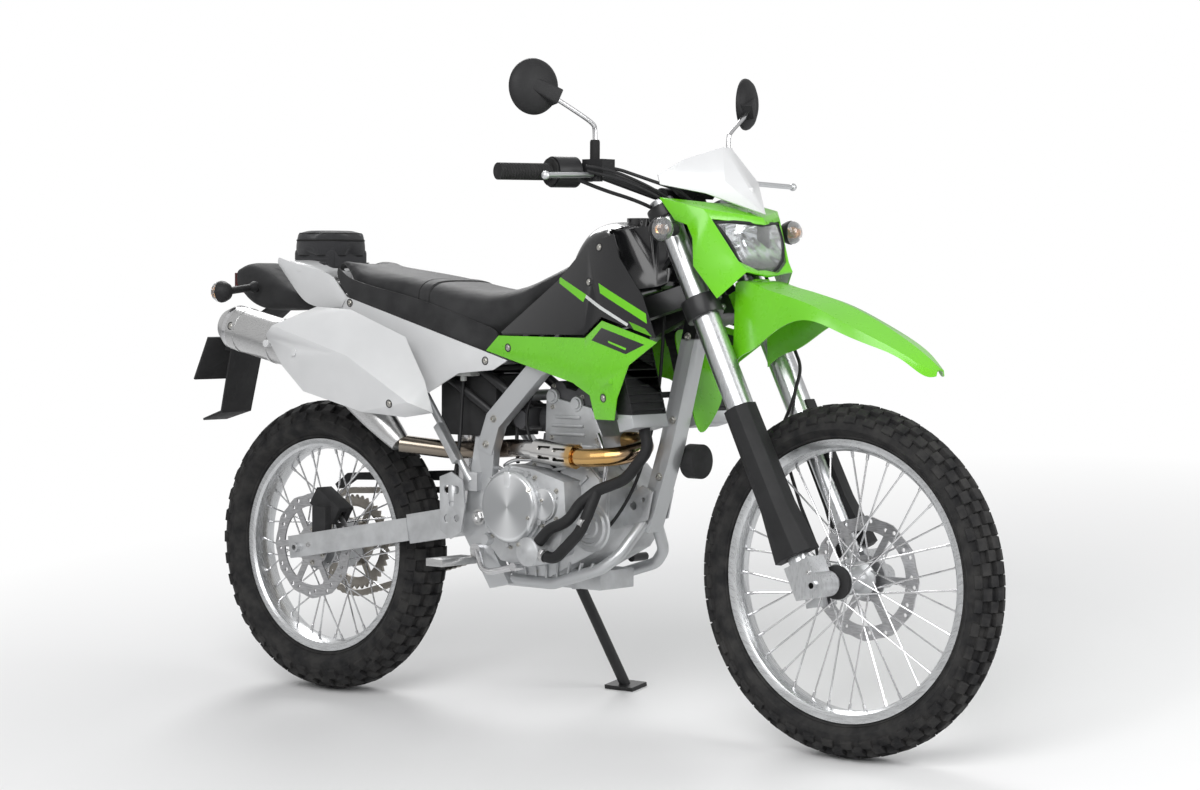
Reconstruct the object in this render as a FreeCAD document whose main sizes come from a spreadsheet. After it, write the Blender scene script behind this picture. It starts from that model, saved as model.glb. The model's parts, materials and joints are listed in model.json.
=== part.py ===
import FreeCAD, Part
import math
import os
import Sketcher

# A dual sport motorcycle parked on its side stand.
# Every piece is drawn on the upright machine: X forward from the rear axle, Y to the rider's left,
# Z up from the ground. At the end the whole machine is leaned over onto its stand and shifted, so
# that the origin is the middle of its outline on the ground. Lengths are millimetres, angles degrees.

V = FreeCAD.Vector
X_AXIS, Y_AXIS, Z_AXIS = V(1, 0, 0), V(0, 1, 0), V(0, 0, 1)

SIZES = (
    # Stance
    ("wheelbase", 1430), ("rake_angle", 26.5), ("fork_offset", 35), ("axle_lead", 26.3),
    ("lean_angle", 9), ("fit_gap", 0.3), ("bearing_gap", 0.05), ("overrun", 20), ("body_gap", 1),
    ("running_gap", 6),
    # Front wheel
    ("front_tyre_radius", 348), ("front_tyre_width", 86), ("front_tyre_crown", 45),
    ("front_rim_radius", 279), ("front_rim_width", 50), ("rim_wall", 4), ("rim_depth", 24),
    ("rim_seat", 12), ("lug_high", 8), ("lug_long", 38), ("front_hub_radius", 22),
    ("front_flange_radius", 36), ("front_hub_length", 80), ("front_disc_radius", 125),
    ("front_disc_place", 58), ("front_axle_radius", 10), ("axle_bore", 6),
    # Rear wheel
    ("rear_tyre_radius", 328), ("rear_tyre_width", 120), ("rear_tyre_crown", 54),
    ("rear_rim_radius", 242), ("rear_rim_width", 68), ("rear_hub_radius", 32), ("rear_flange_radius", 56),
    ("rear_hub_length", 92), ("rear_disc_radius", 120), ("rear_disc_place", 64), ("rear_axle_radius", 11),
    ("tyre_wall", 8), ("flange_thick", 5), ("spoke_radius", 1.9), ("disc_thick", 4), ("disc_band", 30),
    ("disc_wave", 14), ("disc_carrier_radius", 46), ("disc_arm_width", 15), ("sprocket_radius", 104),
    ("sprocket_thick", 6), ("sprocket_place", 74), ("tooth_radius", 5.2), ("sprocket_ring", 22),
    ("drive_sprocket_radius", 30), ("chain_gap", 2.6), ("chain_width", 16), ("chain_plate_high", 14),
    ("chain_waist", 2.4), ("chain_pitch", 15.875), ("disc_hole_radius", 4.5), ("disc_hole_inset", 17),
    # Fork and steering head, measured along the steering axis from beside the front axle
    ("fork_spread", 97), ("fork_tube_radius", 27.5), ("fork_top_radius", 25), ("fork_leg_radius", 21.5),
    ("fork_top", 846), ("fork_tube_end", 300), ("fork_foot", 34), ("guard_top", 388), ("guard_deep", 36),
    ("guard_low_deep", 40), ("guard_wide", 66), ("guard_low_wide", 92), ("lower_clamp", 586),
    ("lower_clamp_high", 42), ("upper_clamp", 806), ("upper_clamp_high", 26), ("clamp_wall", 11),
    ("stem_radius", 15), ("head_radius", 29), ("head_gap", 4), ("axle_clamp_radius", 25),
    ("axle_clamp_wide", 54),
    # Handlebar and what it carries
    ("bar_radius", 11.1), ("bar_half_width", 408), ("bar_clamp_radius", 14), ("bar_clamp_spread", 45),
    ("bar_clamp_wide", 32), ("bar_setback", 10), ("grip_radius", 17), ("grip_length", 122),
    ("grip_wall", 5), ("lever_reach", 62), ("lever_thick", 11), ("ball_radius", 8.5), ("switch_wide", 54),
    ("throttle_radius", 31), ("reservoir_long", 52), ("reservoir_wide", 40), ("reservoir_high", 34),
    ("perch_wide", 36), ("mirror_radius", 56), ("mirror_thick", 26), ("mirror_stem_radius", 5),
    ("mirror_sleeve_radius", 10), ("mirror_sleeve_high", 62), ("meter_wide", 118), ("meter_high", 62),
    ("meter_thick", 34), ("meter_ahead", 54), ("meter_stay_wide", 36), ("meter_lift", 12),
    ("brake_hose_radius", 3.5), ("brake_hose_bend", 60), ("brake_hose_ahead", 84),
    # Frame: each group of pieces has a block of its own, and its points are shares of that block
    ("pivot_x", 566), ("pivot_z", 430), ("pivot_radius", 25), ("spar_deep", 44), ("spar_thick", 26),
    ("frame_x", 500), ("frame_z", 280), ("head_back", 330), ("frame_wide", 120), ("frame_high", 640),
    ("plate_place", 111), ("plate_thick", 20), ("cradle_radius", 12.5), ("down_tube_wide", 44),
    ("down_tube_deep", 34), ("rail_radius", 11), ("rail_bend", 60), ("rear_front", 640), ("rear_z", 600),
    ("rear_long", 700), ("rear_wide", 100), ("rear_high", 355), ("cross_radius", 9),
    # Swingarm
    ("arm_high", 64), ("arm_end_high", 50), ("arm_thick", 26), ("arm_root_thick", 20), ("arm_spread", 99),
    ("arm_root_spread", 87), ("arm_end_drop", 28),
    # Side stand
    ("stand_x", 600), ("stand_z", 296), ("stand_y", 128), ("stand_radius", 12), ("stand_reach", 122),
    ("tyre_rest_y", 20.86), ("stand_fore", 62), ("stand_bend", 50), ("foot_long", 78), ("foot_wide", 52),
    ("foot_thick", 9), ("stand_eye_radius", 19), ("stand_eye_wide", 26), ("stand_bolt_radius", 6),
    ("stand_plate_long", 60), ("stand_plate_high", 46), ("hanger_x", 299), ("hanger_z", 797),
    ("hanger_y", 98), ("hanger_foot_x", 545), ("hanger_foot_z", 505), ("hanger_foot_y", 131),
    ("hanger_radius", 8), ("hanger_lug", 40), ("shift_x", 645), ("shift_z", 352), ("shift_y", 148),
    ("shift_long", 120), ("shift_drop", 14), ("shift_radius", 6), ("toe_long", 40), ("toe_radius", 9),
    # Engine
    ("case_x", 570), ("case_z", 312), ("case_long", 320), ("case_high", 240), ("case_half_wide", 96),
    ("left_case_half_wide", 42), ("clutch_x", 684), ("clutch_z", 460), ("clutch_radius", 76),
    ("clutch_place", 172), ("cover_place", 150), ("pump_x", 768), ("pump_z", 470), ("pump_radius", 35),
    ("pump_place", 158), ("generator_x", 770), ("generator_radius", 72), ("generator_place", 148),
    ("sump_x", 690), ("sump_z", 288), ("sump_long", 150), ("sump_wide", 110), ("sump_high", 40),
    ("barrel_x", 776), ("barrel_long", 120), ("barrel_wide", 128), ("barrel_z", 552.3),
    ("barrel_high", 30), ("head_x", 782), ("head_z", 583), ("head_long", 158), ("head_wide", 150),
    ("head_high", 108), ("cover_high", 32), ("water_pump_x", 750), ("water_pump_z", 372),
    ("water_pump_radius", 30), ("water_pump_place", 184), ("cover_step", 7), ("cover_boss_radius", 6),
    ("flange_lip", 5), ("cam_radius", 19), ("cam_spread", 62),
    # Exhaust
    ("pipe_radius", 19), ("pipe_bend", 70), ("exhaust_x", 280), ("exhaust_z", 560), ("exhaust_long", 640),
    ("exhaust_wide", 180), ("exhaust_high", 50), ("muffler_x", -135), ("muffler_z", 822),
    ("muffler_y", 172), ("muffler_radius", 50), ("muffler_long", 300), ("muffler_slope", 11.5),
    ("muffler_cap_long", 26), ("muffler_cap_radius", 36), ("muffler_tip_radius", 20),
    ("muffler_tip_wall", 2), ("cone_x", 372), ("cone_z", 604), ("cone_y", 140), ("cone_wide", 26),
    ("shield_x", 20), ("shield_z", 600), ("shield_long", 480), ("shield_wide", 240), ("shield_high", 280),
    ("shield_thick", 3), ("boss_radius", 8), ("guard_gap", 4), ("guard_skin", 2.5), ("slot_high", 8),
    # Radiators, horn and hoses
    ("radiator_back", 462), ("radiator_z", 730), ("radiator_y", 106), ("radiator_thick", 32),
    ("radiator_wide", 112), ("radiator_high", 150), ("radiator_tank_high", 26), ("radiator_slope", 16),
    ("radiator_stay_ahead", 19.4), ("horn_back", 445), ("horn_z", 560), ("horn_y", 58.3),
    ("horn_radius", 36), ("horn_deep", 34), ("slat_high", 3), ("slat_deep", 6), ("hose_radius", 12),
    ("hose_bend", 70), ("hose_y", 172),
    # Tank, seat, covers, tail
    ("tank_x", 660), ("tank_z", 780), ("tank_back", 420), ("tank_wide", 256), ("tank_high", 280),
    ("pad_long", 30), ("pad_high", 70), ("pad_share", 0.30), ("cap_z", 1036), ("cap_radius", 40),
    ("cap_high", 26), ("seat_x", 60), ("seat_z", 780), ("seat_long", 745), ("seat_wide", 250),
    ("seat_high", 240), ("shroud_x", 580), ("shroud_z", 640), ("shroud_back", 330), ("shroud_wide", 200),
    ("shroud_high", 400), ("skin_thick", 3), ("peg_radius", 6), ("cover_x", 0), ("cover_z", 680),
    ("cover_long", 700), ("cover_wide", 130), ("cover_tall", 300), ("tail_back", 115.9), ("tail_z", 900),
    ("tail_long", 240), ("tail_wide", 240), ("tail_high", 100), ("fender_lap", 4.1), ("fender_z", 840),
    ("fender_long", 310), ("fender_wide", 170), ("fender_high", 130), ("flap_back", 140), ("flap_z", 560),
    ("flap_long", 260), ("flap_wide", 110), ("flap_high", 300), ("flap_thick", 5), ("bag_back", 45.9),
    ("bag_long", 148), ("bag_wide", 140), ("airbox_x", 400), ("airbox_z", 598), ("airbox_long", 160),
    ("airbox_wide", 140), ("airbox_high", 130), ("intake_radius", 30), ("intake_z", 640),
    ("shock_x", 425), ("shock_z", 446.1), ("shock_long", 150), ("shock_radius", 30),
    ("shock_rod_radius", 12), ("plate_board_wide", 180), ("plate_board_high", 110),
    ("plate_board_ahead", 38), ("plate_board_z", 697), ("plate_board_slope", 26), ("drive_x", 640),
    ("drive_z", 438), ("guard_x", -60), ("guard_z", 398), ("guard_long", 400), ("guard_tall", 110),
    ("guard_across", 26), ("caliper_long", 84), ("caliper_wide", 46), ("caliper_high", 44),
    ("peg_x", 508), ("peg_z", 330), ("peg_wide", 110), ("peg_deep", 46), ("peg_thick", 16),
    ("pedal_x", 560), ("pedal_z", 360), ("pedal_radius", 7), ("pedal_long", 150), ("pedal_drop", 44),
    ("lamp_wide", 90), ("lamp_high", 46), ("lamp_deep", 16), ("lamp_z", 922), ("blinker_radius", 25),
    ("blinker_stem_radius", 9), ("rear_blinker_ahead", 94), ("rear_blinker_y", 166),
    ("rear_blinker_z", 904),
    # Front fender, mask, headlamp, windscreen
    ("front_fender_back", 270), ("front_fender_z", 740), ("front_fender_long", 480),
    ("front_fender_wide", 85), ("front_fender_high", 200), ("mask_back", 400), ("mask_z", 890),
    ("mask_long", 200), ("mask_wide", 140), ("mask_high", 210), ("glass_back", 330), ("glass_deep", 34),
    ("lamp_stay_half", 106.4), ("lamp_arm_long", 80), ("glass_z", 940), ("glass_long", 120),
    ("glass_wide", 110), ("glass_high", 120), ("screen_back", 390), ("screen_z", 1050),
    ("screen_long", 190), ("screen_wide", 140), ("screen_high", 160), ("fender_mount_long", 72),
    ("fender_mount_wide", 50), ("fender_mount_high", 34), ("bar_back", 560), ("bar_z", 1105),
    ("bar_long", 130), ("bar_high", 96), ("bar_bend", 40), ("riser_high", 40), ("lever_back", 441),
    ("lever_z", 1137), ("mirror_back", 524), ("mirror_y", 351), ("mirror_z", 1316), ("blinker_back", 306),
    ("blinker_y", 214), ("blinker_z", 1035),
)


class Size:
    """A named size of the sheet, or a sum made of them: its number, and its formula in the sheet's names."""

    def __init__(self, number, formula):
        self.number, self.formula = number, formula

    def __add__(self, other):
        return Size(self.number + plain(other), f"({self.formula} + {words(other)})")

    def __sub__(self, other):
        return Size(self.number - plain(other), f"({self.formula} - {words(other)})")

    def __mul__(self, other):
        return Size(self.number * plain(other), f"({self.formula} * {words(other)})")

    def __truediv__(self, other):
        return Size(self.number / plain(other), f"({self.formula} / {words(other)})")

    def __neg__(self):
        return self * -1

    def __radd__(self, other):
        return self + other

    def __rmul__(self, other):
        return self * other

    def __rsub__(self, other):
        return self * -1 + other

    def __float__(self):
        return float(self.number)


def plain(size):
    return float(size)


def words(size):
    return size.formula if isinstance(size, Size) else f"({size!r})"


doc = FreeCAD.newDocument("motorcycle")
sheet = doc.addObject("Spreadsheet::Sheet", "sizes")
for row, (alias, number) in enumerate(SIZES, 1):
    sheet.set(f"A{row}", alias)
    sheet.set(f"B{row}", repr(number))
    sheet.setAlias(f"B{row}", alias)
doc.recompute()


class Sheet:
    """q.name is the size of that name."""

    def __getattr__(self, alias):
        return Size(float(sheet.get(alias)), f"sizes.{alias}")


q = Sheet()


def point(x, y, z):
    return V(plain(x), plain(y), plain(z))


def bind(thing, **sizes):
    """Ties a feature's own properties to formulas of the sheet."""
    for name, size in sizes.items():
        if isinstance(size, Size):
            thing.setExpression(name, size.formula)
        else:
            setattr(thing, name, size)
    return thing


def put(thing, place, rotation=None):
    """Ties a feature's place to formulas of the sheet, and turns it."""
    thing.Placement = FreeCAD.Placement(point(*place), rotation or FreeCAD.Rotation())
    for letter, size in zip("xyz", place):
        if isinstance(size, Size):
            thing.setExpression(f"Placement.Base.{letter}", size.formula)
    return thing


def origin_plane(body, role):
    return next(f for f in body.Origin.OriginFeatures if f.Role == role)


def outline_sketch(body, name, role, points):
    """A closed outline whose every corner is tied to the sheet."""
    sketch = body.newObject("Sketcher::SketchObject", name)
    sketch.AttachmentSupport = [(origin_plane(body, role), "")]
    sketch.MapMode = "FlatFace"
    corners = [V(plain(a), plain(b), 0) for a, b in points]
    count = len(corners)
    sketch.addGeometry([Part.LineSegment(corners[i], corners[(i + 1) % count]) for i in range(count)],
                       False)
    for i in range(count):
        sketch.addConstraint(Sketcher.Constraint("Coincident", i, 2, (i + 1) % count, 1))
    for i, pair in enumerate(points):
        for kind, size in zip(("DistanceX", "DistanceY"), pair):
            index = sketch.addConstraint(Sketcher.Constraint(kind, -1, 1, i, 1, plain(size)))
            if isinstance(size, Size):
                sketch.setExpression(f"Constraints[{index}]", size.formula)
    return sketch


def turned(name, profile, place=(0, 0, 0), rotation=None):
    """A body turned about its own Y axis. The profile's points are (radius, along Y)."""
    body = doc.addObject("PartDesign::Body", name)
    sketch = outline_sketch(body, f"{name}_profile", "XY_Plane", profile)
    turn = body.newObject("PartDesign::Revolution", f"{name}_turn")
    turn.Profile = sketch
    turn.ReferenceAxis = (sketch, ["V_Axis"])
    turn.Angle = 360
    return put(body, place, rotation)


def plate(name, outline, thickness, place=(0, 0, 0), rotation=None):
    """A body of an outline in X and Z, padded to both sides along Y."""
    body = doc.addObject("PartDesign::Body", name)
    sketch = outline_sketch(body, f"{name}_outline", "XZ_Plane", outline)
    pad = body.newObject("PartDesign::Pad", f"{name}_pad")
    pad.Profile = sketch
    pad.Midplane = True
    bind(pad, Length=thickness)
    return put(body, place, rotation)


def feature(name, shape):
    made = doc.addObject("Part::Feature", name)
    made.Shape = shape
    return made


def fused(name, *pieces):
    made = doc.addObject("Part::MultiFuse", name)
    made.Shapes = list(pieces)
    return made


def carved(name, base, *tools):
    """The base without the space that its neighbours take."""
    made = doc.addObject("Part::Cut", name)
    made.Base = base
    made.Tool = tools[0] if len(tools) == 1 else fused(f"{name}_space", *tools)
    return made


NODES = {}


def node(label, body, *pieces):
    """Closes a sub-part: its pieces share a label, a file and a body that moves."""
    made = doc.addObject("Part::Compound", f"node_{label}")
    made.Links = list(pieces)
    made.Label = label
    NODES[label] = (made, body)
    return made


def ring(radius, centre, along):
    return Part.Wire([Part.Circle(centre, along, radius).toShape()])


def bent_path(points, bend):
    """Straight runs joined by tangent arcs, the arcs no larger than the runs allow."""
    edges, last = [], points[0]
    for before, corner, after in zip(points, points[1:], points[2:]):
        incoming, leaving = corner - before, after - corner
        half_turn = incoming.getAngle(leaving) / 2
        if half_turn < math.radians(0.5):
            continue
        room = 0.45 * min(incoming.Length, leaving.Length)
        back = min(room, bend * math.tan(half_turn))
        start = corner - V(incoming).normalize() * back
        end = corner + V(leaving).normalize() * back
        inward = (V(leaving).normalize() - V(incoming).normalize()).normalize()
        radius = back / math.tan(half_turn)
        middle = corner + inward * (radius / math.cos(half_turn) - radius)
        edges += [Part.LineSegment(last, start).toShape(), Part.Arc(start, middle, end).toShape()]
        last = end
    edges.append(Part.LineSegment(last, points[-1]).toShape())
    return Part.Wire(edges)


def tube(points, radius, bend):
    """A round bar along a bent path."""
    radius, bend = plain(radius), plain(bend)
    path = bent_path(points, bend)
    return path.makePipeShell([ring(radius, points[0], points[1] - points[0])], True, False)


def both_sides(shape):
    """The shape and its mirror image across the machine's middle."""
    return [shape, shape.mirror(V(0, 0, 0), Y_AXIS)]


def one(shapes):
    """Overlapping shapes made one solid."""
    first, *rest = shapes
    return first.multiFuse(rest).removeSplitter() if rest else first


class Block:
    """A piece's own box: places in it are shares of its length, width and height."""

    def __init__(self, x, z, long, wide, high, y=0):
        self.x, self.y, self.z, self.long, self.wide, self.high = x, y, z, long, wide, high

    def at(self, long_share, wide_share, high_share):
        return point(self.x + self.long * long_share, self.y + self.wide * wide_share,
                     self.z + self.high * high_share)

    def side(self, long_share, high_share):
        """A corner of an outline in X and Z, tied to the sheet."""
        return self.x + self.long * long_share, self.z + self.high * high_share

    def outline(self, shares):
        return [self.side(a, b) for a, b in shares]


def squircle(centre, across, up, half_across, half_up, power=2.6, count=16):
    """A closed smooth wire between an ellipse and a rectangle."""
    points = []
    for i in range(count):
        angle = 2 * math.pi * i / count
        c, s = math.cos(angle), math.sin(angle)
        a = half_across * math.copysign(abs(c) ** (2 / power), c)
        b = half_up * math.copysign(abs(s) ** (2 / power), s)
        points.append(centre + across * a + up * b)
    curve = Part.BSplineCurve()
    curve.interpolate(Points=points, PeriodicFlag=True)
    return Part.Wire([curve.toShape()])


def hull_body(block, stations, power=3.0):
    """A closed rounded form through sections across the machine: (x, low, high, width) as shares."""
    wires = []
    for x, low, high, wide in stations:
        bottom, top = block.at(x, 0, low), block.at(x, 0, high)
        wires.append(squircle((bottom + top) / 2, Y_AXIS, Z_AXIS, plain(block.wide) * wide / 2,
                              (top.z - bottom.z) / 2, power))
    return Part.makeLoft(wires, True, False)


def shell_of(block, corners, faces, thickness):
    """A thin shell of flat facets, seen from outside. A small letter mirrors its capital's corner."""
    outer, triangles, normals = {}, [], {}
    for name, shares in corners.items():
        outer[name] = block.at(*shares)
        outer[name.lower()] = V(outer[name].x, -outer[name].y, outer[name].z)
    for word in faces.split():
        face = [n.upper() if corners[n.upper()][1] == 0 else n for n in word]
        triangles += [(face[0], face[i], face[i + 1]) for i in range(1, len(face) - 1)]
    for a, b, c in triangles:
        normal = (outer[b] - outer[a]).cross(outer[c] - outer[a]).normalize()
        for corner in (a, b, c):
            normals.setdefault(corner, []).append(normal)
    inner = {}
    for corner, around in normals.items():
        mean = sum(around[1:], V(around[0])).normalize()
        lean = min(mean.dot(normal) for normal in around)
        inner[corner] = outer[corner] - mean * (plain(thickness) / max(lean, 0.5))
    edges = {(t[i], t[(i + 1) % 3]) for t in triangles for i in range(3)}
    skins = [[outer[n] for n in t] for t in triangles] + [[inner[n] for n in reversed(t)] for t in triangles]
    for a, b in sorted(edges):
        if (b, a) not in edges:
            skins += [[outer[b], outer[a], inner[a]], [outer[b], inner[a], inner[b]]]
    shell = Part.makeShell([Part.Face(Part.makePolygon(s + s[:1])) for s in skins])
    return Part.makeSolid(shell).removeSplitter()


def beam(points, wide, high):
    """A box section along a run of points: wide across the machine, high in its own plane."""
    wires = []
    for i, here in enumerate(points):
        before, after = points[max(i - 1, 0)], points[min(i + 1, len(points) - 1)]
        run = V(after.x - before.x, 0, after.z - before.z).normalize()
        up = V(-run.z, 0, run.x) * (plain(high) / 2)
        out = V(0, plain(wide) / 2, 0)
        corners = [here + up + out, here + up - out, here - up - out, here - up + out]
        wires.append(Part.makePolygon(corners + corners[:1]))
    return Part.makeLoft(wires, True, True)


def bar(start, end, radius):
    """A straight round bar."""
    run = end - start
    return Part.makeCylinder(plain(radius), run.Length, start, run)


def cross(x, z, radius, half_wide):
    """A round bar across the machine."""
    return bar(point(x, -half_wide, z), point(x, half_wide, z), radius)


def seated(piece, carrier):
    """The largest solid of a piece outside its carrier, with the fit gap all round the carrier."""
    gap = plain(q.fit_gap)
    for step in (V(0, gap, 0), V(0, -gap, 0), V(gap, 0, gap), V(-gap, 0, gap), V(gap, 0, -gap), V(-gap, 0,
                 -gap)):
        room = carrier.copy()
        room.translate(step)
        piece = piece.cut(room)
    return max(piece.Solids, key=lambda solid: solid.Volume)


def moved(shape, placement):
    turned_shape = shape.copy()
    turned_shape.Placement = placement.multiply(turned_shape.Placement)
    return turned_shape


RAKE = math.radians(plain(q.rake_angle))
ahead = q.fork_offset + q.axle_lead
cos_rake = Size(math.cos(RAKE), "cos(sizes.rake_angle)")
sin_rake = Size(math.sin(RAKE), "sin(sizes.rake_angle)")
axis_x = q.wheelbase - ahead * cos_rake
axis_z = q.front_tyre_radius - ahead * sin_rake
STEER = FreeCAD.Placement(point(axis_x, 0, axis_z), FreeCAD.Rotation(Y_AXIS, -plain(q.rake_angle)))
REAR_AXLE = (0, 0, q.rear_tyre_radius)
FRONT_AXLE = (q.wheelbase, 0, q.front_tyre_radius)


def faceted_ring(profile, count):
    """A ring of flat facets about the Y axis. The profile's points are (radius, along Y)."""
    rounds = []
    for i in range(count):
        turn = 2 * math.pi * (i + 0.5) / count
        rounds.append([V(plain(r) * math.cos(turn), plain(y), plain(r) * math.sin(turn)) for r,
                       y in profile])
    faces = []
    for i, here in enumerate(rounds):
        following = rounds[(i + 1) % count]
        for j in range(len(profile)):
            k = (j + 1) % len(profile)
            corners = [here[j], here[k], following[k], following[j]]
            faces.append(Part.Face(Part.makePolygon(corners + corners[:1])))
    solid = Part.makeSolid(Part.makeShell(faces))
    return solid if solid.Volume > 0 else solid.reversed()


def from_front(back):
    """A place along the machine, measured back from the front axle."""
    return q.wheelbase - back


def wheel(end, axle):
    """Tyre, rim, hub with spokes: the profiles run (radius, across)."""
    radius, wide, crown = (getattr(q, f"{end}_tyre_{word}") for word in ("radius", "width", "crown"))
    rim, rim_wide = getattr(q, f"{end}_rim_radius"), getattr(q, f"{end}_rim_width")
    hub, flange, hub_long = (getattr(q, f"{end}_{word}") for word in ("hub_radius", "flange_radius",
                             "hub_length"))
    side, seat = rim_wide / 2, rim - q.rim_seat
    bead = side - q.rim_wall - q.fit_gap
    rise = radius - rim
    low = radius - q.lug_high
    grow = 1 / math.cos(math.pi / LUGS)
    half = [((seat + q.fit_gap) * grow, bead), ((rim + q.fit_gap) * grow, bead), (rim + rise * 0.12,
            side + q.fit_gap),
            (rim + rise * 0.45, wide / 2), (rim + rise * 0.76, wide / 2 * 0.94), (low, crown * 0.55)]
    inside = [(rim + rise * 0.62, (wide / 2 - q.tyre_wall) * 0.86), ((seat + q.fit_gap) * grow,
                                                                          bead - q.tyre_wall)]
    profile = half + [(r, -y) for r, y in reversed(half)]
    profile += [(r, -y) for r, y in reversed(inside)] + inside
    carcass = faceted_ring(profile, LUGS)
    reach, middle = plain(q.lug_long) / 2, plain(crown) * 0.05
    tip = math.sqrt(plain(radius) ** 2 - reach ** 2)
    shoulder, floor = tip - plain(rise) * 0.10, plain(low) - plain(rise) * 0.10
    edge = plain(crown) * 0.80
    section = [(floor, middle), (tip, middle), (tip, plain(crown) * 0.4), (shoulder, edge),
               (plain(rim + rise * 0.74), plain(wide) / 2 * 0.90)]
    lugs = []
    for i in range(LUGS * 2):
        sign = 1 if i % 2 == 0 else -1
        corners = [V(radial, across * sign, -reach) for radial, across in section]
        lug = Part.Face(Part.makePolygon(corners + corners[:1])).extrude(V(0, 0, 2 * reach))
        lugs.append(moved(lug, FreeCAD.Placement(V(0, 0, 0), FreeCAD.Rotation(Y_AXIS,
                                                 90 + i * 180 / LUGS))))
    tyre = put(feature(f"{end}_tyre_ring", carcass.multiFuse(lugs)), axle)
    node(f"{end}_tyre", f"{end}_wheel", tyre)
    well, base = seat - q.rim_wall * 2, rim - q.rim_depth
    upper = [(rim, side), (rim, side - q.rim_wall), (seat, side - q.rim_wall), (seat, side / 2), (well,
             side / 3)]
    lower = [(base, side / 3), (seat - q.rim_wall, side)]
    profile = upper + [(r, -y) for r, y in reversed(upper)]
    profile += [(r, -y) for r, y in reversed(lower)] + lower
    node(f"{end}_rim", f"{end}_wheel", turned(f"{end}_rim_ring", profile, axle))
    bore = getattr(q, f"{end}_axle_radius") + q.bearing_gap
    end_y, flange_y = hub_long / 2, hub_long / 2 - q.flange_thick
    half = [(bore, end_y), (flange, end_y), (flange, flange_y), (hub, flange_y - q.flange_thick)]
    hub_body = turned(f"{end}_hub_core", half + [(r, -y) for r, y in reversed(half)])
    spokes = []
    reach = plain(base) + plain(q.rim_wall) / 3
    for i in range(SPOKES):
        turn = 2 * math.pi * i / SPOKES
        sign = 1 if i % 2 else -1
        swing = math.radians(SPOKE_SWING) * (1 if i % 4 < 2 else -1)
        root = V(math.cos(turn - swing), 0, math.sin(turn - swing)) * (plain(flange) * 0.9)
        root.y = sign * (plain(end_y) - plain(q.flange_thick) * (1 if i % 4 < 2 else 0.45))
        tip = V(math.cos(turn), 0, math.sin(turn)) * (plain(base) - plain(q.fit_gap))
        tip.y = sign * plain(side) * 0.15
        run = V(tip - root).normalize()
        across = run.cross(Y_AXIS).normalize() * plain(q.spoke_radius)
        other = run.cross(across)
        corners = [root + across, root + other, root - across, root - other]
        square = Part.Face(Part.makePolygon(corners + corners[:1]))
        spokes.append(square.extrude(tip - root))
    laced = feature(f"{end}_spokes", spokes[0].multiFuse(spokes[1:]))
    whole = put(fused(f"{end}_hub_laced", hub_body, laced), axle)
    node(f"{end}_hub", f"{end}_wheel", whole)


LUGS = 28
SPOKES = 36
SPOKE_SWING = 42
DISC_PETALS = 12


def waved(radius, wave, count, steps):
    """A round outline whose edge swings in and out."""
    corners = []
    for i in range(count * steps):
        turn = 2 * math.pi * i / (count * steps)
        r = plain(radius) - plain(wave) * (0.5 - 0.5 * math.cos(count * turn)) * 0.3
        corners.append(V(r * math.cos(turn), 0, r * math.sin(turn)))
    return Part.Face(Part.makePolygon(corners + corners[:1]))


def octagon(centre, radius):
    corners = [centre + V(radius * math.cos(i * math.pi / 4), 0,
                          radius * math.sin(i * math.pi / 4)) for i in range(8)]
    return Part.makePolygon(corners + corners[:1])


def brake_disc(end, side, axle):
    """A petal disc on a spider, that sits on the hub's face."""
    radius, place = getattr(q, f"{end}_disc_radius"), getattr(q, f"{end}_disc_place")
    thick = plain(q.disc_thick)
    face = waved(radius, q.disc_wave, DISC_PETALS, 4)
    hole = Part.Face(ring(plain(radius - q.disc_band), V(0, 0, 0), Y_AXIS))
    holes = []
    for i in range(DISC_PETALS):
        for shift, share in ((-0.17, 0.62), (0.17, 1.0)):
            turn = 2 * math.pi * (i + shift) / DISC_PETALS
            away = plain(radius) - plain(q.disc_hole_inset) * share
            spot = V(away * math.cos(turn), 0, away * math.sin(turn))
            holes.append(Part.Face(octagon(spot, plain(q.disc_hole_radius))))
    band = face.cut([hole] + holes)
    arms = []
    for i in range(6):
        arm = Part.makeBox(plain(radius - q.disc_band / 2), thick, plain(q.disc_arm_width))
        arm.translate(V(0, -thick / 2, -plain(q.disc_arm_width) / 2))
        arms.append(moved(arm, FreeCAD.Placement(V(0, 0, 0), FreeCAD.Rotation(Y_AXIS, 60 * i))))
    solid = band.extrude(V(0, thick, 0))
    solid.translate(V(0, -thick / 2, 0))
    bore = plain(getattr(q, f"{end}_axle_radius")) + plain(q.running_gap)
    from_hub = plain(place) - plain(getattr(q, f"{end}_hub_length")) / 2
    boss = Part.makeCylinder(plain(q.disc_carrier_radius), thick, V(0, -thick / 2, 0), Y_AXIS)
    neck = Part.makeCylinder(plain(getattr(q, f"{end}_hub_radius")), from_hub, V(0, 0, 0), Y_AXIS * -side)
    whole = solid.multiFuse(arms + [boss, neck])
    whole = whole.cut(Part.makeCylinder(bore, 4 * from_hub, V(0, -2 * from_hub, 0), Y_AXIS))
    piece = put(feature(f"{end}_disc_plate", whole), (axle[0], place * side, axle[2]))
    node(f"{end}_disc", f"{end}_wheel", piece)


wheel("front", FRONT_AXLE)
wheel("rear", REAR_AXLE)
brake_disc("front", 1, FRONT_AXLE)
brake_disc("rear", -1, REAR_AXLE)


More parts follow.
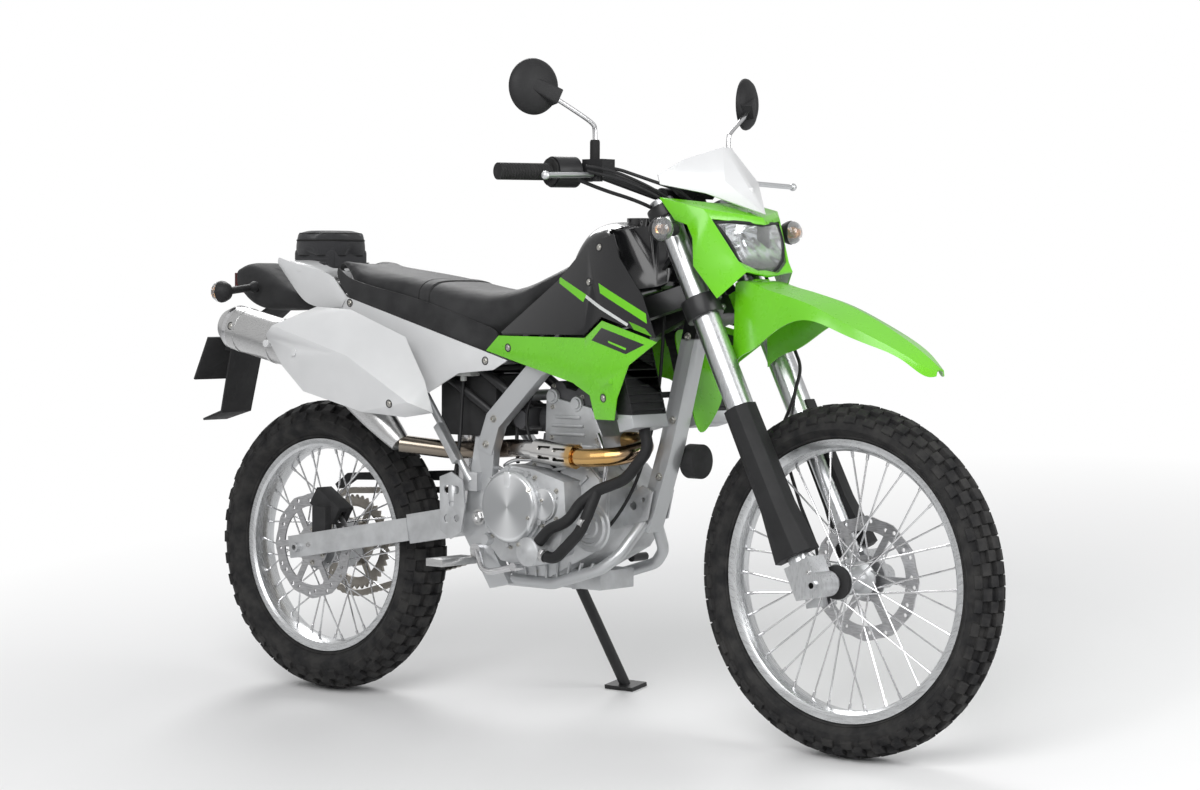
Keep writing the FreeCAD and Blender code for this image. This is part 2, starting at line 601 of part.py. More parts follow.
def sprocket():
    """The driven wheel of the chain: teeth, a ring and arms to a hub on the left."""
    axle = (REAR_AXLE[0], q.sprocket_place, REAR_AXLE[2])
    thick = plain(q.sprocket_thick)
    face = waved(q.sprocket_radius + q.tooth_radius, q.tooth_radius * 6, TEETH, 4)
    ring_hole = Part.Face(ring(plain(q.sprocket_radius - q.sprocket_ring), V(0, 0, 0), Y_AXIS))
    solid = face.cut(ring_hole).extrude(V(0, thick, 0))
    solid.translate(V(0, -thick / 2, 0))
    arms = []
    for i in range(6):
        arm = Part.makeBox(plain(q.sprocket_radius - q.sprocket_ring / 2), thick, plain(q.disc_arm_width))
        arm.translate(V(0, -thick / 2, -plain(q.disc_arm_width) / 2))
        arms.append(moved(arm, FreeCAD.Placement(V(0, 0, 0), FreeCAD.Rotation(Y_AXIS, 60 * i))))
    from_hub = plain(q.sprocket_place) - plain(q.rear_hub_length) / 2
    boss = Part.makeCylinder(plain(q.rear_flange_radius), thick, V(0, -thick / 2, 0), Y_AXIS)
    neck = Part.makeCylinder(plain(q.rear_flange_radius), from_hub, V(0, 0, 0), -Y_AXIS)
    bore = plain(q.rear_axle_radius + q.running_gap)
    whole = solid.multiFuse(arms + [boss, neck])
    whole = whole.cut(Part.makeCylinder(bore, 4 * from_hub, V(0, -2 * from_hub, 0), Y_AXIS))
    node("rear_sprocket", "rear_wheel", put(feature("sprocket_plate", whole), axle))


TEETH = 41
sprocket()


def fork():
    """Steering stem, clamps, fork tubes and legs, drawn upright about the steering axis."""
    place = [(q.fork_offset, q.fork_spread), (q.fork_offset, -q.fork_spread)]
    tubes, legs = [], []
    for i, (x, y) in enumerate(place):
        tubes.append(put(turned(f"fork_tube_{i}", [
            (0, q.fork_tube_end), (q.fork_tube_radius, q.fork_tube_end),
            (q.fork_tube_radius, q.lower_clamp), (q.fork_top_radius, q.lower_clamp + q.lower_clamp_high),
            (q.fork_top_radius, q.fork_top), (0, q.fork_top)]), (x, y, 0), TO_Z))
    node("fork_tubes", "steering", *tubes).Placement = STEER
    clamps = []
    for word, radius in (("lower", q.fork_tube_radius), ("upper", q.fork_top_radius)):
        low, high = getattr(q, f"{word}_clamp"), getattr(q, f"{word}_clamp_high")
        boss = q.stem_radius + q.clamp_wall / 2
        half = [(0, boss), (q.fork_offset * 0.7, q.fork_spread), (q.fork_offset + boss / 2, q.fork_spread),
                (q.fork_offset + boss, q.fork_spread * 0.5)]
        corners = [point(x, y, low) for x, y in half] + [point(x, -y, low) for x, y in reversed(half)]
        web = Part.Face(Part.makePolygon(corners + corners[:1])).extrude(V(0, 0, plain(high)))
        core = doc.addObject("Part::Cylinder", f"{word}_clamp_core")
        put(bind(core, Radius=boss, Height=high), (0, 0, low))
        rings, bores = [feature(f"{word}_clamp_web", web), core], []
        for i, (x, y) in enumerate(place):
            outer = doc.addObject("Part::Cylinder", f"{word}_clamp_ring_{i}")
            put(bind(outer, Radius=radius + q.clamp_wall, Height=high), (x, y, low))
            bore = doc.addObject("Part::Cylinder", f"{word}_clamp_bore_{i}")
            put(bind(bore, Radius=radius + q.bearing_gap, Height=high + q.overrun * 2), (x, y,
                low - q.overrun))
            rings.append(outer)
            bores.append(bore)
        clamps.append(carved(f"{word}_clamp_bored", fused(f"{word}_clamp_solid", *rings), *bores))
    stem = doc.addObject("Part::Cylinder", "stem")
    put(bind(stem, Radius=q.stem_radius,
             Height=q.upper_clamp + q.upper_clamp_high + q.stem_radius - q.lower_clamp),
        (0, 0, q.lower_clamp))
    node("triple_clamps", "steering", fused("clamps_on_stem", *clamps, stem)).Placement = STEER
    guards = []
    for i, (x, y) in enumerate(place):
        side = 1 - 2 * i
        leg = put(turned(f"fork_leg_{i}", [
            (0, 0), (q.fork_leg_radius, 0), (q.fork_leg_radius, q.fork_tube_end - q.bearing_gap),
            (0, q.fork_tube_end - q.bearing_gap)]), (x, y, 0), TO_Z)
        foot = doc.addObject("Part::Cylinder", f"axle_clamp_{i}")
        put(bind(foot, Radius=q.axle_clamp_radius, Height=q.axle_clamp_wide),
            (ahead, y + q.axle_clamp_wide / 2, 0), FreeCAD.Rotation(X_AXIS, 90))
        knee = doc.addObject("Part::Box", f"fork_knee_{i}")
        put(bind(knee, Length=ahead - q.fork_offset + q.axle_clamp_radius + q.fork_leg_radius / 2,
                 Width=q.axle_clamp_wide, Height=q.fork_foot * 2),
            (q.fork_offset - q.fork_leg_radius / 2 - q.axle_clamp_radius / 2, y - q.axle_clamp_wide / 2,
             -q.axle_clamp_radius / 2))
        legs += [leg, foot, knee]
        guards.append(fork_guard(i, side))
    lug = doc.addObject("Part::Box", "caliper_lug")
    put(bind(lug, Length=q.caliper_long * 0.7, Width=q.disc_thick * 2, Height=q.fork_foot),
        (-q.caliper_long * 0.45, q.front_disc_place + q.caliper_wide / 2 + q.fit_gap, q.fork_foot * 0.4))
    legs.append(lug)
    axle = doc.addObject("Part::Cylinder", "front_axle")
    put(bind(axle, Radius=q.front_axle_radius, Height=q.fork_spread * 2 + q.axle_clamp_wide + q.clamp_wall),
        (ahead, q.fork_spread + q.axle_clamp_wide / 2 + q.clamp_wall / 2, 0), FreeCAD.Rotation(X_AXIS, 90))
    spacer = q.fork_spread - q.axle_clamp_wide / 2 - q.front_hub_length / 2 - q.running_gap / 4
    collars = []
    for i, (x, y) in enumerate(place):
        collar = doc.addObject("Part::Cylinder", f"axle_collar_{i}")
        far = q.fork_spread - q.axle_clamp_wide / 2 if i == 0 else -q.front_hub_length / 2 - q.running_gap / 4
        put(bind(collar, Radius=q.front_axle_radius + q.flange_thick, Height=spacer), (ahead, far, 0),
            FreeCAD.Rotation(X_AXIS, 90))
        collars.append(collar)
    bore = doc.addObject("Part::Cylinder", "front_axle_bore")
    put(bind(bore, Radius=q.axle_bore, Height=q.wheelbase), (ahead, q.wheelbase / 2, 0),
        FreeCAD.Rotation(X_AXIS, 90))
    node("fork_legs", "steering", carved("fork_feet", fused("fork_feet_solid", *legs, axle, *collars), bore)
         ).Placement = STEER
    node("fork_guards", "steering", *guards).Placement = STEER


TO_Z = FreeCAD.Rotation(X_AXIS, 90)


def fork_guard(index, side):
    """A trough that covers the front and outer side of one leg, wide at its foot."""
    wires = []
    for height, wide, deep in ((q.fork_foot * 2 + q.body_gap, q.guard_low_wide, q.guard_low_deep),
                               (q.guard_top * 0.45, q.guard_wide, q.guard_deep),
                               (q.guard_top, q.guard_wide * 0.9, q.guard_deep)):
        half, out, z = plain(wide) / 2, plain(deep), plain(height)
        corners = [V(-half, 0, z), V(half * -0.8, out * 0.75, z), V(half * -0.3, out, z), V(half * 0.45,
                   out, z),
                   V(half, out * 0.5, z), V(half, -out * 0.35, z)]
        wires.append(Part.makePolygon(corners + corners[:1]))
    solid = Part.makeLoft(wires, True, True)
    y = plain(q.fork_spread) * side
    if side < 0:
        solid = solid.mirror(V(0, 0, 0), Y_AXIS)
    solid.translate(V(plain(q.fork_offset), y, 0))
    room = plain(q.fork_leg_radius + q.body_gap)
    tube_room = plain(q.fork_tube_radius + q.body_gap)
    x, top = plain(q.fork_offset), plain(q.guard_top)
    base, split = V(x, y, 0), plain(q.fork_tube_end)
    solid = solid.cut(Part.makeCylinder(room, split, base, Z_AXIS))
    solid = solid.cut(Part.makeCylinder(tube_room, top, base + V(0, 0, split - plain(q.body_gap)), Z_AXIS))
    return feature(f"fork_guard_{index}", solid)


fork()


def creased(block, stations, thickness):
    """A thin arched skin through sections across the machine, with a ridge, a crease and an edge each side.

    A station is (along, ridge height, crease width, crease height, edge width, edge height), as shares.
    """
    wires, wall = [], plain(thickness)
    for along, ridge, crease, crease_high, edge, edge_high in stations:
        top = block.at(along, 0, ridge)
        fold, hem = block.at(along, crease, crease_high), block.at(along, edge, edge_high)
        right = [hem, fold, top]
        outer = right + [V(p.x, -p.y, p.z) for p in (fold, hem)]
        hem_in, fold_in, top_in = hem - V(0, wall, 0), fold - V(0, wall, wall), top - V(0, 0, wall)
        inner = [V(p.x, -p.y, p.z) for p in (hem_in, fold_in)] + [top_in, fold_in, hem_in]
        wires.append(Part.makePolygon(outer + inner + outer[:1]))
    return Part.makeLoft(wires, True, False)


FENDER_SHARES = (
    (0.05, 0.99, 0.62, 0.95, 0.71, 0.10), (0.17, 0.96, 0.72, 0.93, 0.92, 0.28),
    (0.31, 0.90, 0.78, 0.84, 1.00, 0.49), (0.46, 0.81, 0.81, 0.74, 0.98, 0.595),
    (0.60, 0.69, 0.82, 0.60, 0.90, 0.49), (0.75, 0.52, 0.73, 0.44, 0.79, 0.36),
    (0.90, 0.31, 0.50, 0.25, 0.55, 0.19), (0.99, 0.15, 0.15, 0.13, 0.18, 0.075))


def front_end():
    """Handlebar, controls, mirrors, mask, lamps, windscreen and fender, drawn in the machine's own axes."""
    bars = Block(from_front(q.bar_back), q.bar_z, q.bar_long, q.bar_half_width, q.bar_high)
    half = [bars.at(0, 1, 0.44), bars.at(0.48, 0.45, 0.47), bars.at(0.98, 0.17, 0.02),
            bars.at(1, 0, 0)]
    run = half[:-1] + [V(p.x, -p.y, p.z) for p in reversed(half[:-1])]
    rod = tube(run, q.bar_radius, q.bar_bend)
    centre, risers = half[-1], []
    foot_z = plain(q.upper_clamp + q.upper_clamp_high)
    for shape in both_sides(Part.makeCylinder(plain(q.bar_clamp_radius), plain(q.riser_high),
                                              V(plain(q.bar_setback), plain(q.bar_clamp_spread), foot_z))):
        risers.append(moved(shape, STEER))
    clamp = Part.makeCylinder(plain(q.bar_clamp_radius + q.body_gap * 3), plain(q.bar_clamp_wide),
                              V(centre.x, plain(q.bar_clamp_spread - q.bar_clamp_wide / 2), centre.z),
                              Y_AXIS)
    whole = one([rod] + risers + both_sides(clamp))
    node("handlebar", "steering", feature("bar_and_clamps", whole))
    out, inner = half[0], half[1]
    along = V(inner - out).normalize()
    grips, controls = [], []
    start = out - along * plain(q.grip_wall)
    length = plain(q.grip_length + q.grip_wall)
    sleeve = Part.makeCylinder(plain(q.grip_radius), length, start, along)
    collar = Part.makeCylinder(plain(q.throttle_radius) * 0.9, plain(q.grip_wall),
                               start + along * (length - plain(
        q.grip_wall)), along)
    grip = sleeve.fuse(collar).cut(Part.makeCylinder(plain(q.bar_radius + q.bearing_gap),
                                                     length + plain(q.overrun), out,
                                              along))
    node("grips", "steering", *[feature(f"grip_{i}", g) for i, g in enumerate(both_sides(grip))])
    hold = out + along * plain(q.grip_length + q.body_gap)
    housing = Part.makeCylinder(plain(q.throttle_radius), plain(q.switch_wide), hold, along)
    perch_start = hold + along * plain(q.switch_wide + q.running_gap)
    perch = Part.makeCylinder(plain(q.bar_radius) * 1.7, plain(q.perch_wide), perch_start, along)
    middle = perch_start + along * (plain(q.perch_wide) / 2)
    pivot = middle + V(plain(q.lever_reach) * 0.62, plain(q.perch_wide) * 0.2, -plain(q.bar_radius) / 2)
    arm = bar(middle, pivot, q.bar_radius * 0.8)
    ball_at = point(from_front(q.lever_back), q.bar_half_width, q.lever_z)
    blade = bar(pivot, ball_at, q.lever_thick / 2)
    joint = Part.makeCylinder(plain(q.lever_thick) * 1.1, plain(q.lever_thick) * 2.2,
                              pivot - V(0, 0, plain(q.lever_thick) * 1.2))
    ball = Part.makeSphere(plain(q.ball_radius), ball_at)
    bridge = bar(hold + along * plain(q.switch_wide) * 0.5, middle, q.bar_radius * 1.2)
    space = Part.makeCylinder(plain(q.bar_radius + q.bearing_gap), plain(q.grip_length) * 3, out, along)
    left = housing.fuse(bridge).fuse(perch).fuse(arm).fuse(joint).fuse(blade).fuse(ball).cut(space)
    tank_box = Part.makeBox(plain(q.reservoir_long), plain(q.reservoir_wide), plain(q.reservoir_high))
    tank_box.translate(V(middle.x + plain(q.mirror_sleeve_radius + q.body_gap), middle.y - plain(
        q.reservoir_wide) * 0.5, middle.z - plain(q.reservoir_high) * 0.25))
    right = one([left, tank_box.cut(space)]).mirror(V(0, 0, 0), Y_AXIS)
    node("controls", "steering", feature("left_controls", left), feature("right_controls", right))
    foot = middle + V(0, 0, plain(q.bar_radius) * 1.7 + plain(q.fit_gap))
    top = foot + V(0, 0, plain(q.mirror_sleeve_high))
    back = point(from_front(q.mirror_back), q.mirror_y, q.mirror_z)
    facing = V(-math.cos(MIRROR_TURN), -math.sin(MIRROR_TURN), 0)
    head = put(turned("mirror_head", [
        (0, 0), (q.mirror_radius, 0), (q.mirror_radius, q.mirror_thick * 0.3), (q.mirror_radius * 0.86,
        q.mirror_thick * 0.72), (q.mirror_radius * 0.5, q.mirror_thick), (0, q.mirror_thick)]),
        (0, 0, 0), FreeCAD.Rotation(Y_AXIS, facing * -1))
    doc.recompute()
    dome = head.Shape.copy()
    doc.removeObject(head.Name)
    dome.translate(back)
    stem = tube([foot, top + V(0, 0, plain(q.mirror_stem_radius)), top + V(-plain(q.mirror_stem_radius) * 2,
                 plain(q.mirror_radius) * 0.4, plain(q.mirror_radius) * 0.5),
                 back - facing * (plain(q.mirror_thick) * 0.8) - V(0, 0, plain(q.mirror_radius) * 0.15)],
                q.mirror_stem_radius, q.mirror_radius)
    sleeve = Part.makeCylinder(plain(q.mirror_sleeve_radius), plain(q.mirror_sleeve_high), foot)
    whole = one([stem, sleeve, dome])
    node("mirrors", "steering", *[feature(f"mirror_{i}", m) for i, m in enumerate(both_sides(whole))])

    clamp_top = q.upper_clamp + q.upper_clamp_high
    meter = Part.makeBox(plain(q.meter_thick), plain(q.meter_wide), plain(q.meter_high))
    meter.translate(V(0, -plain(q.meter_wide) / 2, 0))
    meter = meter.makeChamfer(plain(q.meter_thick) * 0.28,
                              [e for e in meter.Edges if len(e.Vertexes) == 2 and abs(
        (e.Vertexes[0].Point - e.Vertexes[1].Point).x) > plain(q.body_gap)])
    meter = moved(meter, FreeCAD.Placement(point(q.meter_ahead, 0, clamp_top + q.meter_lift),
                                           FreeCAD.Rotation(Y_AXIS, -METER_TURN)))
    stay = Part.makeBox(plain(q.meter_thick) * 0.5, plain(q.meter_stay_wide),
                        plain(q.meter_lift + q.meter_high / 3))
    stay.translate(point(q.fork_offset * 1.2, -q.meter_stay_wide / 2, clamp_top + q.fit_gap))
    stay = one([stay, Part.makeBox(plain(q.meter_thick), plain(q.meter_stay_wide),
                                   plain(q.meter_lift) * 0.6,
                                   point(q.fork_offset * 1.2, -q.meter_stay_wide / 2,
                                         clamp_top + q.meter_lift))])
    node("instrument", "steering", feature("meter", moved(one([meter, stay]), STEER)))

    caliper = FreeCAD.Placement(V(plain(ahead), plain(q.front_disc_place), 0),
                                FreeCAD.Rotation(Y_AXIS, -CALIPER_TURN))
    port, lead = (caliper.multVec(point(q.caliper_long * share + q.fit_gap, q.caliper_wide * 0.26,
                                        q.front_disc_radius - q.disc_band + q.caliper_high / 2))
                  for share in (0.5, 1))
    inlet = V(middle.x + plain(q.mirror_sleeve_radius + q.body_gap + q.reservoir_long / 2),
              plain(q.reservoir_wide / 2 + q.fit_gap) - middle.y, middle.z + plain(q.reservoir_high) * 0.25)
    front, beside, within = plain(q.brake_hose_ahead), plain(q.fork_spread) * 0.866, plain(q.fork_spread) * 0.645
    hose = tube([moved(Part.Vertex(x, y, z), STEER).Point for x, y, z in (
        (port.x, port.y, port.z), (lead.x, lead.y, lead.z), (lead.x, within * 1.1,
                                                             plain(q.guard_top) * 0.5),
        (-plain(q.brake_hose_radius) * 3.5, within, plain(q.guard_top) * 0.89), (front * 0.53, within,
            plain(q.guard_top)),
        (front, beside, plain(q.guard_top) * 1.16), (front, beside, plain(q.lower_clamp) * 1.2),
        (front, plain(q.fork_spread) * 0.41, plain(q.upper_clamp) * 0.98),
        (front, -plain(q.fork_spread) * 0.41, plain(q.upper_clamp) * 0.99),
        (front, -plain(q.fork_spread), plain(q.upper_clamp) * 1.05))] + [
        inlet + V(0, plain(q.reservoir_wide), 0), inlet],
        q.brake_hose_radius, q.brake_hose_bend)
    node("brake_hose", "steering", feature("brake_line", hose))

    block = Block(from_front(q.front_fender_back), q.front_fender_z, q.front_fender_long,
                  q.front_fender_wide,
                  q.front_fender_high)
    fender = creased(block, FENDER_SHARES, q.skin_thick)
    stay = Part.makeBox(plain(q.fender_mount_long), plain(q.fender_mount_wide), plain(q.fender_mount_high),
                        point(q.fork_offset + q.stem_radius + q.clamp_wall / 2 + q.fit_gap,
                              -q.fender_mount_wide / 2, q.lower_clamp + q.running_gap))
    node("front_fender", "steering", feature("fender_shell", one([fender, moved(stay, STEER)])))

    block = Block(from_front(q.mask_back), q.mask_z, q.mask_long, q.mask_wide, q.mask_high)
    corners = {
        "A": (0.12, 0.96, 0.99), "B": (0.62, 0.86, 0.88), "C": (0.69, 0.80, 0.79), "D": (0.91, 0.57, 0.39),
        "E": (0.99, 0.54, 0.29), "F": (0.76, 0.79, 0.04), "G": (0.53, 0.92, 0.35), "I": (0.52, 0.92, 0.61),
        "J": (0.46, 0.94, 0.74), "K": (0.32, 0.95, 0.78), "M": (0.90, 0, 0.80), "N": (0.93, 0, 0.74),
        "O": (0.50, 0.34, 0.94), "P": (0.97, 0, 0.24), "R": (0.93, 0, 0.31), "S": (0.93, 0.33, 0.28)}
    faces = ("KJBA JIGB BGDC GFED SDEP RSP OABM MBCN "
             "abjk bgij cdgb defg peds psr mbao ncbm OMo")
    mask = shell_of(block, corners, faces, q.skin_thick)
    node("headlamp_mask", "steering", feature("mask_shell", mask))

    glass = Block(from_front(q.glass_back), q.glass_z, q.glass_long, q.glass_wide, q.glass_high)
    corners = {"A": (0.57, -0.93, 0.92), "B": (0.86, 0, 0.83), "C": (0.86, -0.70, 0.26), "D": (0.84, -0.36,
               0.08),
               "E": (1.0, 0, 0.42)}
    lamp = shell_of(glass, corners, "ACEB CDE DdE dcE caBE", q.glass_deep)
    joint = glass.at(0.55, 0, 0.5)
    stay = cross(joint.x, joint.z, q.cross_radius * 0.6, plain(q.lamp_stay_half))
    tubes = moved(Part.makeCompound([link.Shape for link in NODES["fork_tubes"][0].Links]), STEER)
    joint.y = plain(q.fork_spread)
    arm = seated(bar(joint - V(plain(q.lamp_arm_long), 0, 0), joint, q.peg_radius), tubes)
    node("headlamp", "steering", feature("lamp_bowl", one([lamp, stay] + both_sides(arm))))

    block = Block(from_front(q.screen_back), q.screen_z, q.screen_long, q.screen_wide, q.screen_high)
    corners = {
        "T": (0.42, 0.10, 0.96), "U": (0.17, 0.57, 0.80), "W": (0.05, 0.96, 0.60), "X": (0.06, 0.93, 0.48),
        "Y": (0.46, 0.57, 0.37), "Z": (0.94, 0.0, 0.11), "R": (0.62, 0.40, 0.52)}
    faces = "TtZ TZR TRU URY UYXW RZY trZ tur uyr uwxy ryZ"
    screen = shell_of(block, corners, faces, q.skin_thick)
    stay = Part.makeCylinder(plain(q.cross_radius) * 0.6, plain(q.screen_high) * 0.30,
                             block.at(0.74, 0, 0.145))
    node("windscreen", "steering", feature("screen_shell", seated(one([screen, stay]), mask)))


MIRROR_TURN = math.radians(20)
METER_TURN = 24
CALIPER_TURN = 75
front_end()


def chassis():
    """Frame, seat rails, swingarm and stand."""
    f = Block(q.frame_x, q.frame_z, from_front(q.frame_x + q.head_back), q.frame_wide, q.frame_high)
    spar = beam([f.at(0.93, 0.26, 0.98), f.at(0.63, 0.78, 0.88), f.at(0.37, 0.93, 0.737), f.at(0.165, 0.93,
                 0.556),
                 f.at(0.125, 0.93, 0.453)], q.spar_thick, q.spar_deep)
    outline = [(0.08, 0.50), (0.17, 0.49), (0.155, 0.34), (0.145, 0.24), (0.17, 0.12), (0.24, 0.02),
               (0.15, 0), (0.09, 0.08), (0.02, 0.18), (0.04, 0.30)]
    corners = [f.at(a, 0, b) for a, b in outline]
    side_plate = Part.Face(Part.makePolygon(corners + corners[:1])).extrude(V(0, plain(q.plate_thick), 0))
    side_plate.translate(V(0, plain(q.plate_place - q.plate_thick / 2), 0))
    cradle = tube([f.at(0.712, 0.17, 0.24), f.at(0.68, 0.60, 0.14), f.at(0.62, 0.76, 0.09),
                   f.at(0.41, 0.78, 0.03), f.at(0.17, 0.80, 0.03)], q.cradle_radius, q.rail_bend)
    down = beam([f.at(0.938, 0, 0.972), f.at(0.81, 0, 0.50), f.at(0.71, 0, 0.215)], q.down_tube_wide,
                q.down_tube_deep)
    pivot = cross(plain(q.pivot_x), plain(q.pivot_z), q.rear_axle_radius,
                  plain(q.plate_place + q.plate_thick))
    ties = [cross(p.x, p.z, r, plain(q.plate_place)) for p, r in (
        (f.at(0.155, 0, 0.03), q.cradle_radius), (f.at(0.26, 0, 0.64), q.cross_radius * 1.3))]
    head = moved(Part.makeCylinder(plain(q.head_radius),
                                   plain(q.upper_clamp - q.lower_clamp - q.lower_clamp_high
                 - q.head_gap * 2), V(0, 0, plain(q.lower_clamp + q.lower_clamp_high + q.head_gap))), STEER)
    bore = moved(Part.makeCylinder(plain(q.stem_radius + q.bearing_gap), plain(q.fork_top)), STEER)
    lug = Part.makeBox(plain(q.stand_plate_long),
                       plain(q.stand_y - q.plate_place + q.plate_thick / 2 - q.fit_gap),
                       plain(q.stand_plate_high),
                       V(plain(q.stand_x - q.stand_plate_long / 2),
                         plain(q.plate_place - q.plate_thick / 2),
                         plain(q.stand_z - q.stand_plate_high / 2)))
    clamp_room = moved(Part.makeCylinder(plain(q.stem_radius + q.clamp_wall / 2 + q.running_gap),
                                         plain(q.lower_clamp_high + q.head_gap + q.overrun),
                                         V(0, 0, plain(q.lower_clamp - q.overrun))), STEER)
    down = down.cut(clamp_room)
    whole = one(both_sides(spar) + both_sides(side_plate) + both_sides(cradle) + ties + [down, pivot, head])
    node("frame", "chassis", feature("frame_welded", whole.cut(bore)))

    r = Block(q.rear_front - q.rear_long, q.rear_z, q.rear_long, q.rear_wide, q.rear_high)
    upper = tube([r.at(1, 0.86, 0.22), r.at(0.85, 0.86, 0.40), r.at(0.51, 0.80, 0.66), r.at(RAIL_SHARE,
                  0.58, 0.79)],
                 q.rail_radius, q.rail_bend)
    lower = tube([r.at(0.93, 0.86, 0.10), r.at(0.33, 0.76, 0.755)], q.rail_radius * 0.9, q.rail_bend)
    ties = [cross(p.x, p.z, q.cross_radius, p.y) for p in (r.at(0.85, 0.86, 0.40), r.at(0.22, 0.6, 0.765))]
    rails = one(both_sides(upper) + both_sides(lower) + ties)
    node("subframe", "chassis", feature("rails_welded", seated(rails, whole)))

    end = point(0, q.arm_spread, q.rear_tyre_radius)
    root = point(q.pivot_x, q.arm_root_spread, q.pivot_z)
    arms = []
    path = [end - V(plain(q.arm_end_drop), 0, plain(q.body_gap * 2)), end + (root - end) * 0.6,
            end + (root - end) * 0.86, root]
    path[1].y = end.y
    path[2].y = root.y
    arm = beam(path[:2], q.arm_thick, q.arm_end_high).fuse(beam(path[1:], q.arm_root_thick, q.arm_high))
    brace_at = end + (root - end) * 0.70
    brace = Part.makeBox(plain(q.arm_high) * 0.6, 2 * plain(q.arm_root_spread), plain(q.arm_high) * 0.7,
                         V(brace_at.x, -plain(q.arm_root_spread), brace_at.z - plain(q.arm_high) * 0.35))
    sleeve = cross(root.x, root.z, q.pivot_radius, root.y + plain(q.arm_root_thick) / 2)
    axle = cross(0, end.z, q.rear_axle_radius, end.y + plain(q.arm_thick))
    reach = plain(q.rear_hub_length) / 2 + plain(q.running_gap) / 4
    collars = [Part.makeCylinder(plain(q.rear_axle_radius + q.flange_thick), end.y - reach, V(0, reach,
                                 end.z), Y_AXIS)]
    whole = one(both_sides(arm) + [brace, sleeve, axle] + both_sides(collars[0]))
    bores = [cross(root.x, root.z, q.rear_axle_radius + q.bearing_gap, 2 * root.y),
             cross(0, end.z, q.axle_bore, 4 * root.y)]
    node("swingarm", "chassis", feature("swingarm_welded", whole.cut(bores[0]).cut(bores[1])))

    pin = point(q.stand_x, q.stand_y, q.stand_z)
    lean = math.radians(plain(q.lean_angle))
    foot_y = plain(q.stand_y + q.stand_reach)
    ground = (foot_y - plain(q.tyre_rest_y)) * math.tan(lean)
    foot = V(pin.x + plain(q.stand_fore), foot_y, ground)
    out = V(0, math.cos(lean), math.sin(lean))
    up = V(0, -math.sin(lean), math.cos(lean))
    sole = Part.makeBox(plain(q.foot_long), plain(q.foot_wide), plain(q.foot_thick),
                        V(-plain(q.foot_long) / 2, -plain(q.foot_wide) / 2, 0))
    sole.Placement = FreeCAD.Placement(foot, FreeCAD.Rotation(X_AXIS, plain(q.lean_angle)))
    middle = plain(q.stand_eye_wide) / 2
    leg = tube([pin + V(0, middle, 0), pin + V(0, middle, 0) + (foot - pin) * 0.12,
                foot + up * plain(q.foot_thick) * 0.5],
               q.stand_radius, q.stand_bend)
    eye = Part.makeCylinder(plain(q.stand_eye_radius), plain(q.stand_eye_wide), pin, Y_AXIS)
    bolt_room = Part.makeCylinder(plain(q.stand_bolt_radius + q.bearing_gap), plain(q.stand_eye_wide) * 4,
                                  pin - V(0, plain(q.stand_eye_wide), 0), Y_AXIS)
    cap_room = Part.makeCylinder(plain(q.stand_bolt_radius) * 2, plain(q.stand_eye_wide),
                                 pin + V(0, plain(q.stand_eye_wide), 0), Y_AXIS)
    node("side_stand", "side_stand", feature("stand_leg", one([leg, eye,
                                                               sole]).cut(bolt_room).cut(cap_room)))
    bolt = Part.makeCylinder(plain(q.stand_bolt_radius),
                             plain(q.stand_eye_wide + q.stand_y - q.plate_place + q.fit_gap + q.stand_bolt_radius),
                             V(pin.x, plain(q.plate_place), pin.z), Y_AXIS)
    cap = Part.makeCylinder(plain(q.stand_bolt_radius) * 1.7, plain(q.stand_bolt_radius),
                            V(pin.x, plain(q.stand_y + q.stand_eye_wide + q.fit_gap), pin.z), Y_AXIS)
    lug_solid = one([lug, bolt, cap])
    frame_shape = NODES["frame"][0].Links[0]
    frame_shape.Shape = frame_shape.Shape.fuse(lug_solid).removeSplitter()
    return pin, *(NODES[name][0].Links[0].Shape for name in ("swingarm", "frame", "subframe"))


RAIL_SHARE = 0.137
STAND_PIN, ARM, FRAME, RAILS = chassis()
rail_end = q.rear_front - q.rear_long * (1 - RAIL_SHARE)


COVER_BOLTS = 9


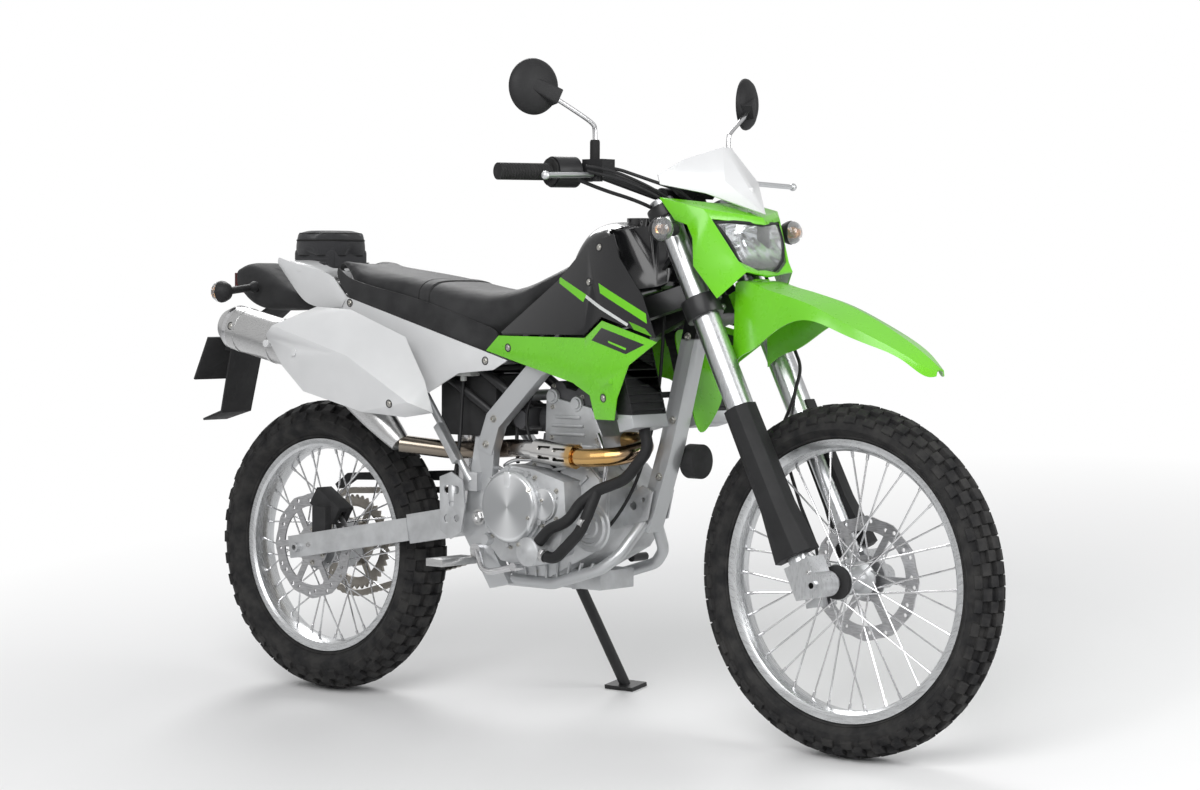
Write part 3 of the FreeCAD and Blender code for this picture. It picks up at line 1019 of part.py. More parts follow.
def engine():
    c = Block(q.case_x, q.case_z, q.case_long, q.case_half_wide, q.case_high)
    outline = [(0.12, 0.90), (0.35, 1.0), (0.85, 0.98), (1.0, 0.80), (0.99, 0.45), (0.88, 0.25), (0.52,
               0.0),
               (0.20, 0.0), (0.13, 0.16), (0.11, 0.40)]
    cases = [plate("right_case", c.outline(outline), q.case_half_wide, (0, -q.case_half_wide / 2, 0)),
             plate("left_case", c.outline(outline), q.left_case_half_wide, (0, q.left_case_half_wide / 2,
                   0))]
    front = [(0.42, 1.0), (0.85, 0.98), (1.0, 0.80), (0.99, 0.45), (0.88, 0.25), (0.52, 0.0), (0.42, 0.0)]
    cases.append(plate("front_case", c.outline(front), q.case_half_wide, (0, q.case_half_wide / 2, 0)))
    cover_outline = [(0.09, 0.50), (0.14, 0.85), (0.30, 0.98), (0.52, 0.95), (0.78, 0.86), (0.80, 0.52),
                     (0.72, 0.22), (0.48, 0.10), (0.24, 0.14), (0.13, 0.28)]
    cover_thick = q.cover_place - q.case_half_wide
    cases.append(plate("right_cover", c.outline(cover_outline), cover_thick,
                       (0, -q.case_half_wide - cover_thick / 2, 0)))

    def round_cover(name, x, z, radius, base, top, side):
        made = doc.addObject("Part::Cylinder", name)
        bind(made, Radius=radius, Height=top - base)
        return put(made, (x, base * side, z), FreeCAD.Rotation(X_AXIS, -90 * side))

    base, top, wide = q.case_half_wide, q.clutch_place, q.clutch_radius
    cases.append(turned("clutch_cover", [
        (0, -base), (wide + q.flange_lip, -base), (wide + q.flange_lip, -q.cover_place - q.cover_step),
        (wide, -q.cover_place - q.cover_step), (wide, -top + q.cover_step), (wide - q.cover_step, -top),
        (wide * 0.62, -top), (wide * 0.58, -top + q.cover_step / 2), (0, -top + q.cover_step / 2)],
        (q.clutch_x, 0, q.clutch_z)))
    for i in range(COVER_BOLTS):
        turn = 2 * math.pi * (i + 0.5) / COVER_BOLTS
        away = wide + q.flange_lip
        cases.append(round_cover(f"clutch_boss_{i}", q.clutch_x + away * math.cos(turn),
                                 q.clutch_z + away * math.sin(turn), q.cover_boss_radius, base,
                                 q.cover_place + q.cover_step * 1.4, -1))
    for i in range(3):
        turn = 2 * math.pi * (i + 0.25) / 3
        cases.append(round_cover(f"pump_boss_{i}", q.pump_x + q.pump_radius * math.cos(turn),
                                 q.pump_z + q.pump_radius * math.sin(turn), q.cover_boss_radius, base,
                                 q.cover_place
                                 + q.cover_step * 0.6, -1))
        cases.append(round_cover(f"generator_boss_{i}", q.generator_x + q.generator_radius * math.cos(turn),
                                 q.clutch_z - q.pipe_radius + q.generator_radius * math.sin(turn),
                                 q.cover_boss_radius * 1.4, q.left_case_half_wide,
                                 q.generator_place - q.cover_step * 2, 1))
    lip = [(a + (a - 0.5) * plain(q.flange_lip / q.case_long) * 2, b) for a, b in outline]
    for name, place in (("right_joint", -q.case_half_wide + q.flange_thick), ("left_joint",
                        q.flange_thick)):
        cases.append(plate(name, c.outline(lip), q.flange_thick, (0, place, 0)))
    cases.append(round_cover("pump_cover", q.pump_x, q.pump_z, q.pump_radius, q.case_half_wide,
                             q.pump_place, -1))
    cases.append(round_cover("water_pump", q.water_pump_x, q.water_pump_z, q.water_pump_radius,
                             q.case_half_wide,
                             q.water_pump_place, -1))
    cases.append(round_cover("generator_cover", q.generator_x, q.clutch_z - q.pipe_radius,
                             q.generator_radius,
                             q.left_case_half_wide, q.generator_place, 1))
    sump = doc.addObject("Part::Box", "sump")
    put(bind(sump, Length=q.sump_long, Width=q.sump_wide, Height=q.sump_high), (q.sump_x, -q.sump_wide / 2,
        q.sump_z))
    node("engine_cases", "chassis", fused("engine_cases_joined", *cases, sump))
    barrel = doc.addObject("Part::Box", "barrel")
    put(bind(barrel, Length=q.barrel_long, Width=q.barrel_wide, Height=q.barrel_high + q.fit_gap),
        (q.barrel_x - q.barrel_long / 2, -q.barrel_wide / 2, q.barrel_z))
    head = plate("cylinder_head", [
        (q.head_x - q.head_long / 2, q.head_z), (q.head_x + q.head_long * 0.42, q.head_z),
        (q.head_x + q.head_long / 2, q.head_z + q.head_high * 0.25),
        (q.head_x + q.head_long * 0.30, q.head_z + q.head_high * 0.8),
        (q.head_x - q.head_long * 0.48, q.head_z + q.head_high)], q.head_wide)
    cover = plate("head_cover", [
        (q.head_x - q.head_long * 0.48, q.head_z + q.head_high),
        (q.head_x + q.head_long * 0.30, q.head_z + q.head_high * 0.8),
        (q.head_x + q.head_long * 0.24, q.head_z + q.head_high * 0.8 + q.cover_high * 0.8),
        (q.head_x - q.head_long * 0.42, q.head_z + q.head_high + q.cover_high * 0.8)], q.head_wide * 0.92)
    node("engine_top", "chassis", fused("engine_top_joined", barrel, head))
    crown_z = q.head_z + q.head_high * 0.9 + q.cover_high * 0.5
    cams = []
    for i, side in enumerate((-1, 1)):
        bulge = doc.addObject("Part::Cylinder", f"cam_cover_{i}")
        bind(bulge, Radius=q.cam_radius, Height=q.head_wide * 0.92)
        cams.append(put(bulge, (q.head_x - q.head_long * 0.09 + q.cam_spread / 2 * side, q.head_wide * 0.46,
                                crown_z + q.cam_radius * (0.1 - 0.28 * side)), TO_Z))
    node("head_cover", "chassis", carved("head_cover_fitted", fused("head_cover_joined", cover, *cams),
                                         head))


engine()


def pipe_shield(front, rear):
    """A slotted half tube on two bands, that keeps a leg off the hot pipe."""
    start, end = front + (rear - front) * SHIELD_SHARES[0], front + (rear - front) * SHIELD_SHARES[1]
    inner = plain(q.pipe_radius + q.guard_gap)
    outer = inner + plain(q.guard_skin)
    run = end - start
    half = Part.makeCylinder(outer, run.Length, start, run).cut(Part.makeCylinder(inner, run.Length, start,
                                                                run))
    room = plain(q.pipe_bend) * 4
    half = half.cut(Part.makeBox(room, room / 2, room, V(end.x - room / 3, start.y + inner * 0.1,
                                                         end.z - room / 2)))
    bands = [Part.makeCylinder(outer, plain(q.slot_high), start + run * share, run) for share in (0.02,
             0.90)]
    slots = []
    for share in (0.14, 0.52):
        for lift in (-1, 1):
            slot = Part.makeBox(run.Length * 0.30, outer, plain(q.slot_high), V(0, 0, 0))
            slot.translate(start + run * (share + 0.30) + V(0, -outer * 1.3, lift * inner * 0.42
                                                            - plain(q.slot_high) / 2))
            slots.append(slot)
    return one([half.cut(Part.makeCompound(slots))] + bands)


SHIELD_SHARES = (0.16, 0.84)


def exhaust():
    e = Block(q.exhaust_x, q.exhaust_z, q.exhaust_long, q.exhaust_wide, q.exhaust_high)
    head_front = plain(q.head_x + q.head_long / 2 + q.fit_gap)
    start = V(head_front, 0, plain(q.head_z + q.head_high * 0.16))
    run = [start, e.at(0.98, 0, 0.78), e.at(1.06, -0.30, 0.58), e.at(1.03, -0.62, 0.30), e.at(0.92, -0.76,
           0.18),
           e.at(0.66, -0.70, 0.40), e.at(0.53, -0.42, 0.34), e.at(0.40, -0.40, 0.20), e.at(0.25, -0.44,
               0.10),
           point(q.cone_x - q.cone_wide, -q.cone_y, q.cone_z - q.cone_wide)]
    header = one([tube(run, q.pipe_radius, q.pipe_bend), pipe_shield(run[4], run[5])])
    node("exhaust_pipe", "chassis", feature("header", header))
    slope = math.radians(plain(q.muffler_slope))
    back = point(q.muffler_x, -q.muffler_y, q.muffler_z)
    along = V(math.cos(slope), 0, -math.sin(slope))
    nose = back + along * plain(q.muffler_long)
    can = Part.makeCylinder(plain(q.muffler_radius), plain(q.muffler_long), back, along)
    collar = point(q.cone_x - q.cone_wide, -q.cone_y, q.cone_z - q.cone_wide)
    into = V(collar - nose).normalize()
    wires = [ring(plain(q.muffler_radius), nose, along),
             ring(plain(q.muffler_radius) * 0.86, nose + (collar - nose) * 0.42, V(along + into)),
             ring(plain(q.pipe_radius + q.skin_thick), collar - into * plain(q.fit_gap), into)]
    cone = Part.makeLoft(wires, True, False)
    tail = Part.makeCone(plain(q.muffler_radius), plain(q.muffler_cap_radius), plain(q.muffler_cap_long),
                         back, -along)
    tip = Part.makeCylinder(plain(q.muffler_tip_radius), plain(q.muffler_cap_long) * 1.3, back, -along)
    hole = Part.makeCylinder(plain(q.muffler_tip_radius - q.muffler_tip_wall),
                             plain(q.muffler_cap_long) * 2,
                             back - along * plain(q.muffler_tip_wall), -along)
    whole = one([can, cone, tail, tip]).cut(hole)
    room = tube(run, q.pipe_radius + q.fit_gap, q.pipe_bend)
    node("muffler", "chassis", feature("muffler_body", whole.cut(room)))
    block = Block(q.shield_x, q.shield_z, q.shield_long, q.shield_wide, q.shield_high)
    corners = {"A": (0.01, -0.985, 0.74), "B": (0.20, -0.70, 0.97), "C": (0.42, -0.70, 0.95), "D": (0.77,
               -0.72, 0.75),
               "E": (0.90, -0.74, 0.42), "F": (0.98, -0.80, 0.18), "G": (0.84, -0.86, 0.14), "H": (0.60,
                   -0.93, 0.17),
               "I": (0.24, -0.95, 0.31), "J": (0.11, -0.96, 0.50), "P": (0.06, -1.0, 0.82), "Q": (0.54,
                   -1.0, 0.60),
               "R": (0.90, -0.96, 0.26)}
    faces = "JIQP IHQ HGRQ GFR APB PQCB QDC QRED RFE JPA"
    shield = shell_of(block, corners, faces, q.shield_thick)
    bosses = []
    for share in (0.55, 0.85):
        at = back + along * (plain(q.muffler_long) * share)
        at.y = -plain(q.muffler_y + q.muffler_radius + q.fit_gap)
        bosses.append(Part.makeCylinder(plain(q.boss_radius), plain(q.shield_wide - q.body_gap) + at.y, at,
                                        -Y_AXIS))
    node("muffler_cover", "chassis", feature("heat_cover", one([shield] + bosses)))


exhaust()


SLATS = 9
PUMP_NECK = math.radians(-10)
radiator_x = from_front(q.radiator_back)


def cooling():
    turn = FreeCAD.Rotation(Y_AXIS, -plain(q.radiator_slope))
    core = Part.makeBox(plain(q.radiator_thick), plain(q.radiator_wide), plain(q.radiator_high))
    core.translate(V(-plain(q.radiator_thick), -plain(q.radiator_wide), -plain(q.radiator_high)) / 2)
    low = Part.makeBox(plain(q.radiator_thick) * 1.2, plain(q.radiator_wide), plain(q.radiator_tank_high))
    low.translate(V(-plain(q.radiator_thick) * 0.6, -plain(q.radiator_wide) / 2,
                    -plain(q.radiator_high / 2 + q.radiator_tank_high)))
    top = low.copy()
    top.translate(V(0, 0, plain(q.radiator_high + q.radiator_tank_high)))
    place = FreeCAD.Placement(point(radiator_x, -q.radiator_y, q.radiator_z), turn)
    slats = []
    for i in range(SLATS):
        slat = Part.makeBox(plain(q.slat_deep), plain(q.radiator_wide), plain(q.slat_high))
        slat.translate(V(plain(q.radiator_thick) / 2 - plain(q.body_gap), -plain(q.radiator_wide) / 2,
                         plain(q.radiator_high) * ((i + 0.5) / SLATS - 0.5)))
        slats.append(slat)
    for side in (-1, 1):
        rib = Part.makeBox(plain(q.slat_deep), plain(q.slat_high), plain(q.radiator_high))
        rib.translate(V(plain(q.radiator_thick) / 2 - plain(q.body_gap),
                        side * plain(q.radiator_wide) * 0.48
                        - plain(q.slat_high) / 2, -plain(q.radiator_high) / 2))
        slats.append(rib)
    whole = moved(one([core, low, top] + slats), place)
    stay = cross(plain(radiator_x + q.radiator_stay_ahead), plain(q.radiator_z - q.radiator_high * 0.2),
                 q.cross_radius * 0.7,
                 plain(q.radiator_y - q.radiator_wide * 0.45))
    node("radiators", "chassis", feature("radiator_pair", one(both_sides(whole) + [stay])))
    place = point(from_front(q.horn_back), q.horn_y, q.horn_z)
    horn = Part.makeCylinder(plain(q.horn_radius), plain(q.horn_deep), place, X_AXIS)
    node("horn", "chassis", feature("horn_body", horn))
    outlet = moved(Part.Vertex(0, 0, -plain(q.radiator_high / 2 + q.radiator_tank_high + q.fit_gap)),
                   FreeCAD.Placement(point(radiator_x, -q.radiator_y, q.radiator_z), turn)).Point
    down = turn.multVec(-Z_AXIS)
    pump = point(q.water_pump_x, -q.hose_y, q.water_pump_z)
    rim = plain(q.water_pump_radius + q.fit_gap)
    high, low = V(math.sqrt(0.5), 0, math.sqrt(0.5)), V(math.cos(PUMP_NECK), 0, math.sin(PUMP_NECK))
    h = Block(q.water_pump_x, q.water_pump_z, radiator_x - q.water_pump_x, q.hose_y,
              q.radiator_z - q.water_pump_z)
    fork = h.at(0.68, -0.80, 0.37)
    upper = tube([outlet, outlet + down * (plain(q.hose_bend) * 0.6), h.at(0.97, -0.71, 0.44), fork,
                  h.at(0.53, -0.89, 0.29), h.at(0.44, -0.965, 0.19), pump + high * (rim * 2.3),
                  pump + high * rim],
                 q.hose_radius, q.hose_bend)
    lower = tube([fork, h.at(0.64, -0.90, 0.24), h.at(0.58, -0.96, 0.13), pump + low * (rim * 2.2),
                  pump + low * rim],
                 q.hose_radius, q.hose_bend)
    node("coolant_hoses", "chassis", feature("hoses", one([upper, lower])))


cooling()


def bodywork():
    b = Block(q.tank_x, q.tank_z, from_front(q.tank_x + q.tank_back), q.tank_wide, q.tank_high)
    tank = hull_body(b, [(0.005, 0.04, 0.235, 0.74), (0.17, 0.07, 0.385, 0.83), (0.37, 0.20, 0.575, 0.91),
                         (0.425, 0.23, 0.78, 0.93), (0.50, 0.27, 0.93, 0.96), (0.69, 0.375, 0.97, 1.0),
                         (0.86, 0.446, 0.96, 0.93), (1.0, 0.536, 0.893, 0.72)])
    cap = Part.makeCylinder(plain(q.cap_radius), plain(q.cap_high), point(b.at(0.72, 0, 0).x, 0, q.cap_z))
    s = Block(q.seat_x, q.seat_z, q.seat_long, q.seat_wide, q.seat_high)
    seat = hull_body(s, [(0.0, 0.67, 0.735, 0.44), (0.14, 0.50, 0.765, 0.80), (0.32, 0.345, 0.69, 0.94),
                         (0.50, 0.205, 0.60, 0.98), (0.66, 0.06, 0.545, 0.94), (0.78, 0.25, 0.59, 0.82),
                         (0.886, 0.49, 0.725, 0.68), (0.993, 0.77, 0.95, 0.46)], 3.4)
    node("seat", "chassis", feature("seat_cushion", seat))
    sunk = seat.copy()
    sunk.translate(V(0, 0, -plain(q.body_gap)))
    sweep = moved(fork_sweep(), STEER)
    tank = one([tank, cap]).cut(sweep).cut(sunk).cut(seat)
    pad = Part.makeBox(plain(q.pad_long), plain(q.spar_thick) * 0.7, plain(q.pad_high), b.at(q.pad_share,
                       0.34, 0))
    tank = seated(one([tank] + both_sides(pad)), FRAME)
    node("fuel_tank", "chassis", feature("tank_body", tank))

    block = Block(q.shroud_x, q.shroud_z, from_front(q.shroud_x + q.shroud_back), q.shroud_wide,
                  q.shroud_high)
    lower = {"A": (0.005, -0.64, 0.36), "B": (0.08, -0.66, 0.44), "C": (0.58, -0.80, 0.44), "D": (0.68,
             -0.84, 0.53),
             "E": (0.98, -0.93, 0.43), "F": (0.84, -0.93, 0.31), "G": (0.78, -0.92, 0.14), "H": (0.755,
                 -0.88, 0.03),
             "I": (0.655, -0.86, 0.03), "J": (0.62, -0.84, 0.15), "K": (0.52, -0.80, 0.21), "L": (0.16,
                 -0.66, 0.31),
             "M": (0.60, -0.86, 0.36)}
    faces = "ALB LKMCB KJM JIHG JGFM MFED MDC"
    low = shell_of(block, lower, faces, q.skin_thick)
    peg = bar(point(radiator_x, -q.radiator_y - q.radiator_wide / 2 - q.fit_gap, q.radiator_z),
              point(radiator_x, -q.shroud_wide * 0.905, q.radiator_z), q.peg_radius)
    low = one([low, peg])
    node("lower_shrouds", "chassis", *[feature(f"lower_shroud_{i}", x) for i,
                                       x in enumerate(both_sides(low))])
    upper = {"A": (0.095, -0.665, 0.458), "B": (0.575, -0.80, 0.456), "C": (0.675, -0.84, 0.55),
             "D": (0.975, -0.93, 0.45), "E": (0.88, -0.84, 0.66), "F": (0.74, -0.76, 0.85), "G": (0.69,
                 -0.70, 0.97),
             "H": (0.55, -0.665, 0.92), "I": (0.39, -0.65, 0.73), "J": (0.24, -0.645, 0.58)}
    faces = "ABIJ BCHI CFGH CEF CDE"
    high = shell_of(block, upper, faces, q.skin_thick)
    peg = bar(block.at(0.60, -0.4, 0.72), block.at(0.60, -0.755, 0.72), q.peg_radius)
    high = one([high, seated(peg, tank)])
    node("upper_shrouds", "chassis", *[feature(f"upper_shroud_{i}", x) for i,
                                       x in enumerate(both_sides(high))])

    block = Block(q.cover_x, q.cover_z, q.cover_long, q.cover_wide, q.cover_tall)
    side = {"A": (0.165, -0.92, 0.86), "B": (0.235, -0.96, 0.71), "C": (0.80, -0.98, 0.355), "D": (0.92,
            -1.0, 0.28),
            "E": (0.86, -0.98, 0.21), "F": (0.72, -0.98, 0.18), "G": (0.57, -0.95, 0.01), "H": (0.09,
                -0.88, 0.60)}
    cover = shell_of(block, side, "BAH GBH CBG FCG ECF DCE", q.skin_thick)
    peg_x, peg_z = block.side(0.60, 0.35)
    peg = bar(point(peg_x, -q.seat_wide * 0.36, peg_z), point(peg_x, -q.cover_wide * 0.965, peg_z),
              q.peg_radius)
    cover = one([cover, seated(peg, RAILS)])
    node("side_covers", "chassis", *[feature(f"side_cover_{i}", x) for i,
                                     x in enumerate(both_sides(cover))])

    t = Block(rail_end - q.tail_back, q.tail_z, q.tail_long, q.tail_wide, q.tail_high)
    tail = hull_body(t, [(0.0, 0.62, 0.78, 0.50), (0.18, 0.30, 0.76, 0.84), (0.42, 0.28, 0.70, 0.94),
                         (0.582, 0.36, 0.50, 0.80)], 3.4)
    node("tail_fairing", "chassis", feature("tail_shell", tail))

    r = Block(rail_end - q.fender_long + q.fender_lap, q.fender_z, q.fender_long, q.fender_wide,
              q.fender_high)
    body = hull_body(r, [(0.02, 0.55, 0.90, 0.62), (0.20, 0.24, 0.98, 0.78), (0.55, 0.16, 0.66, 0.90),
                         (0.98, 0.12, 0.40, 0.96)], 4.0)
    node("rear_fender", "chassis", feature("rear_fender_body", body))
    p = Block(r.x - q.flap_back, q.flap_z, q.flap_long, q.flap_wide, q.flap_high)
    strap = {"A": (0.93, -0.36, 1.04), "B": (0.50, -0.46, 0.82), "C": (0.32, -0.42, 0.21), "D": (0.05,
             -0.34, 0.14)}
    shell = shell_of(p, strap, "AabB BbcC CcdD", q.flap_thick)
    plate_board = Part.makeBox(plain(q.flap_thick), plain(q.plate_board_wide), plain(q.plate_board_high))
    plate_board.translate(V(0, -plain(q.plate_board_wide) / 2, 0))
    board_x = p.x + q.plate_board_ahead
    tilt = FreeCAD.Placement(point(board_x, 0, q.plate_board_z), FreeCAD.Rotation(Y_AXIS,
                             plain(q.plate_board_slope)))
    stay = Part.makeBox(plain(q.flap_wide) * 0.55, plain(q.flap_wide) * 0.5, plain(q.flap_thick) * 1.6)
    stay.translate(point(board_x + q.plate_board_high * 0.25, -q.flap_wide * 0.25,
                         q.plate_board_z + q.plate_board_high * 0.6))
    flap = seated(one([shell, moved(plate_board, tilt), stay]), body)
    node("plate_holder", "chassis", feature("flap", flap))
    lamp = Part.makeBox(plain(q.lamp_deep), plain(q.lamp_wide), plain(q.lamp_high))
    lamp.translate(point(r.x - q.lamp_deep + q.fender_long * 0.02, -q.lamp_wide / 2,
                         q.lamp_z - q.lamp_high / 2))
    node("tail_lamp", "chassis", feature("tail_lamp_block", lamp.cut(body)))
    at = point(r.x + q.rear_blinker_ahead, q.rear_blinker_y, q.rear_blinker_z)
    ball = Part.makeSphere(plain(q.blinker_radius), at)
    stem = bar(V(at.x, plain(q.fender_wide) * 0.40, at.z), at, q.blinker_stem_radius)
    blinkers = [seated(shape, body) for shape in both_sides(one([ball, stem]))]
    node("rear_indicators", "chassis", *[feature(f"rear_blinker_{i}", b) for i, b in enumerate(blinkers)])
    bag = Part.makeLoft([
        squircle(point(rail_end - q.bag_back, 0, q.tail_z + q.tail_high * z), X_AXIS, Y_AXIS,
                 plain(q.bag_long) / 2 * k,
                 plain(q.bag_wide) / 2 * k, 3.4) for z, k in ((0.7835, 0.95), (0.95, 1.0), (1.2, 0.98),
                                                              (1.40, 0.93))],
        True, False)
    node("tool_bag", "chassis", feature("bag_body", bag))
    box = Part.makeBox(plain(q.airbox_long), plain(q.airbox_wide), plain(q.airbox_high),
                       point(q.airbox_x, -q.airbox_wide / 2, q.airbox_z))
    intake = bar(point(q.airbox_x + q.airbox_long, 0, q.intake_z),
                 point(q.head_x - q.head_long * 0.4935 - q.fit_gap, 0, q.intake_z), q.intake_radius)
    node("airbox", "chassis", feature("airbox_body", one([box, intake])))
    base = point(q.shock_x, 0, q.shock_z)
    spring = Part.makeCylinder(plain(q.shock_radius), plain(q.shock_long), base)
    rod = Part.makeCylinder(plain(q.shock_rod_radius), plain(q.shock_rod_radius) * 2, base, -Z_AXIS)
    node("shock", "chassis", feature("shock_spring", one([spring, rod])))


def fork_sweep():
    """The room that the fork tubes and clamps swing through, about the steering axis."""
    low, high = plain(q.fork_tube_end), plain(q.fork_top + q.running_gap)
    reach = math.hypot(plain(q.fork_offset),
                       plain(q.fork_spread)) + plain(q.fork_tube_radius + q.clamp_wall)
    reach += plain(q.running_gap) * 1.5
    ring_room = Part.makeCylinder(reach, high - low, V(0, 0, low), Z_AXIS)
    wedge_half = math.radians(180 - NOSE_HALF_ANGLE)
    far = reach * 2
    a = V(0, 0, low)
    b = V(far * math.cos(wedge_half), far * math.sin(wedge_half), low)
    c = V(b.x, -b.y, low)
    wedge = Part.Face(Part.makePolygon([a, b, c, a])).extrude(V(0, 0, high - low))
    core = Part.makeCylinder(plain(q.head_radius + q.running_gap * 2), high - low, V(0, 0, low), Z_AXIS)
    risers = math.hypot(plain(q.bar_setback),
                        plain(q.bar_clamp_spread)) + plain(q.bar_clamp_radius + q.running_gap)
    foot = plain(q.upper_clamp + q.upper_clamp_high - q.running_gap)
    above = Part.makeCylinder(risers, high - foot + plain(q.riser_high + q.bar_clamp_radius), V(0, 0,
                              foot), Z_AXIS)
    return ring_room.cut(wedge).fuse(core).fuse(above)


NOSE_HALF_ANGLE = 40
bodywork()


def drive():
    """Chain over both sprockets, its guards, brake calipers, foot controls and lamps."""
    x, z = plain(q.drive_x), plain(q.drive_z)
    y = plain(q.sprocket_place)
    small, big = plain(q.drive_sprocket_radius), plain(q.sprocket_radius)
    rear_z = plain(q.rear_tyre_radius)
    run = math.hypot(x, z - rear_z)
    tilt = math.atan2(z - rear_z, x)
    flare = math.asin((big - small) / run)
    half = plain(q.chain_plate_high) / 2

    def loop(grow):
        points = []
        for sign in (1, -1):
            angle = tilt + sign * (math.pi / 2 - flare)
            direction = V(math.cos(angle), 0, math.sin(angle))
            points.append((V(0, 0, rear_z) + direction * (big + grow), V(x, 0,
                           z) + direction * (small + grow)))
        (top_back, top_front), (low_back, low_front) = points
        front = V(x, 0, z) + V(math.cos(tilt), 0, math.sin(tilt)) * (small + grow)
        back = V(0, 0, rear_z) - V(math.cos(tilt), 0, math.sin(tilt)) * (big + grow)
        return Part.Wire([Part.LineSegment(top_back, top_front).toShape(),
                          Part.Arc(top_front, front, low_front).toShape(),
                          Part.LineSegment(low_front, low_back).toShape(),
                          Part.Arc(low_back, back, top_back).toShape()])

    clear = plain(q.tooth_radius + q.chain_gap)
    pins = loop(clear + half)
    links = round(pins.Length / plain(q.chain_pitch))
    path = pins.discretize(Number=2 * links + 1)[:-1]
    outer, inner = [], []
    for i, here in enumerate(path):
        along = V(path[(i + 1) % len(path)] - path[i - 1]).normalize()
        away = V(-along.z, 0, along.x)
        if away.dot(here - V(x / 2, 0, (z + rear_z) / 2)) < 0:
            away = -away
        outer.append(here + away * (half - (i % 2) * plain(q.chain_waist)))
        if i % 4 == 0:
            inner.append(here - away * half)
    outer, inner = (Part.Face(Part.makePolygon(edge + edge[:1])) for edge in (outer, inner))
    band = outer.cut(inner).extrude(V(0, plain(q.chain_width), 0))
    band.translate(V(0, y - plain(q.chain_width) / 2, 0))
    drive_wheel = Part.makeCylinder(small + clear, plain(q.sprocket_thick), V(x,
                                    y - plain(q.sprocket_thick) / 2, z),
                                    Y_AXIS)
    shaft = Part.makeCylinder(plain(q.rear_axle_radius), y - plain(q.left_case_half_wide + q.fit_gap),
                              V(x, plain(q.left_case_half_wide + q.fit_gap), z), Y_AXIS)
    node("chain", "chassis", feature("chain_band", one([band, drive_wheel, shaft])))
    g = Block(q.guard_x, q.guard_z, q.guard_long, q.chain_width, q.guard_tall)
    guard = plate("chain_guard", g.outline([(0.0, 0.55), (0.10, 0.80), (0.95, 1.0), (1.0, 0.90), (0.98,
                                            0.80),
                                            (0.12, 0.66), (0.02, 0.45)]), q.guard_across,
                  (0, q.sprocket_place + q.chain_width * 0.3, 0))
    lug = plate("chain_guard_foot", g.outline([(0.50, 0.72), (0.50, -0.10), (0.62, -0.085), (0.62, 0.75)]),
                q.skin_thick * 2, (0, q.arm_spread - q.arm_thick / 2 + q.skin_thick, 0))
    node("chain_guards", "chassis", fused("chain_guard_on_foot", guard, lug))
    brakes(g)
    feet()


def caliper_shape(long, wide, high, slot):
    body = Part.makeBox(long, wide, high, V(-long / 2, -wide / 2, 0))
    gap = Part.makeBox(long * 2, slot, high, V(-long, -slot / 2, -high * 0.25))
    return body.cut(gap)


def brakes(g):
    slot = plain(q.disc_thick + q.running_gap * 2)
    front = caliper_shape(plain(q.caliper_long), plain(q.caliper_wide), plain(q.caliper_high), slot)
    reach = plain(q.front_disc_radius - q.disc_band)
    turn = FreeCAD.Placement(V(plain(ahead), plain(q.front_disc_place), 0),
                             FreeCAD.Rotation(Y_AXIS, -CALIPER_TURN))
    lift = FreeCAD.Placement(V(0, 0, reach), FreeCAD.Rotation())
    node("front_caliper", "steering", feature("front_caliper_body", moved(front,
                                              STEER.multiply(turn).multiply(lift))))
    rear = caliper_shape(plain(q.caliper_long), plain(q.caliper_wide), plain(q.caliper_high), slot)
    turn = FreeCAD.Placement(V(0, -plain(q.rear_disc_place), plain(q.rear_tyre_radius)),
                             FreeCAD.Rotation(Y_AXIS, REAR_CALIPER_TURN))
    lift = FreeCAD.Placement(V(0, 0, plain(q.rear_disc_radius - q.disc_band)), FreeCAD.Rotation())
    body = moved(rear, turn.multiply(lift))
    box = body.BoundBox
    plate_wide = plain(q.arm_thick) * 0.8
    carrier = Part.makeBox(plain(q.caliper_long) * 0.5, plate_wide,
                           box.Center.z - plain(q.rear_tyre_radius),
                           V(box.Center.x - plain(q.caliper_long) * 0.25,
                             -plain(q.arm_spread) - plate_wide * 0.3,
                             plain(q.rear_tyre_radius)))
    arm = ARM.copy()
    arm.translate(V(0, 0, plain(q.fit_gap)))
    node("rear_caliper", "chassis", feature("rear_caliper_body", one([body, carrier.cut(arm).Solids[-1]])))


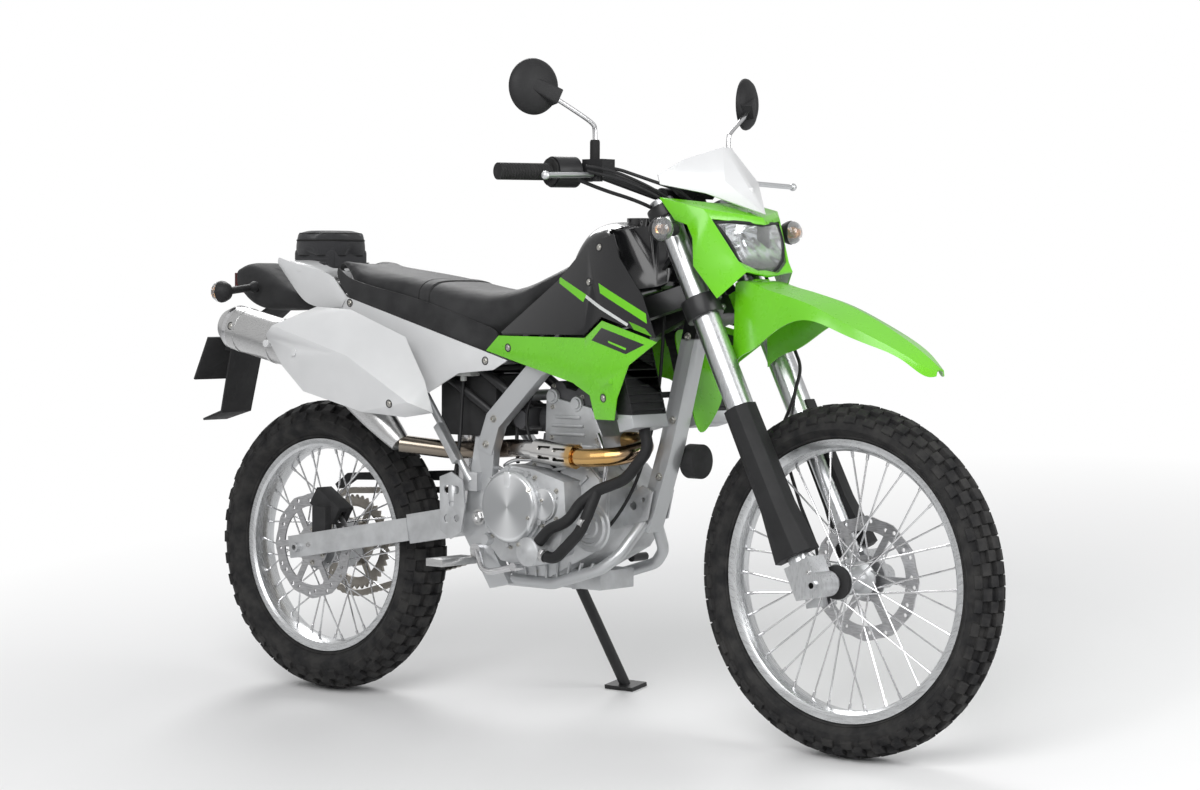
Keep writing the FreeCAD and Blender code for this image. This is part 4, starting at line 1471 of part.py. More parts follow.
def feet():
    side = plain(q.plate_place + q.plate_thick / 2 + q.fit_gap)
    peg = Part.makeBox(plain(q.peg_deep), plain(q.peg_wide), plain(q.peg_thick),
                       V(plain(q.peg_x), side, plain(q.peg_z)))
    node("footpegs", "chassis", *[feature(f"footpeg_{i}", s) for i, s in enumerate(both_sides(peg))])
    pad = bar(point(q.pedal_x + q.pedal_long * 0.99, -side - q.pedal_radius * 4.7, q.pedal_z - q.pedal_drop / 2),
              point(q.pedal_x + q.pedal_long, -side - q.pedal_radius * 9, q.pedal_z - q.pedal_drop / 2),
              q.toe_radius)
    lever = tube([V(plain(q.pedal_x), -side - plain(q.pedal_radius), plain(q.pedal_z)),
                  point(q.pedal_x + q.pedal_long / 3, -side - q.pedal_radius * 6, q.pedal_z - q.pedal_drop),
                  point(q.pedal_x + q.pedal_long, -side - q.pedal_radius * 7,
                        q.pedal_z - q.pedal_drop / 2)],
                 q.pedal_radius, q.rail_bend)
    top, foot = point(q.hanger_x, q.hanger_y, q.hanger_z), point(q.hanger_foot_x, q.hanger_foot_y,
        q.hanger_foot_z)
    lug = Part.makeBox(plain(q.hanger_lug), plain(q.hanger_foot_y + q.hanger_radius / 2) - side,
                       plain(q.hanger_lug),
                       V(foot.x - plain(q.hanger_lug) / 2, side, foot.z - plain(q.hanger_lug) / 2))
    outward = V(0, plain(q.hanger_radius + q.peg_thick / 4), 0)
    rest = beam([top + (foot - top) * share + outward for share in (0.60, 0.86)], q.peg_thick,
                q.hanger_radius * 2)
    hanger = seated(one([bar(top, foot, q.hanger_radius), lug, rest]), RAILS)
    node("passenger_hangers", "chassis", *[feature(f"hanger_{i}", s) for i,
                                           s in enumerate(both_sides(hanger))])
    knuckle, toe = point(q.shift_x, q.shift_y, q.shift_z), point(q.shift_x + q.shift_long, q.shift_y,
        q.shift_z
                                                                 - q.shift_drop)
    shaft = bar(point(q.shift_x, q.left_case_half_wide + q.fit_gap, q.shift_z), knuckle
                + V(0, plain(q.shift_radius) * 1.6, 0), q.shift_radius * 1.2)
    shifter = tube([knuckle, knuckle + V((toe.x - knuckle.x) * 0.5, 0, (toe.z - knuckle.z) * 0.85), toe],
                   q.shift_radius, q.rail_bend)
    rubber = bar(toe - V(0, plain(q.shift_radius) * 1.5, 0), toe + V(0, plain(q.toe_long), 0), q.toe_radius)
    node("shift_lever", "chassis", feature("shifter", one([shaft, shifter, rubber])))
    boss = Part.makeCylinder(plain(q.pedal_radius) * 2, plain(q.pedal_radius) * 2,
                             V(plain(q.pedal_x), -side, plain(q.pedal_z)), -Y_AXIS)
    node("brake_pedal", "chassis", feature("brake_pedal_lever", one([lever, boss, pad])))


REAR_CALIPER_TURN = 32
drive()


def lights():
    stem_from = plain(q.fork_spread + q.fork_top_radius + q.fit_gap)
    at = point(from_front(q.blinker_back), q.blinker_y, q.blinker_z)
    ball = Part.makeSphere(plain(q.blinker_radius), at)
    inner = V(at.x, stem_from, at.z)
    stem = bar(inner, at, q.blinker_stem_radius)
    mask = NODES["headlamp_mask"][0].Links[0].Shape
    pair = [seated(shape, mask) for shape in both_sides(one([ball, stem]))]
    node("front_indicators", "steering", *[feature(f"front_blinker_{i}", s) for i, s in enumerate(pair)])


lights()

doc.recompute()
# Upright pieces are leaned over, and the origin goes to the middle of the outline on the ground.
lean = FreeCAD.Placement(V(0, 0, 0), FreeCAD.Rotation(X_AXIS, -plain(q.lean_angle)))
low, high = None, None
for label, (thing, body) in NODES.items():
    thing.Placement = lean.multiply(thing.Placement)
doc.recompute()
for label, (thing, body) in NODES.items():
    points, _ = thing.Shape.tessellate(0.5)
    for p in points:
        low = V(p) if low is None else V(min(low.x, p.x), min(low.y, p.y), min(low.z, p.z))
        high = V(p) if high is None else V(max(high.x, p.x), max(high.y, p.y), max(high.z, p.z))
shift = V(-(low.x + high.x) / 2, -(low.y + high.y) / 2, -low.z)
for label, (thing, body) in NODES.items():
    thing.Placement = FreeCAD.Placement(shift, FreeCAD.Rotation()).multiply(thing.Placement)
doc.recompute()

for thing in doc.Objects:
    if "Invalid" in thing.State or "Error" in thing.State:
        raise RuntimeError(f"{thing.Name} can't be built")
os.makedirs("parts", exist_ok=True)
faulty = []
for label, (thing, body) in NODES.items():
    shape = thing.Shape
    if shape.isNull() or not shape.isValid() or shape.Volume <= 0:
        faulty.append(f"{label} {shape.isNull()} {[link.Shape.isValid() for link in thing.Links]} {shape.Volume:.0f}")
        continue
    shape.exportStep(f"parts/{label}.step")
    box = shape.BoundBox
    print(f"NODE {label} {body} {box.XMin:.1f} {box.XMax:.1f} {box.YMin:.1f} {box.YMax:.1f} "
          f"{box.ZMin:.1f} {box.ZMax:.1f} solids {len(shape.Solids)} volume {shape.Volume / 1000:.1f}")


if faulty:
    raise RuntimeError(f"not sound: {faulty}")


def placed(p):
    out = lean.multVec(p) + shift
    return f"{out.x:.3f} {out.y:.3f} {out.z:.3f}"


def pointed(direction):
    out = lean.Rotation.multVec(direction)
    return f"{out.x:.6f} {out.y:.6f} {out.z:.6f}"


print("SHIFT", shift.x, shift.y, shift.z, "SIZE", high.x - low.x, high.y - low.y, high.z - low.z)
print("STEER_AXIS", placed(STEER.Base), pointed(STEER.Rotation.multVec(Z_AXIS)))
print("FRONT_AXLE", placed(point(*FRONT_AXLE)), pointed(Y_AXIS))
print("REAR_AXLE", placed(point(*REAR_AXLE)), pointed(Y_AXIS))
print("STAND_PIN", placed(STAND_PIN), pointed(Y_AXIS))
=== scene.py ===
"""Looks of a dual sport motorcycle: finishes, studio and the fine pieces on its frame, as an add-on."""
import json
import math

import bmesh
import bpy
import numpy as np
from bpy.props import FloatProperty, FloatVectorProperty, IntProperty, PointerProperty
from mathutils import Matrix, Vector
from mathutils.bvhtree import BVHTree
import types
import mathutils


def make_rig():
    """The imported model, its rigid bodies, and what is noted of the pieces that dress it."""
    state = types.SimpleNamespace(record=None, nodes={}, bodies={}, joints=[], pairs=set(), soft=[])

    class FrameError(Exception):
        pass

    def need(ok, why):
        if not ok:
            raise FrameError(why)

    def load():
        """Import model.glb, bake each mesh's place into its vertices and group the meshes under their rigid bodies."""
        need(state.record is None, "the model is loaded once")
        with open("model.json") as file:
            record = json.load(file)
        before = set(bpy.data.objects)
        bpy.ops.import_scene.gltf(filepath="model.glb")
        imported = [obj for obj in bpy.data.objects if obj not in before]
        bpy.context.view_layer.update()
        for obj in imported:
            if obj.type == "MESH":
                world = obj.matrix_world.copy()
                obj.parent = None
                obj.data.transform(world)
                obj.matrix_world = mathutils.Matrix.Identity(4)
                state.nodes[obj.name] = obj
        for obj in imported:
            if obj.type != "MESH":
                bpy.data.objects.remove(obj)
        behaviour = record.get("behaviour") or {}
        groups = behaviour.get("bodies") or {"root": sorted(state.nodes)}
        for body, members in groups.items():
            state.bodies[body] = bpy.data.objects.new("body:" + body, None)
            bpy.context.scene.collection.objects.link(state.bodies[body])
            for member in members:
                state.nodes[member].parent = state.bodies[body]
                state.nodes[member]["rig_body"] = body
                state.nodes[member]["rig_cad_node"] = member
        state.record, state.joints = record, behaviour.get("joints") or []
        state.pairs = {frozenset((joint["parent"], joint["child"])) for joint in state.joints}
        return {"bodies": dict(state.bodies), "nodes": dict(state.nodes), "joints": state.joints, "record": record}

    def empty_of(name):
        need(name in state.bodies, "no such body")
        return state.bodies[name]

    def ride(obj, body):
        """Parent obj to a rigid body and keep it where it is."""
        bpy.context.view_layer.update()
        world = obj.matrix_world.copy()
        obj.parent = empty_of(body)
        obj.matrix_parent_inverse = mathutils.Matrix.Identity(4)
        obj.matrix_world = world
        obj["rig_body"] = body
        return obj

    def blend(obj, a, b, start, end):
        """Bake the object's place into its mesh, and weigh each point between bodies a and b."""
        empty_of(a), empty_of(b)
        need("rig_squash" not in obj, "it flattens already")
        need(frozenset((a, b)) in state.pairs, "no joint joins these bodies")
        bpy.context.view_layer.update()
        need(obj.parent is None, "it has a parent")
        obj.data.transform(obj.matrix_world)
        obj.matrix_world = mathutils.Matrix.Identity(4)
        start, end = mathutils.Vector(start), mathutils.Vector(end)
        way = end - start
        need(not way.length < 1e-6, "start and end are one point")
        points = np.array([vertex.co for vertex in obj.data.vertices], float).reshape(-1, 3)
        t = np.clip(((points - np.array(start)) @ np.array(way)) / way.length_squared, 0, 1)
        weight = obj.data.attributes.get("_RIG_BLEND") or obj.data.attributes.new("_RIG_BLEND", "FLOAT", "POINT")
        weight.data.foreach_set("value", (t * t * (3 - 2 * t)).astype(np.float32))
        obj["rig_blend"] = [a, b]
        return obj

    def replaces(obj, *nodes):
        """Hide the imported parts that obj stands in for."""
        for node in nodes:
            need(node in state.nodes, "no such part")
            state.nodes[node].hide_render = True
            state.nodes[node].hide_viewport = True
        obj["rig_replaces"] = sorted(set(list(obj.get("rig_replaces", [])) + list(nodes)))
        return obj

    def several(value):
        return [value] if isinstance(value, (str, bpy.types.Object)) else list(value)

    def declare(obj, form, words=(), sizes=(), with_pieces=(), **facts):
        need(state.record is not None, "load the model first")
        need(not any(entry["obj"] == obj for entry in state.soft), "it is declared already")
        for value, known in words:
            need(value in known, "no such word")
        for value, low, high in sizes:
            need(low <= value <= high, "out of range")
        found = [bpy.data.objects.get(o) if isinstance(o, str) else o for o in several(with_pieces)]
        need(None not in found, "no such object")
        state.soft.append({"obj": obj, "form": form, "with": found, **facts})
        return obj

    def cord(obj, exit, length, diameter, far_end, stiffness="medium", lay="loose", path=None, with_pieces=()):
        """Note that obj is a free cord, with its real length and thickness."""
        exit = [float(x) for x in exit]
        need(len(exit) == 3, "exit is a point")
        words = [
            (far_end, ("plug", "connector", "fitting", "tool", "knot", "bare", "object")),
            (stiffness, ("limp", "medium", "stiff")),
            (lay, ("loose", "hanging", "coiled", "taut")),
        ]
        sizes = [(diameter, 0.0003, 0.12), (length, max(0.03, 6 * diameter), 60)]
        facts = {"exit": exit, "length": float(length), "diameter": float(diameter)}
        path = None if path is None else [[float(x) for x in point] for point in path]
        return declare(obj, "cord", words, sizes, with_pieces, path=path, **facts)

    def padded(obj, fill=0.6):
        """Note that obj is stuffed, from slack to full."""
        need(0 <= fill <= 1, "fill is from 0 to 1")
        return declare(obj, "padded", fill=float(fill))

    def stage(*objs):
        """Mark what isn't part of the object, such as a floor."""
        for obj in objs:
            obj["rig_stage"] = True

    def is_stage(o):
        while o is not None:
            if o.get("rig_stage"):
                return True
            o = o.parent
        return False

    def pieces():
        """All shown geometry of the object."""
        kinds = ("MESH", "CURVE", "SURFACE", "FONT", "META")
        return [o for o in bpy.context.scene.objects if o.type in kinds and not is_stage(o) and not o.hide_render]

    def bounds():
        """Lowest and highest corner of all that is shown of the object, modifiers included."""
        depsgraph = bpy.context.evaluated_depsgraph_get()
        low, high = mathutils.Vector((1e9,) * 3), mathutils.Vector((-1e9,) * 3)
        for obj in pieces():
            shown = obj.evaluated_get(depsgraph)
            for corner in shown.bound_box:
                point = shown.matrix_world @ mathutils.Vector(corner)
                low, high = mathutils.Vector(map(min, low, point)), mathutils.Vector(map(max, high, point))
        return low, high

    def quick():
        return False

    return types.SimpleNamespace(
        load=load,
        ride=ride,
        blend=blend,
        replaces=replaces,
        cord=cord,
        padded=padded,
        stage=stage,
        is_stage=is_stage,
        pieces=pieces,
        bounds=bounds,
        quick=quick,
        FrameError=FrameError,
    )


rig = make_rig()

bl_info = {
    "name": "Dual Sport Motorcycle",
    "version": (1, 0, 0),
    "blender": (4, 5, 0),
    "location": "View3D > Sidebar > Motorcycle",
    "description": "Dresses the machine on its packed frame, piece by piece",
    "category": "Add Mesh",
}

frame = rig.load()
CAD_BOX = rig.bounds()
JOINTS = {joint["name"]: joint for joint in frame["joints"]}
NODE_BODY = {node: body for body, nodes in frame["record"]["behaviour"]["bodies"].items() for node in nodes}
RIGHT, LEFT = -1, 1  # signs of Y
REAR_RADIUS = 0.328
RAKE = math.radians(26.5)


def find_stance():
    """From the upright machine (rear contact at the origin, X forward, Y left) to its lean on the stand."""
    axle = JOINTS["rear_wheel_spin"]
    lean = math.atan2(axle["axis"][2], axle["axis"][1])
    turn = Matrix.Rotation(lean, 4, "X")
    hub = Vector(axle["pos_m"])
    return Matrix.Translation(hub - turn @ Vector((0, 0, REAR_RADIUS))) @ turn


STANCE = find_stance()
UPRIGHT = STANCE.inverted()
FRONT_HUB = UPRIGHT @ Vector(JOINTS["front_wheel_spin"]["pos_m"])
REAR_HUB = UPRIGHT @ Vector(JOINTS["rear_wheel_spin"]["pos_m"])
BLACK = (0.012, 0.012, 0.013)


# Colours and lights that a user would change

class RideColours(bpy.types.PropertyGroup):
    """Paint and trim colours."""
    cover: FloatVectorProperty(name="Cover", description="Fender, mask and lower shrouds", subtype="COLOR",
                               size=3, default=(0.150, 0.560, 0.010), min=0, max=1)
    pale: FloatVectorProperty(name="Pale panels", description="Screen, side covers and muffler cover",
                              subtype="COLOR", size=3, default=(0.68, 0.685, 0.69), min=0, max=1)
    tank: FloatVectorProperty(name="Tank", description="Tank and upper shrouds", subtype="COLOR",
                              size=3, default=BLACK, min=0, max=1)
    frame: FloatVectorProperty(name="Frame", description="Painted frame tubes", subtype="COLOR",
                               size=3, default=(0.50, 0.51, 0.52), min=0, max=1)


class RideStudio(bpy.types.PropertyGroup):
    """Camera and lights of the studio."""
    focal: FloatProperty(name="Focal length", description="Lens on a 36 mm wide frame", default=85.15,
                         unit="CAMERA")
    key_power: FloatProperty(name="Key light", description="Power of the large lamp", default=180,
                             unit="POWER")
    fill: FloatProperty(name="Sky", description="Strength of the even light", default=0.34, min=0)
    shine: FloatProperty(name="Shine", description="Strength of the sky in reflections", default=0.80, min=0)


# Materials

DARK = 0.06  # colours below this are black plastic, rubber or cloth
DIM_SHINE = 0.26  # how strongly those reflect


class Finish:
    """One node material: a principled shader and the nodes that feed it."""

    def __init__(self, name, colour, roughness, metallic=0.0, **sockets):
        self.material = bpy.data.materials.new(name)
        self.material.use_nodes = True
        self.tree = self.material.node_tree
        self.shader = self.tree.nodes["Principled BSDF"]
        self.place = self.add("ShaderNodeTexCoord").outputs["Object"]
        self.shader.inputs["Base Color"].default_value = (*colour[:3], 1)
        self.shader.inputs["Roughness"].default_value = roughness
        self.shader.inputs["Metallic"].default_value = metallic
        self.height = None
        if max(colour[:3]) < DARK and metallic == 0:
            self.shader.inputs["Specular IOR Level"].default_value = DIM_SHINE
        for word, value in sockets.items():
            self.shader.inputs[word.replace("_", " ")].default_value = value

    def add(self, kind, **inputs):
        node = self.tree.nodes.new(kind)
        for word, value in inputs.items():
            self.feed(node.inputs[word], value)
        return node

    def feed(self, socket, value):
        if isinstance(value, bpy.types.NodeSocket):
            self.tree.links.new(value, socket)
        else:
            socket.default_value = value

    def stretched(self, scale):
        return self.add("ShaderNodeMapping", Vector=self.place, Scale=scale).outputs["Vector"]

    def noise(self, scale, detail, vector=None):
        node = self.add("ShaderNodeTexNoise", Vector=vector or self.place, Scale=scale, Detail=detail,
                        Roughness=0.55)
        return node.outputs["Fac"]

    def cells(self, scale):
        return self.add("ShaderNodeTexVoronoi", Vector=self.place, Scale=scale).outputs["Distance"]

    def ramp(self, value, low, high, low_place=0.35, high_place=0.65):
        node = self.add("ShaderNodeValToRGB", Fac=value)
        first, last = node.color_ramp.elements
        first.position, last.position = low_place, high_place
        first.color, last.color = (*low, 1), (*high, 1)
        return node.outputs["Color"]

    def spread(self, value, low, high):
        return self.add("ShaderNodeMapRange", Value=value,
                        **{"To Min": low, "To Max": high}).outputs["Result"]

    def maths(self, operation, first, second=0.0):
        node = self.tree.nodes.new("ShaderNodeMath")
        node.operation = operation
        self.feed(node.inputs[0], first)
        self.feed(node.inputs[1], second)
        return node.outputs[0]

    def colour(self, value):
        self.feed(self.shader.inputs["Base Color"], value)

    def rough(self, value):
        self.feed(self.shader.inputs["Roughness"], value)

    def uneven(self, scale, detail, low, high):
        """A colour that wanders between two."""
        self.colour(self.ramp(self.noise(scale, detail), low, high))

    def worn(self, scale, detail, low, high):
        """A roughness that wanders between two."""
        self.rough(self.spread(self.noise(scale, detail), low, high))

    def bump(self, height, strength, distance):
        inputs = {"Height": height, "Strength": strength, "Distance": distance}
        if self.height is not None:
            inputs["Normal"] = self.height
        self.height = self.add("ShaderNodeBump", **inputs).outputs["Normal"]
        self.feed(self.shader.inputs["Normal"], self.height)
        return self

    def mix(self, share, first, second):
        node = self.tree.nodes.new("ShaderNodeMix")
        node.data_type = "RGBA"
        self.feed(node.inputs[0], share)
        self.feed(node.inputs[6], (*first, 1) if isinstance(first, tuple) else first)
        self.feed(node.inputs[7], (*second, 1) if isinstance(second, tuple) else second)
        return node.outputs[2]

    def upright(self):
        """Places in the upright machine's axes, in metres, as separate X, Y and Z values."""
        place = self.add("ShaderNodeMapping", Vector=self.place, Rotation=UPRIGHT.to_euler(),
                         Location=UPRIGHT.translation)
        return self.add("ShaderNodeSeparateXYZ", Vector=place.outputs["Vector"]).outputs

    def inside(self, axes, corners):
        """One where X and Z, in millimetres, lie inside a convex outline."""
        middle = sum((Vector(corner) for corner in corners), Vector((0, 0))) / len(corners)
        least = None
        for first, second in zip(corners, corners[1:] + corners[:1]):
            run = Vector(second) - Vector(first)
            across = Vector((-run.y, run.x)).normalized()
            if across.dot(middle - Vector(first)) < 0:
                across = -across
            part = self.maths("MULTIPLY", axes["X"], across.x * 1000)
            other = self.maths("MULTIPLY", axes["Z"], across.y * 1000)
            held = self.maths("SUBTRACT", self.maths("ADD", part, other), across.dot(Vector(first)))
            least = held if least is None else self.maths("MINIMUM", least, held)
        return self.maths("GREATER_THAN", least, 0.0)

    def painted(self, axes, base, outlines):
        """A base colour with flat coloured outlines over it, in turn."""
        for colour, corners in outlines:
            base = self.mix(self.inside(axes, corners), base, colour)
        return base


FINISH = {}


def shade(colour, share):
    """A colour made darker or lighter by a share."""
    return tuple(min(1.0, c * (1 + share)) for c in colour)


def glossy_panel(name, colour, roughness=0.26, coat=0.35):
    made = Finish(name, colour, roughness, Coat_Weight=coat, Coat_Roughness=0.12)
    made.uneven(6.0, 3.0, shade(colour, -0.06), shade(colour, 0.03))
    made.worn(38.0, 5.0, roughness - 0.05, roughness + 0.10)
    return made


def moulded_plastic(name, colour, roughness=0.55, grain=1500.0):
    made = Finish(name, colour, roughness)
    made.uneven(24.0, 5.0, shade(colour, -0.25), shade(colour, 0.03))
    made.worn(60.0, 4.0, roughness - 0.08, roughness + 0.10)
    return made.bump(made.cells(grain), 0.16, 0.0005)


def painted_metal(name, colour, roughness, metallic=0.0):
    made = Finish(name, colour, roughness, metallic, Coat_Weight=0.2, Coat_Roughness=0.25)
    made.uneven(14.0, 6.0, shade(colour, -0.10), shade(colour, 0.04))
    made.worn(70.0, 6.0, roughness - 0.06, roughness + 0.12)
    return made.bump(made.noise(520.0, 3.0), 0.06, 0.0005)


def cast_metal(name, colour, roughness, metallic):
    made = Finish(name, colour, roughness, metallic)
    made.uneven(16.0, 7.0, shade(colour, -0.22), shade(colour, 0.06))
    made.worn(44.0, 5.0, roughness - 0.08, roughness + 0.14)
    made.bump(made.noise(850.0, 3.0), 0.22, 0.0006)
    return made.bump(made.cells(420.0), 0.10, 0.0006)


def brushed_metal(name, colour, roughness, stretch, scale):
    made = Finish(name, colour, roughness, 1.0)
    lines = made.noise(scale, 5.0, made.stretched(stretch))
    made.colour(made.ramp(lines, shade(colour, -0.14), shade(colour, 0.06)))
    made.rough(made.spread(lines, roughness - 0.05, roughness + 0.13))
    return made.bump(lines, 0.05, 0.0003)


def tyre_rubber(name):
    made = Finish(name, (0.018, 0.018, 0.019), 0.78)
    made.uneven(32.0, 8.0, (0.011, 0.011, 0.012), (0.034, 0.033, 0.032))
    made.worn(90.0, 5.0, 0.66, 0.88)
    return made.bump(made.noise(1400.0, 3.0), 0.20, 0.0006)


def seat_vinyl(name):
    made = Finish(name, (0.022, 0.022, 0.023), 0.58, Sheen_Weight=0.10)
    made.uneven(20.0, 5.0, (0.016, 0.016, 0.017), (0.032, 0.032, 0.033))
    made.worn(80.0, 4.0, 0.50, 0.68)
    made.bump(made.cells(700.0), 0.30, 0.0006)
    return made.bump(made.noise(190.0, 4.0), 0.10, 0.0012)


def bag_cloth(name):
    made = Finish(name, (0.020, 0.020, 0.022), 0.82, Sheen_Weight=0.25, Sheen_Roughness=0.5)
    across = made.add("ShaderNodeTexWave", Vector=made.place, Scale=260.0, Distortion=0.6)
    along = made.add("ShaderNodeTexWave", Vector=made.place, Scale=260.0, Distortion=0.6)
    across.bands_direction, along.bands_direction = "X", "Y"
    weave = made.maths("MAXIMUM", across.outputs["Fac"], along.outputs["Fac"])
    made.colour(made.ramp(weave, (0.010, 0.010, 0.011), (0.036, 0.036, 0.039), 0.2, 0.9))
    return made.bump(weave, 0.35, 0.0006)


def clear_glass(name, colour, roughness=0.03):
    made = Finish(name, colour, roughness, IOR=1.49, Transmission_Weight=0.92)
    made.worn(18.0, 3.0, roughness, roughness + 0.03)
    return made


def disc_steel(name):
    made = Finish(name, (0.50, 0.50, 0.51), 0.30, 1.0)
    rings = made.noise(60.0, 4.0, made.stretched((1.0, 90.0, 1.0)))
    made.colour(made.ramp(rings, (0.36, 0.36, 0.37), (0.58, 0.58, 0.59)))
    made.rough(made.spread(rings, 0.24, 0.42))
    return made.bump(made.noise(700.0, 3.0), 0.06, 0.0003)


def striped_tank(name, cover):
    """Black shrouds with generic slanting bands in the cover's colour."""
    made = Finish(name, BLACK, 0.18, Coat_Weight=0.5, Coat_Roughness=0.10)
    axes = made.upright()
    soft = made.ramp(made.noise(6.0, 3.0), (0.010, 0.010, 0.011), (0.015, 0.015, 0.016))
    pale = (0.62, 0.64, 0.63)
    bands = [(cover, [(787, 941), (789, 927), (868, 889), (876, 904)]),
             (cover, [(912, 928), (920, 908), (1060, 848), (1054, 868)]),
             (pale, [(876, 904), (873, 898), (914, 880), (917, 886)]),
             (pale, [(917, 886), (914, 880), (1006, 842), (1009, 847)]),
             (shade(cover, -0.35), [(1009, 852), (1056, 838), (1078, 822), (1040, 822)])]
    made.colour(made.painted(axes, soft, bands))
    made.worn(38.0, 5.0, 0.14, 0.28)
    return made.bump(made.noise(110.0, 2.0), 0.03, 0.0006)


def striped_cover(name, cover):
    """The cover's colour with a generic black block, and pale bands on the far inner side."""
    made = Finish(name, cover, 0.26, Coat_Weight=0.35, Coat_Roughness=0.12)
    axes = made.upright()
    soft = made.ramp(made.noise(6.0, 3.0), shade(cover, -0.06), shade(cover, 0.03))
    blocks = [(BLACK, [(934, 838), (1058, 806), (1008, 786), (908, 812)]),
              (shade(cover, 0.1), [(955, 812), (957, 808), (1006, 794), (1008, 798)])]
    made.colour(made.painted(axes, soft, blocks))
    made.worn(38.0, 5.0, 0.20, 0.36)
    return made.bump(made.noise(110.0, 2.0), 0.03, 0.0006)


def header_steel(name):
    """A steel pipe that heat has turned gold near the engine and brown further back."""
    made = Finish(name, (0.62, 0.57, 0.50), 0.20, 1.0)
    steps = made.add("ShaderNodeValToRGB", Fac=made.upright()["X"])
    keys = ((0.30, (0.30, 0.27, 0.23)), (0.66, (0.20, 0.15, 0.11)), (0.70, (0.66, 0.65, 0.64)),
            (0.815, (0.70, 0.69, 0.67)), (0.83, (0.62, 0.40, 0.17)), (0.93, (0.55, 0.33, 0.12)),
            (0.97, (0.30, 0.24, 0.20)))
    while len(steps.color_ramp.elements) < len(keys):
        steps.color_ramp.elements.new(0.5)
    for key, (spot, colour) in zip(steps.color_ramp.elements, keys):
        key.position = spot
        key.color = (*colour, 1)
    made.colour(steps.outputs["Color"])
    made.worn(55.0, 5.0, 0.12, 0.27)
    return made.bump(made.noise(600.0, 2.0), 0.03, 0.0004)


def lever_set(name):
    """Black housings, with bare alloy where the levers reach forward."""
    made = Finish(name, (0.02, 0.02, 0.02), 0.45)
    axes = made.upright()
    apart = made.maths("GREATER_THAN", made.maths("ABSOLUTE", axes["Y"]), 0.238)
    lever = made.maths("MULTIPLY", apart, made.maths("GREATER_THAN", axes["X"], 0.950))
    made.colour(made.mix(lever, (0.018, 0.018, 0.019), (0.62, 0.63, 0.64)))
    made.feed(made.shader.inputs["Metallic"], lever)
    made.worn(60.0, 4.0, 0.28, 0.46)
    return made.bump(made.noise(900.0, 3.0), 0.08, 0.0004)


def ribbed_grip(name):
    """Rubber with rings round the bar."""
    made = Finish(name, (0.015, 0.015, 0.015), 0.7)
    made.uneven(40.0, 4.0, (0.012, 0.012, 0.012), (0.022, 0.022, 0.022))
    rings = made.add("ShaderNodeTexWave", Vector=made.place, Scale=48.0)
    rings.bands_direction = "Y"
    made.worn(90.0, 4.0, 0.60, 0.80)
    return made.bump(rings.outputs["Fac"], 0.8, 0.0016)


def round_brushed(name):
    """Alloy turned on a lathe, with a painted highlight: a fan of light painted into the colour stands across each
    round cover.
    """
    made = Finish(name, (0.62, 0.63, 0.64), 0.30, 0.85)
    axes = made.upright()
    pump = made.maths("GREATER_THAN", axes["X"], 0.7395)
    middle = made.spread(pump, 0.684, 0.768)
    side = made.maths("SUBTRACT", axes["X"], middle)
    rise = made.maths("SUBTRACT", axes["Z"], made.spread(pump, 0.460, 0.470))
    turn = made.maths("ARCTAN2", side, rise)
    fan = made.maths("POWER", made.maths("ABSOLUTE", made.maths("COSINE", turn)), 5.0)
    # painted highlight: the colour is bright where the fan of light stands and darker round it
    made.colour(made.ramp(fan, (0.44, 0.45, 0.46), (0.84, 0.85, 0.86), 0.0, 1.0))
    radius = made.maths("SQRT", made.maths("ADD", made.maths("MULTIPLY", side, side),
                                           made.maths("MULTIPLY", rise, rise)))
    grooves = made.maths("SINE", made.maths("MULTIPLY", radius, 5200.0))
    made.rough(made.spread(grooves, 0.28, 0.36))
    return made.bump(grooves, 0.03, 0.0002)


def frame_with_painted_shade(name, colour, *settings):
    """Painted frame metal, turned black from a height near the steering head up: painted shade where the frame lies
    behind the tank and shrouds.
    """
    made = painted_metal(name, colour, *settings)
    # painted shade: the frame's colour goes black from 0.812 m up
    made.colour(made.ramp(made.upright()["Z"], colour, BLACK, 0.812, 0.816))
    return made


def lamp_reflector(name):
    """The headlamp's bright bowl, with upright flutes and painted shade: a dark band low down."""
    made = Finish(name, (0.90, 0.91, 0.92), 0.09, 0.85)
    axes = made.upright()
    flutes = made.maths("SINE", made.maths("MULTIPLY", axes["Y"], 330.0))
    # painted shade: the bowl's colour is dark below about 0.97 m and bright above 0.99 m
    made.colour(made.ramp(axes["Z"], (0.07, 0.07, 0.075), (0.93, 0.94, 0.95), 0.968, 0.990))
    return made.bump(flutes, 0.55, 0.0016)


def radiator_core(name):
    """Black painted fins over a bare lower tank."""
    made = Finish(name, (0.03, 0.03, 0.03), 0.45, 0.5)
    low = made.maths("LESS_THAN", made.upright()["Z"], 0.663)
    made.colour(made.mix(low, (0.016, 0.016, 0.017), (0.46, 0.47, 0.48)))
    made.worn(60.0, 4.0, 0.34, 0.52)
    fins = made.add("ShaderNodeTexWave", Vector=made.place, Scale=160.0)
    fins.bands_direction = "Y"
    return made.bump(fins.outputs["Fac"], 0.35, 0.001)


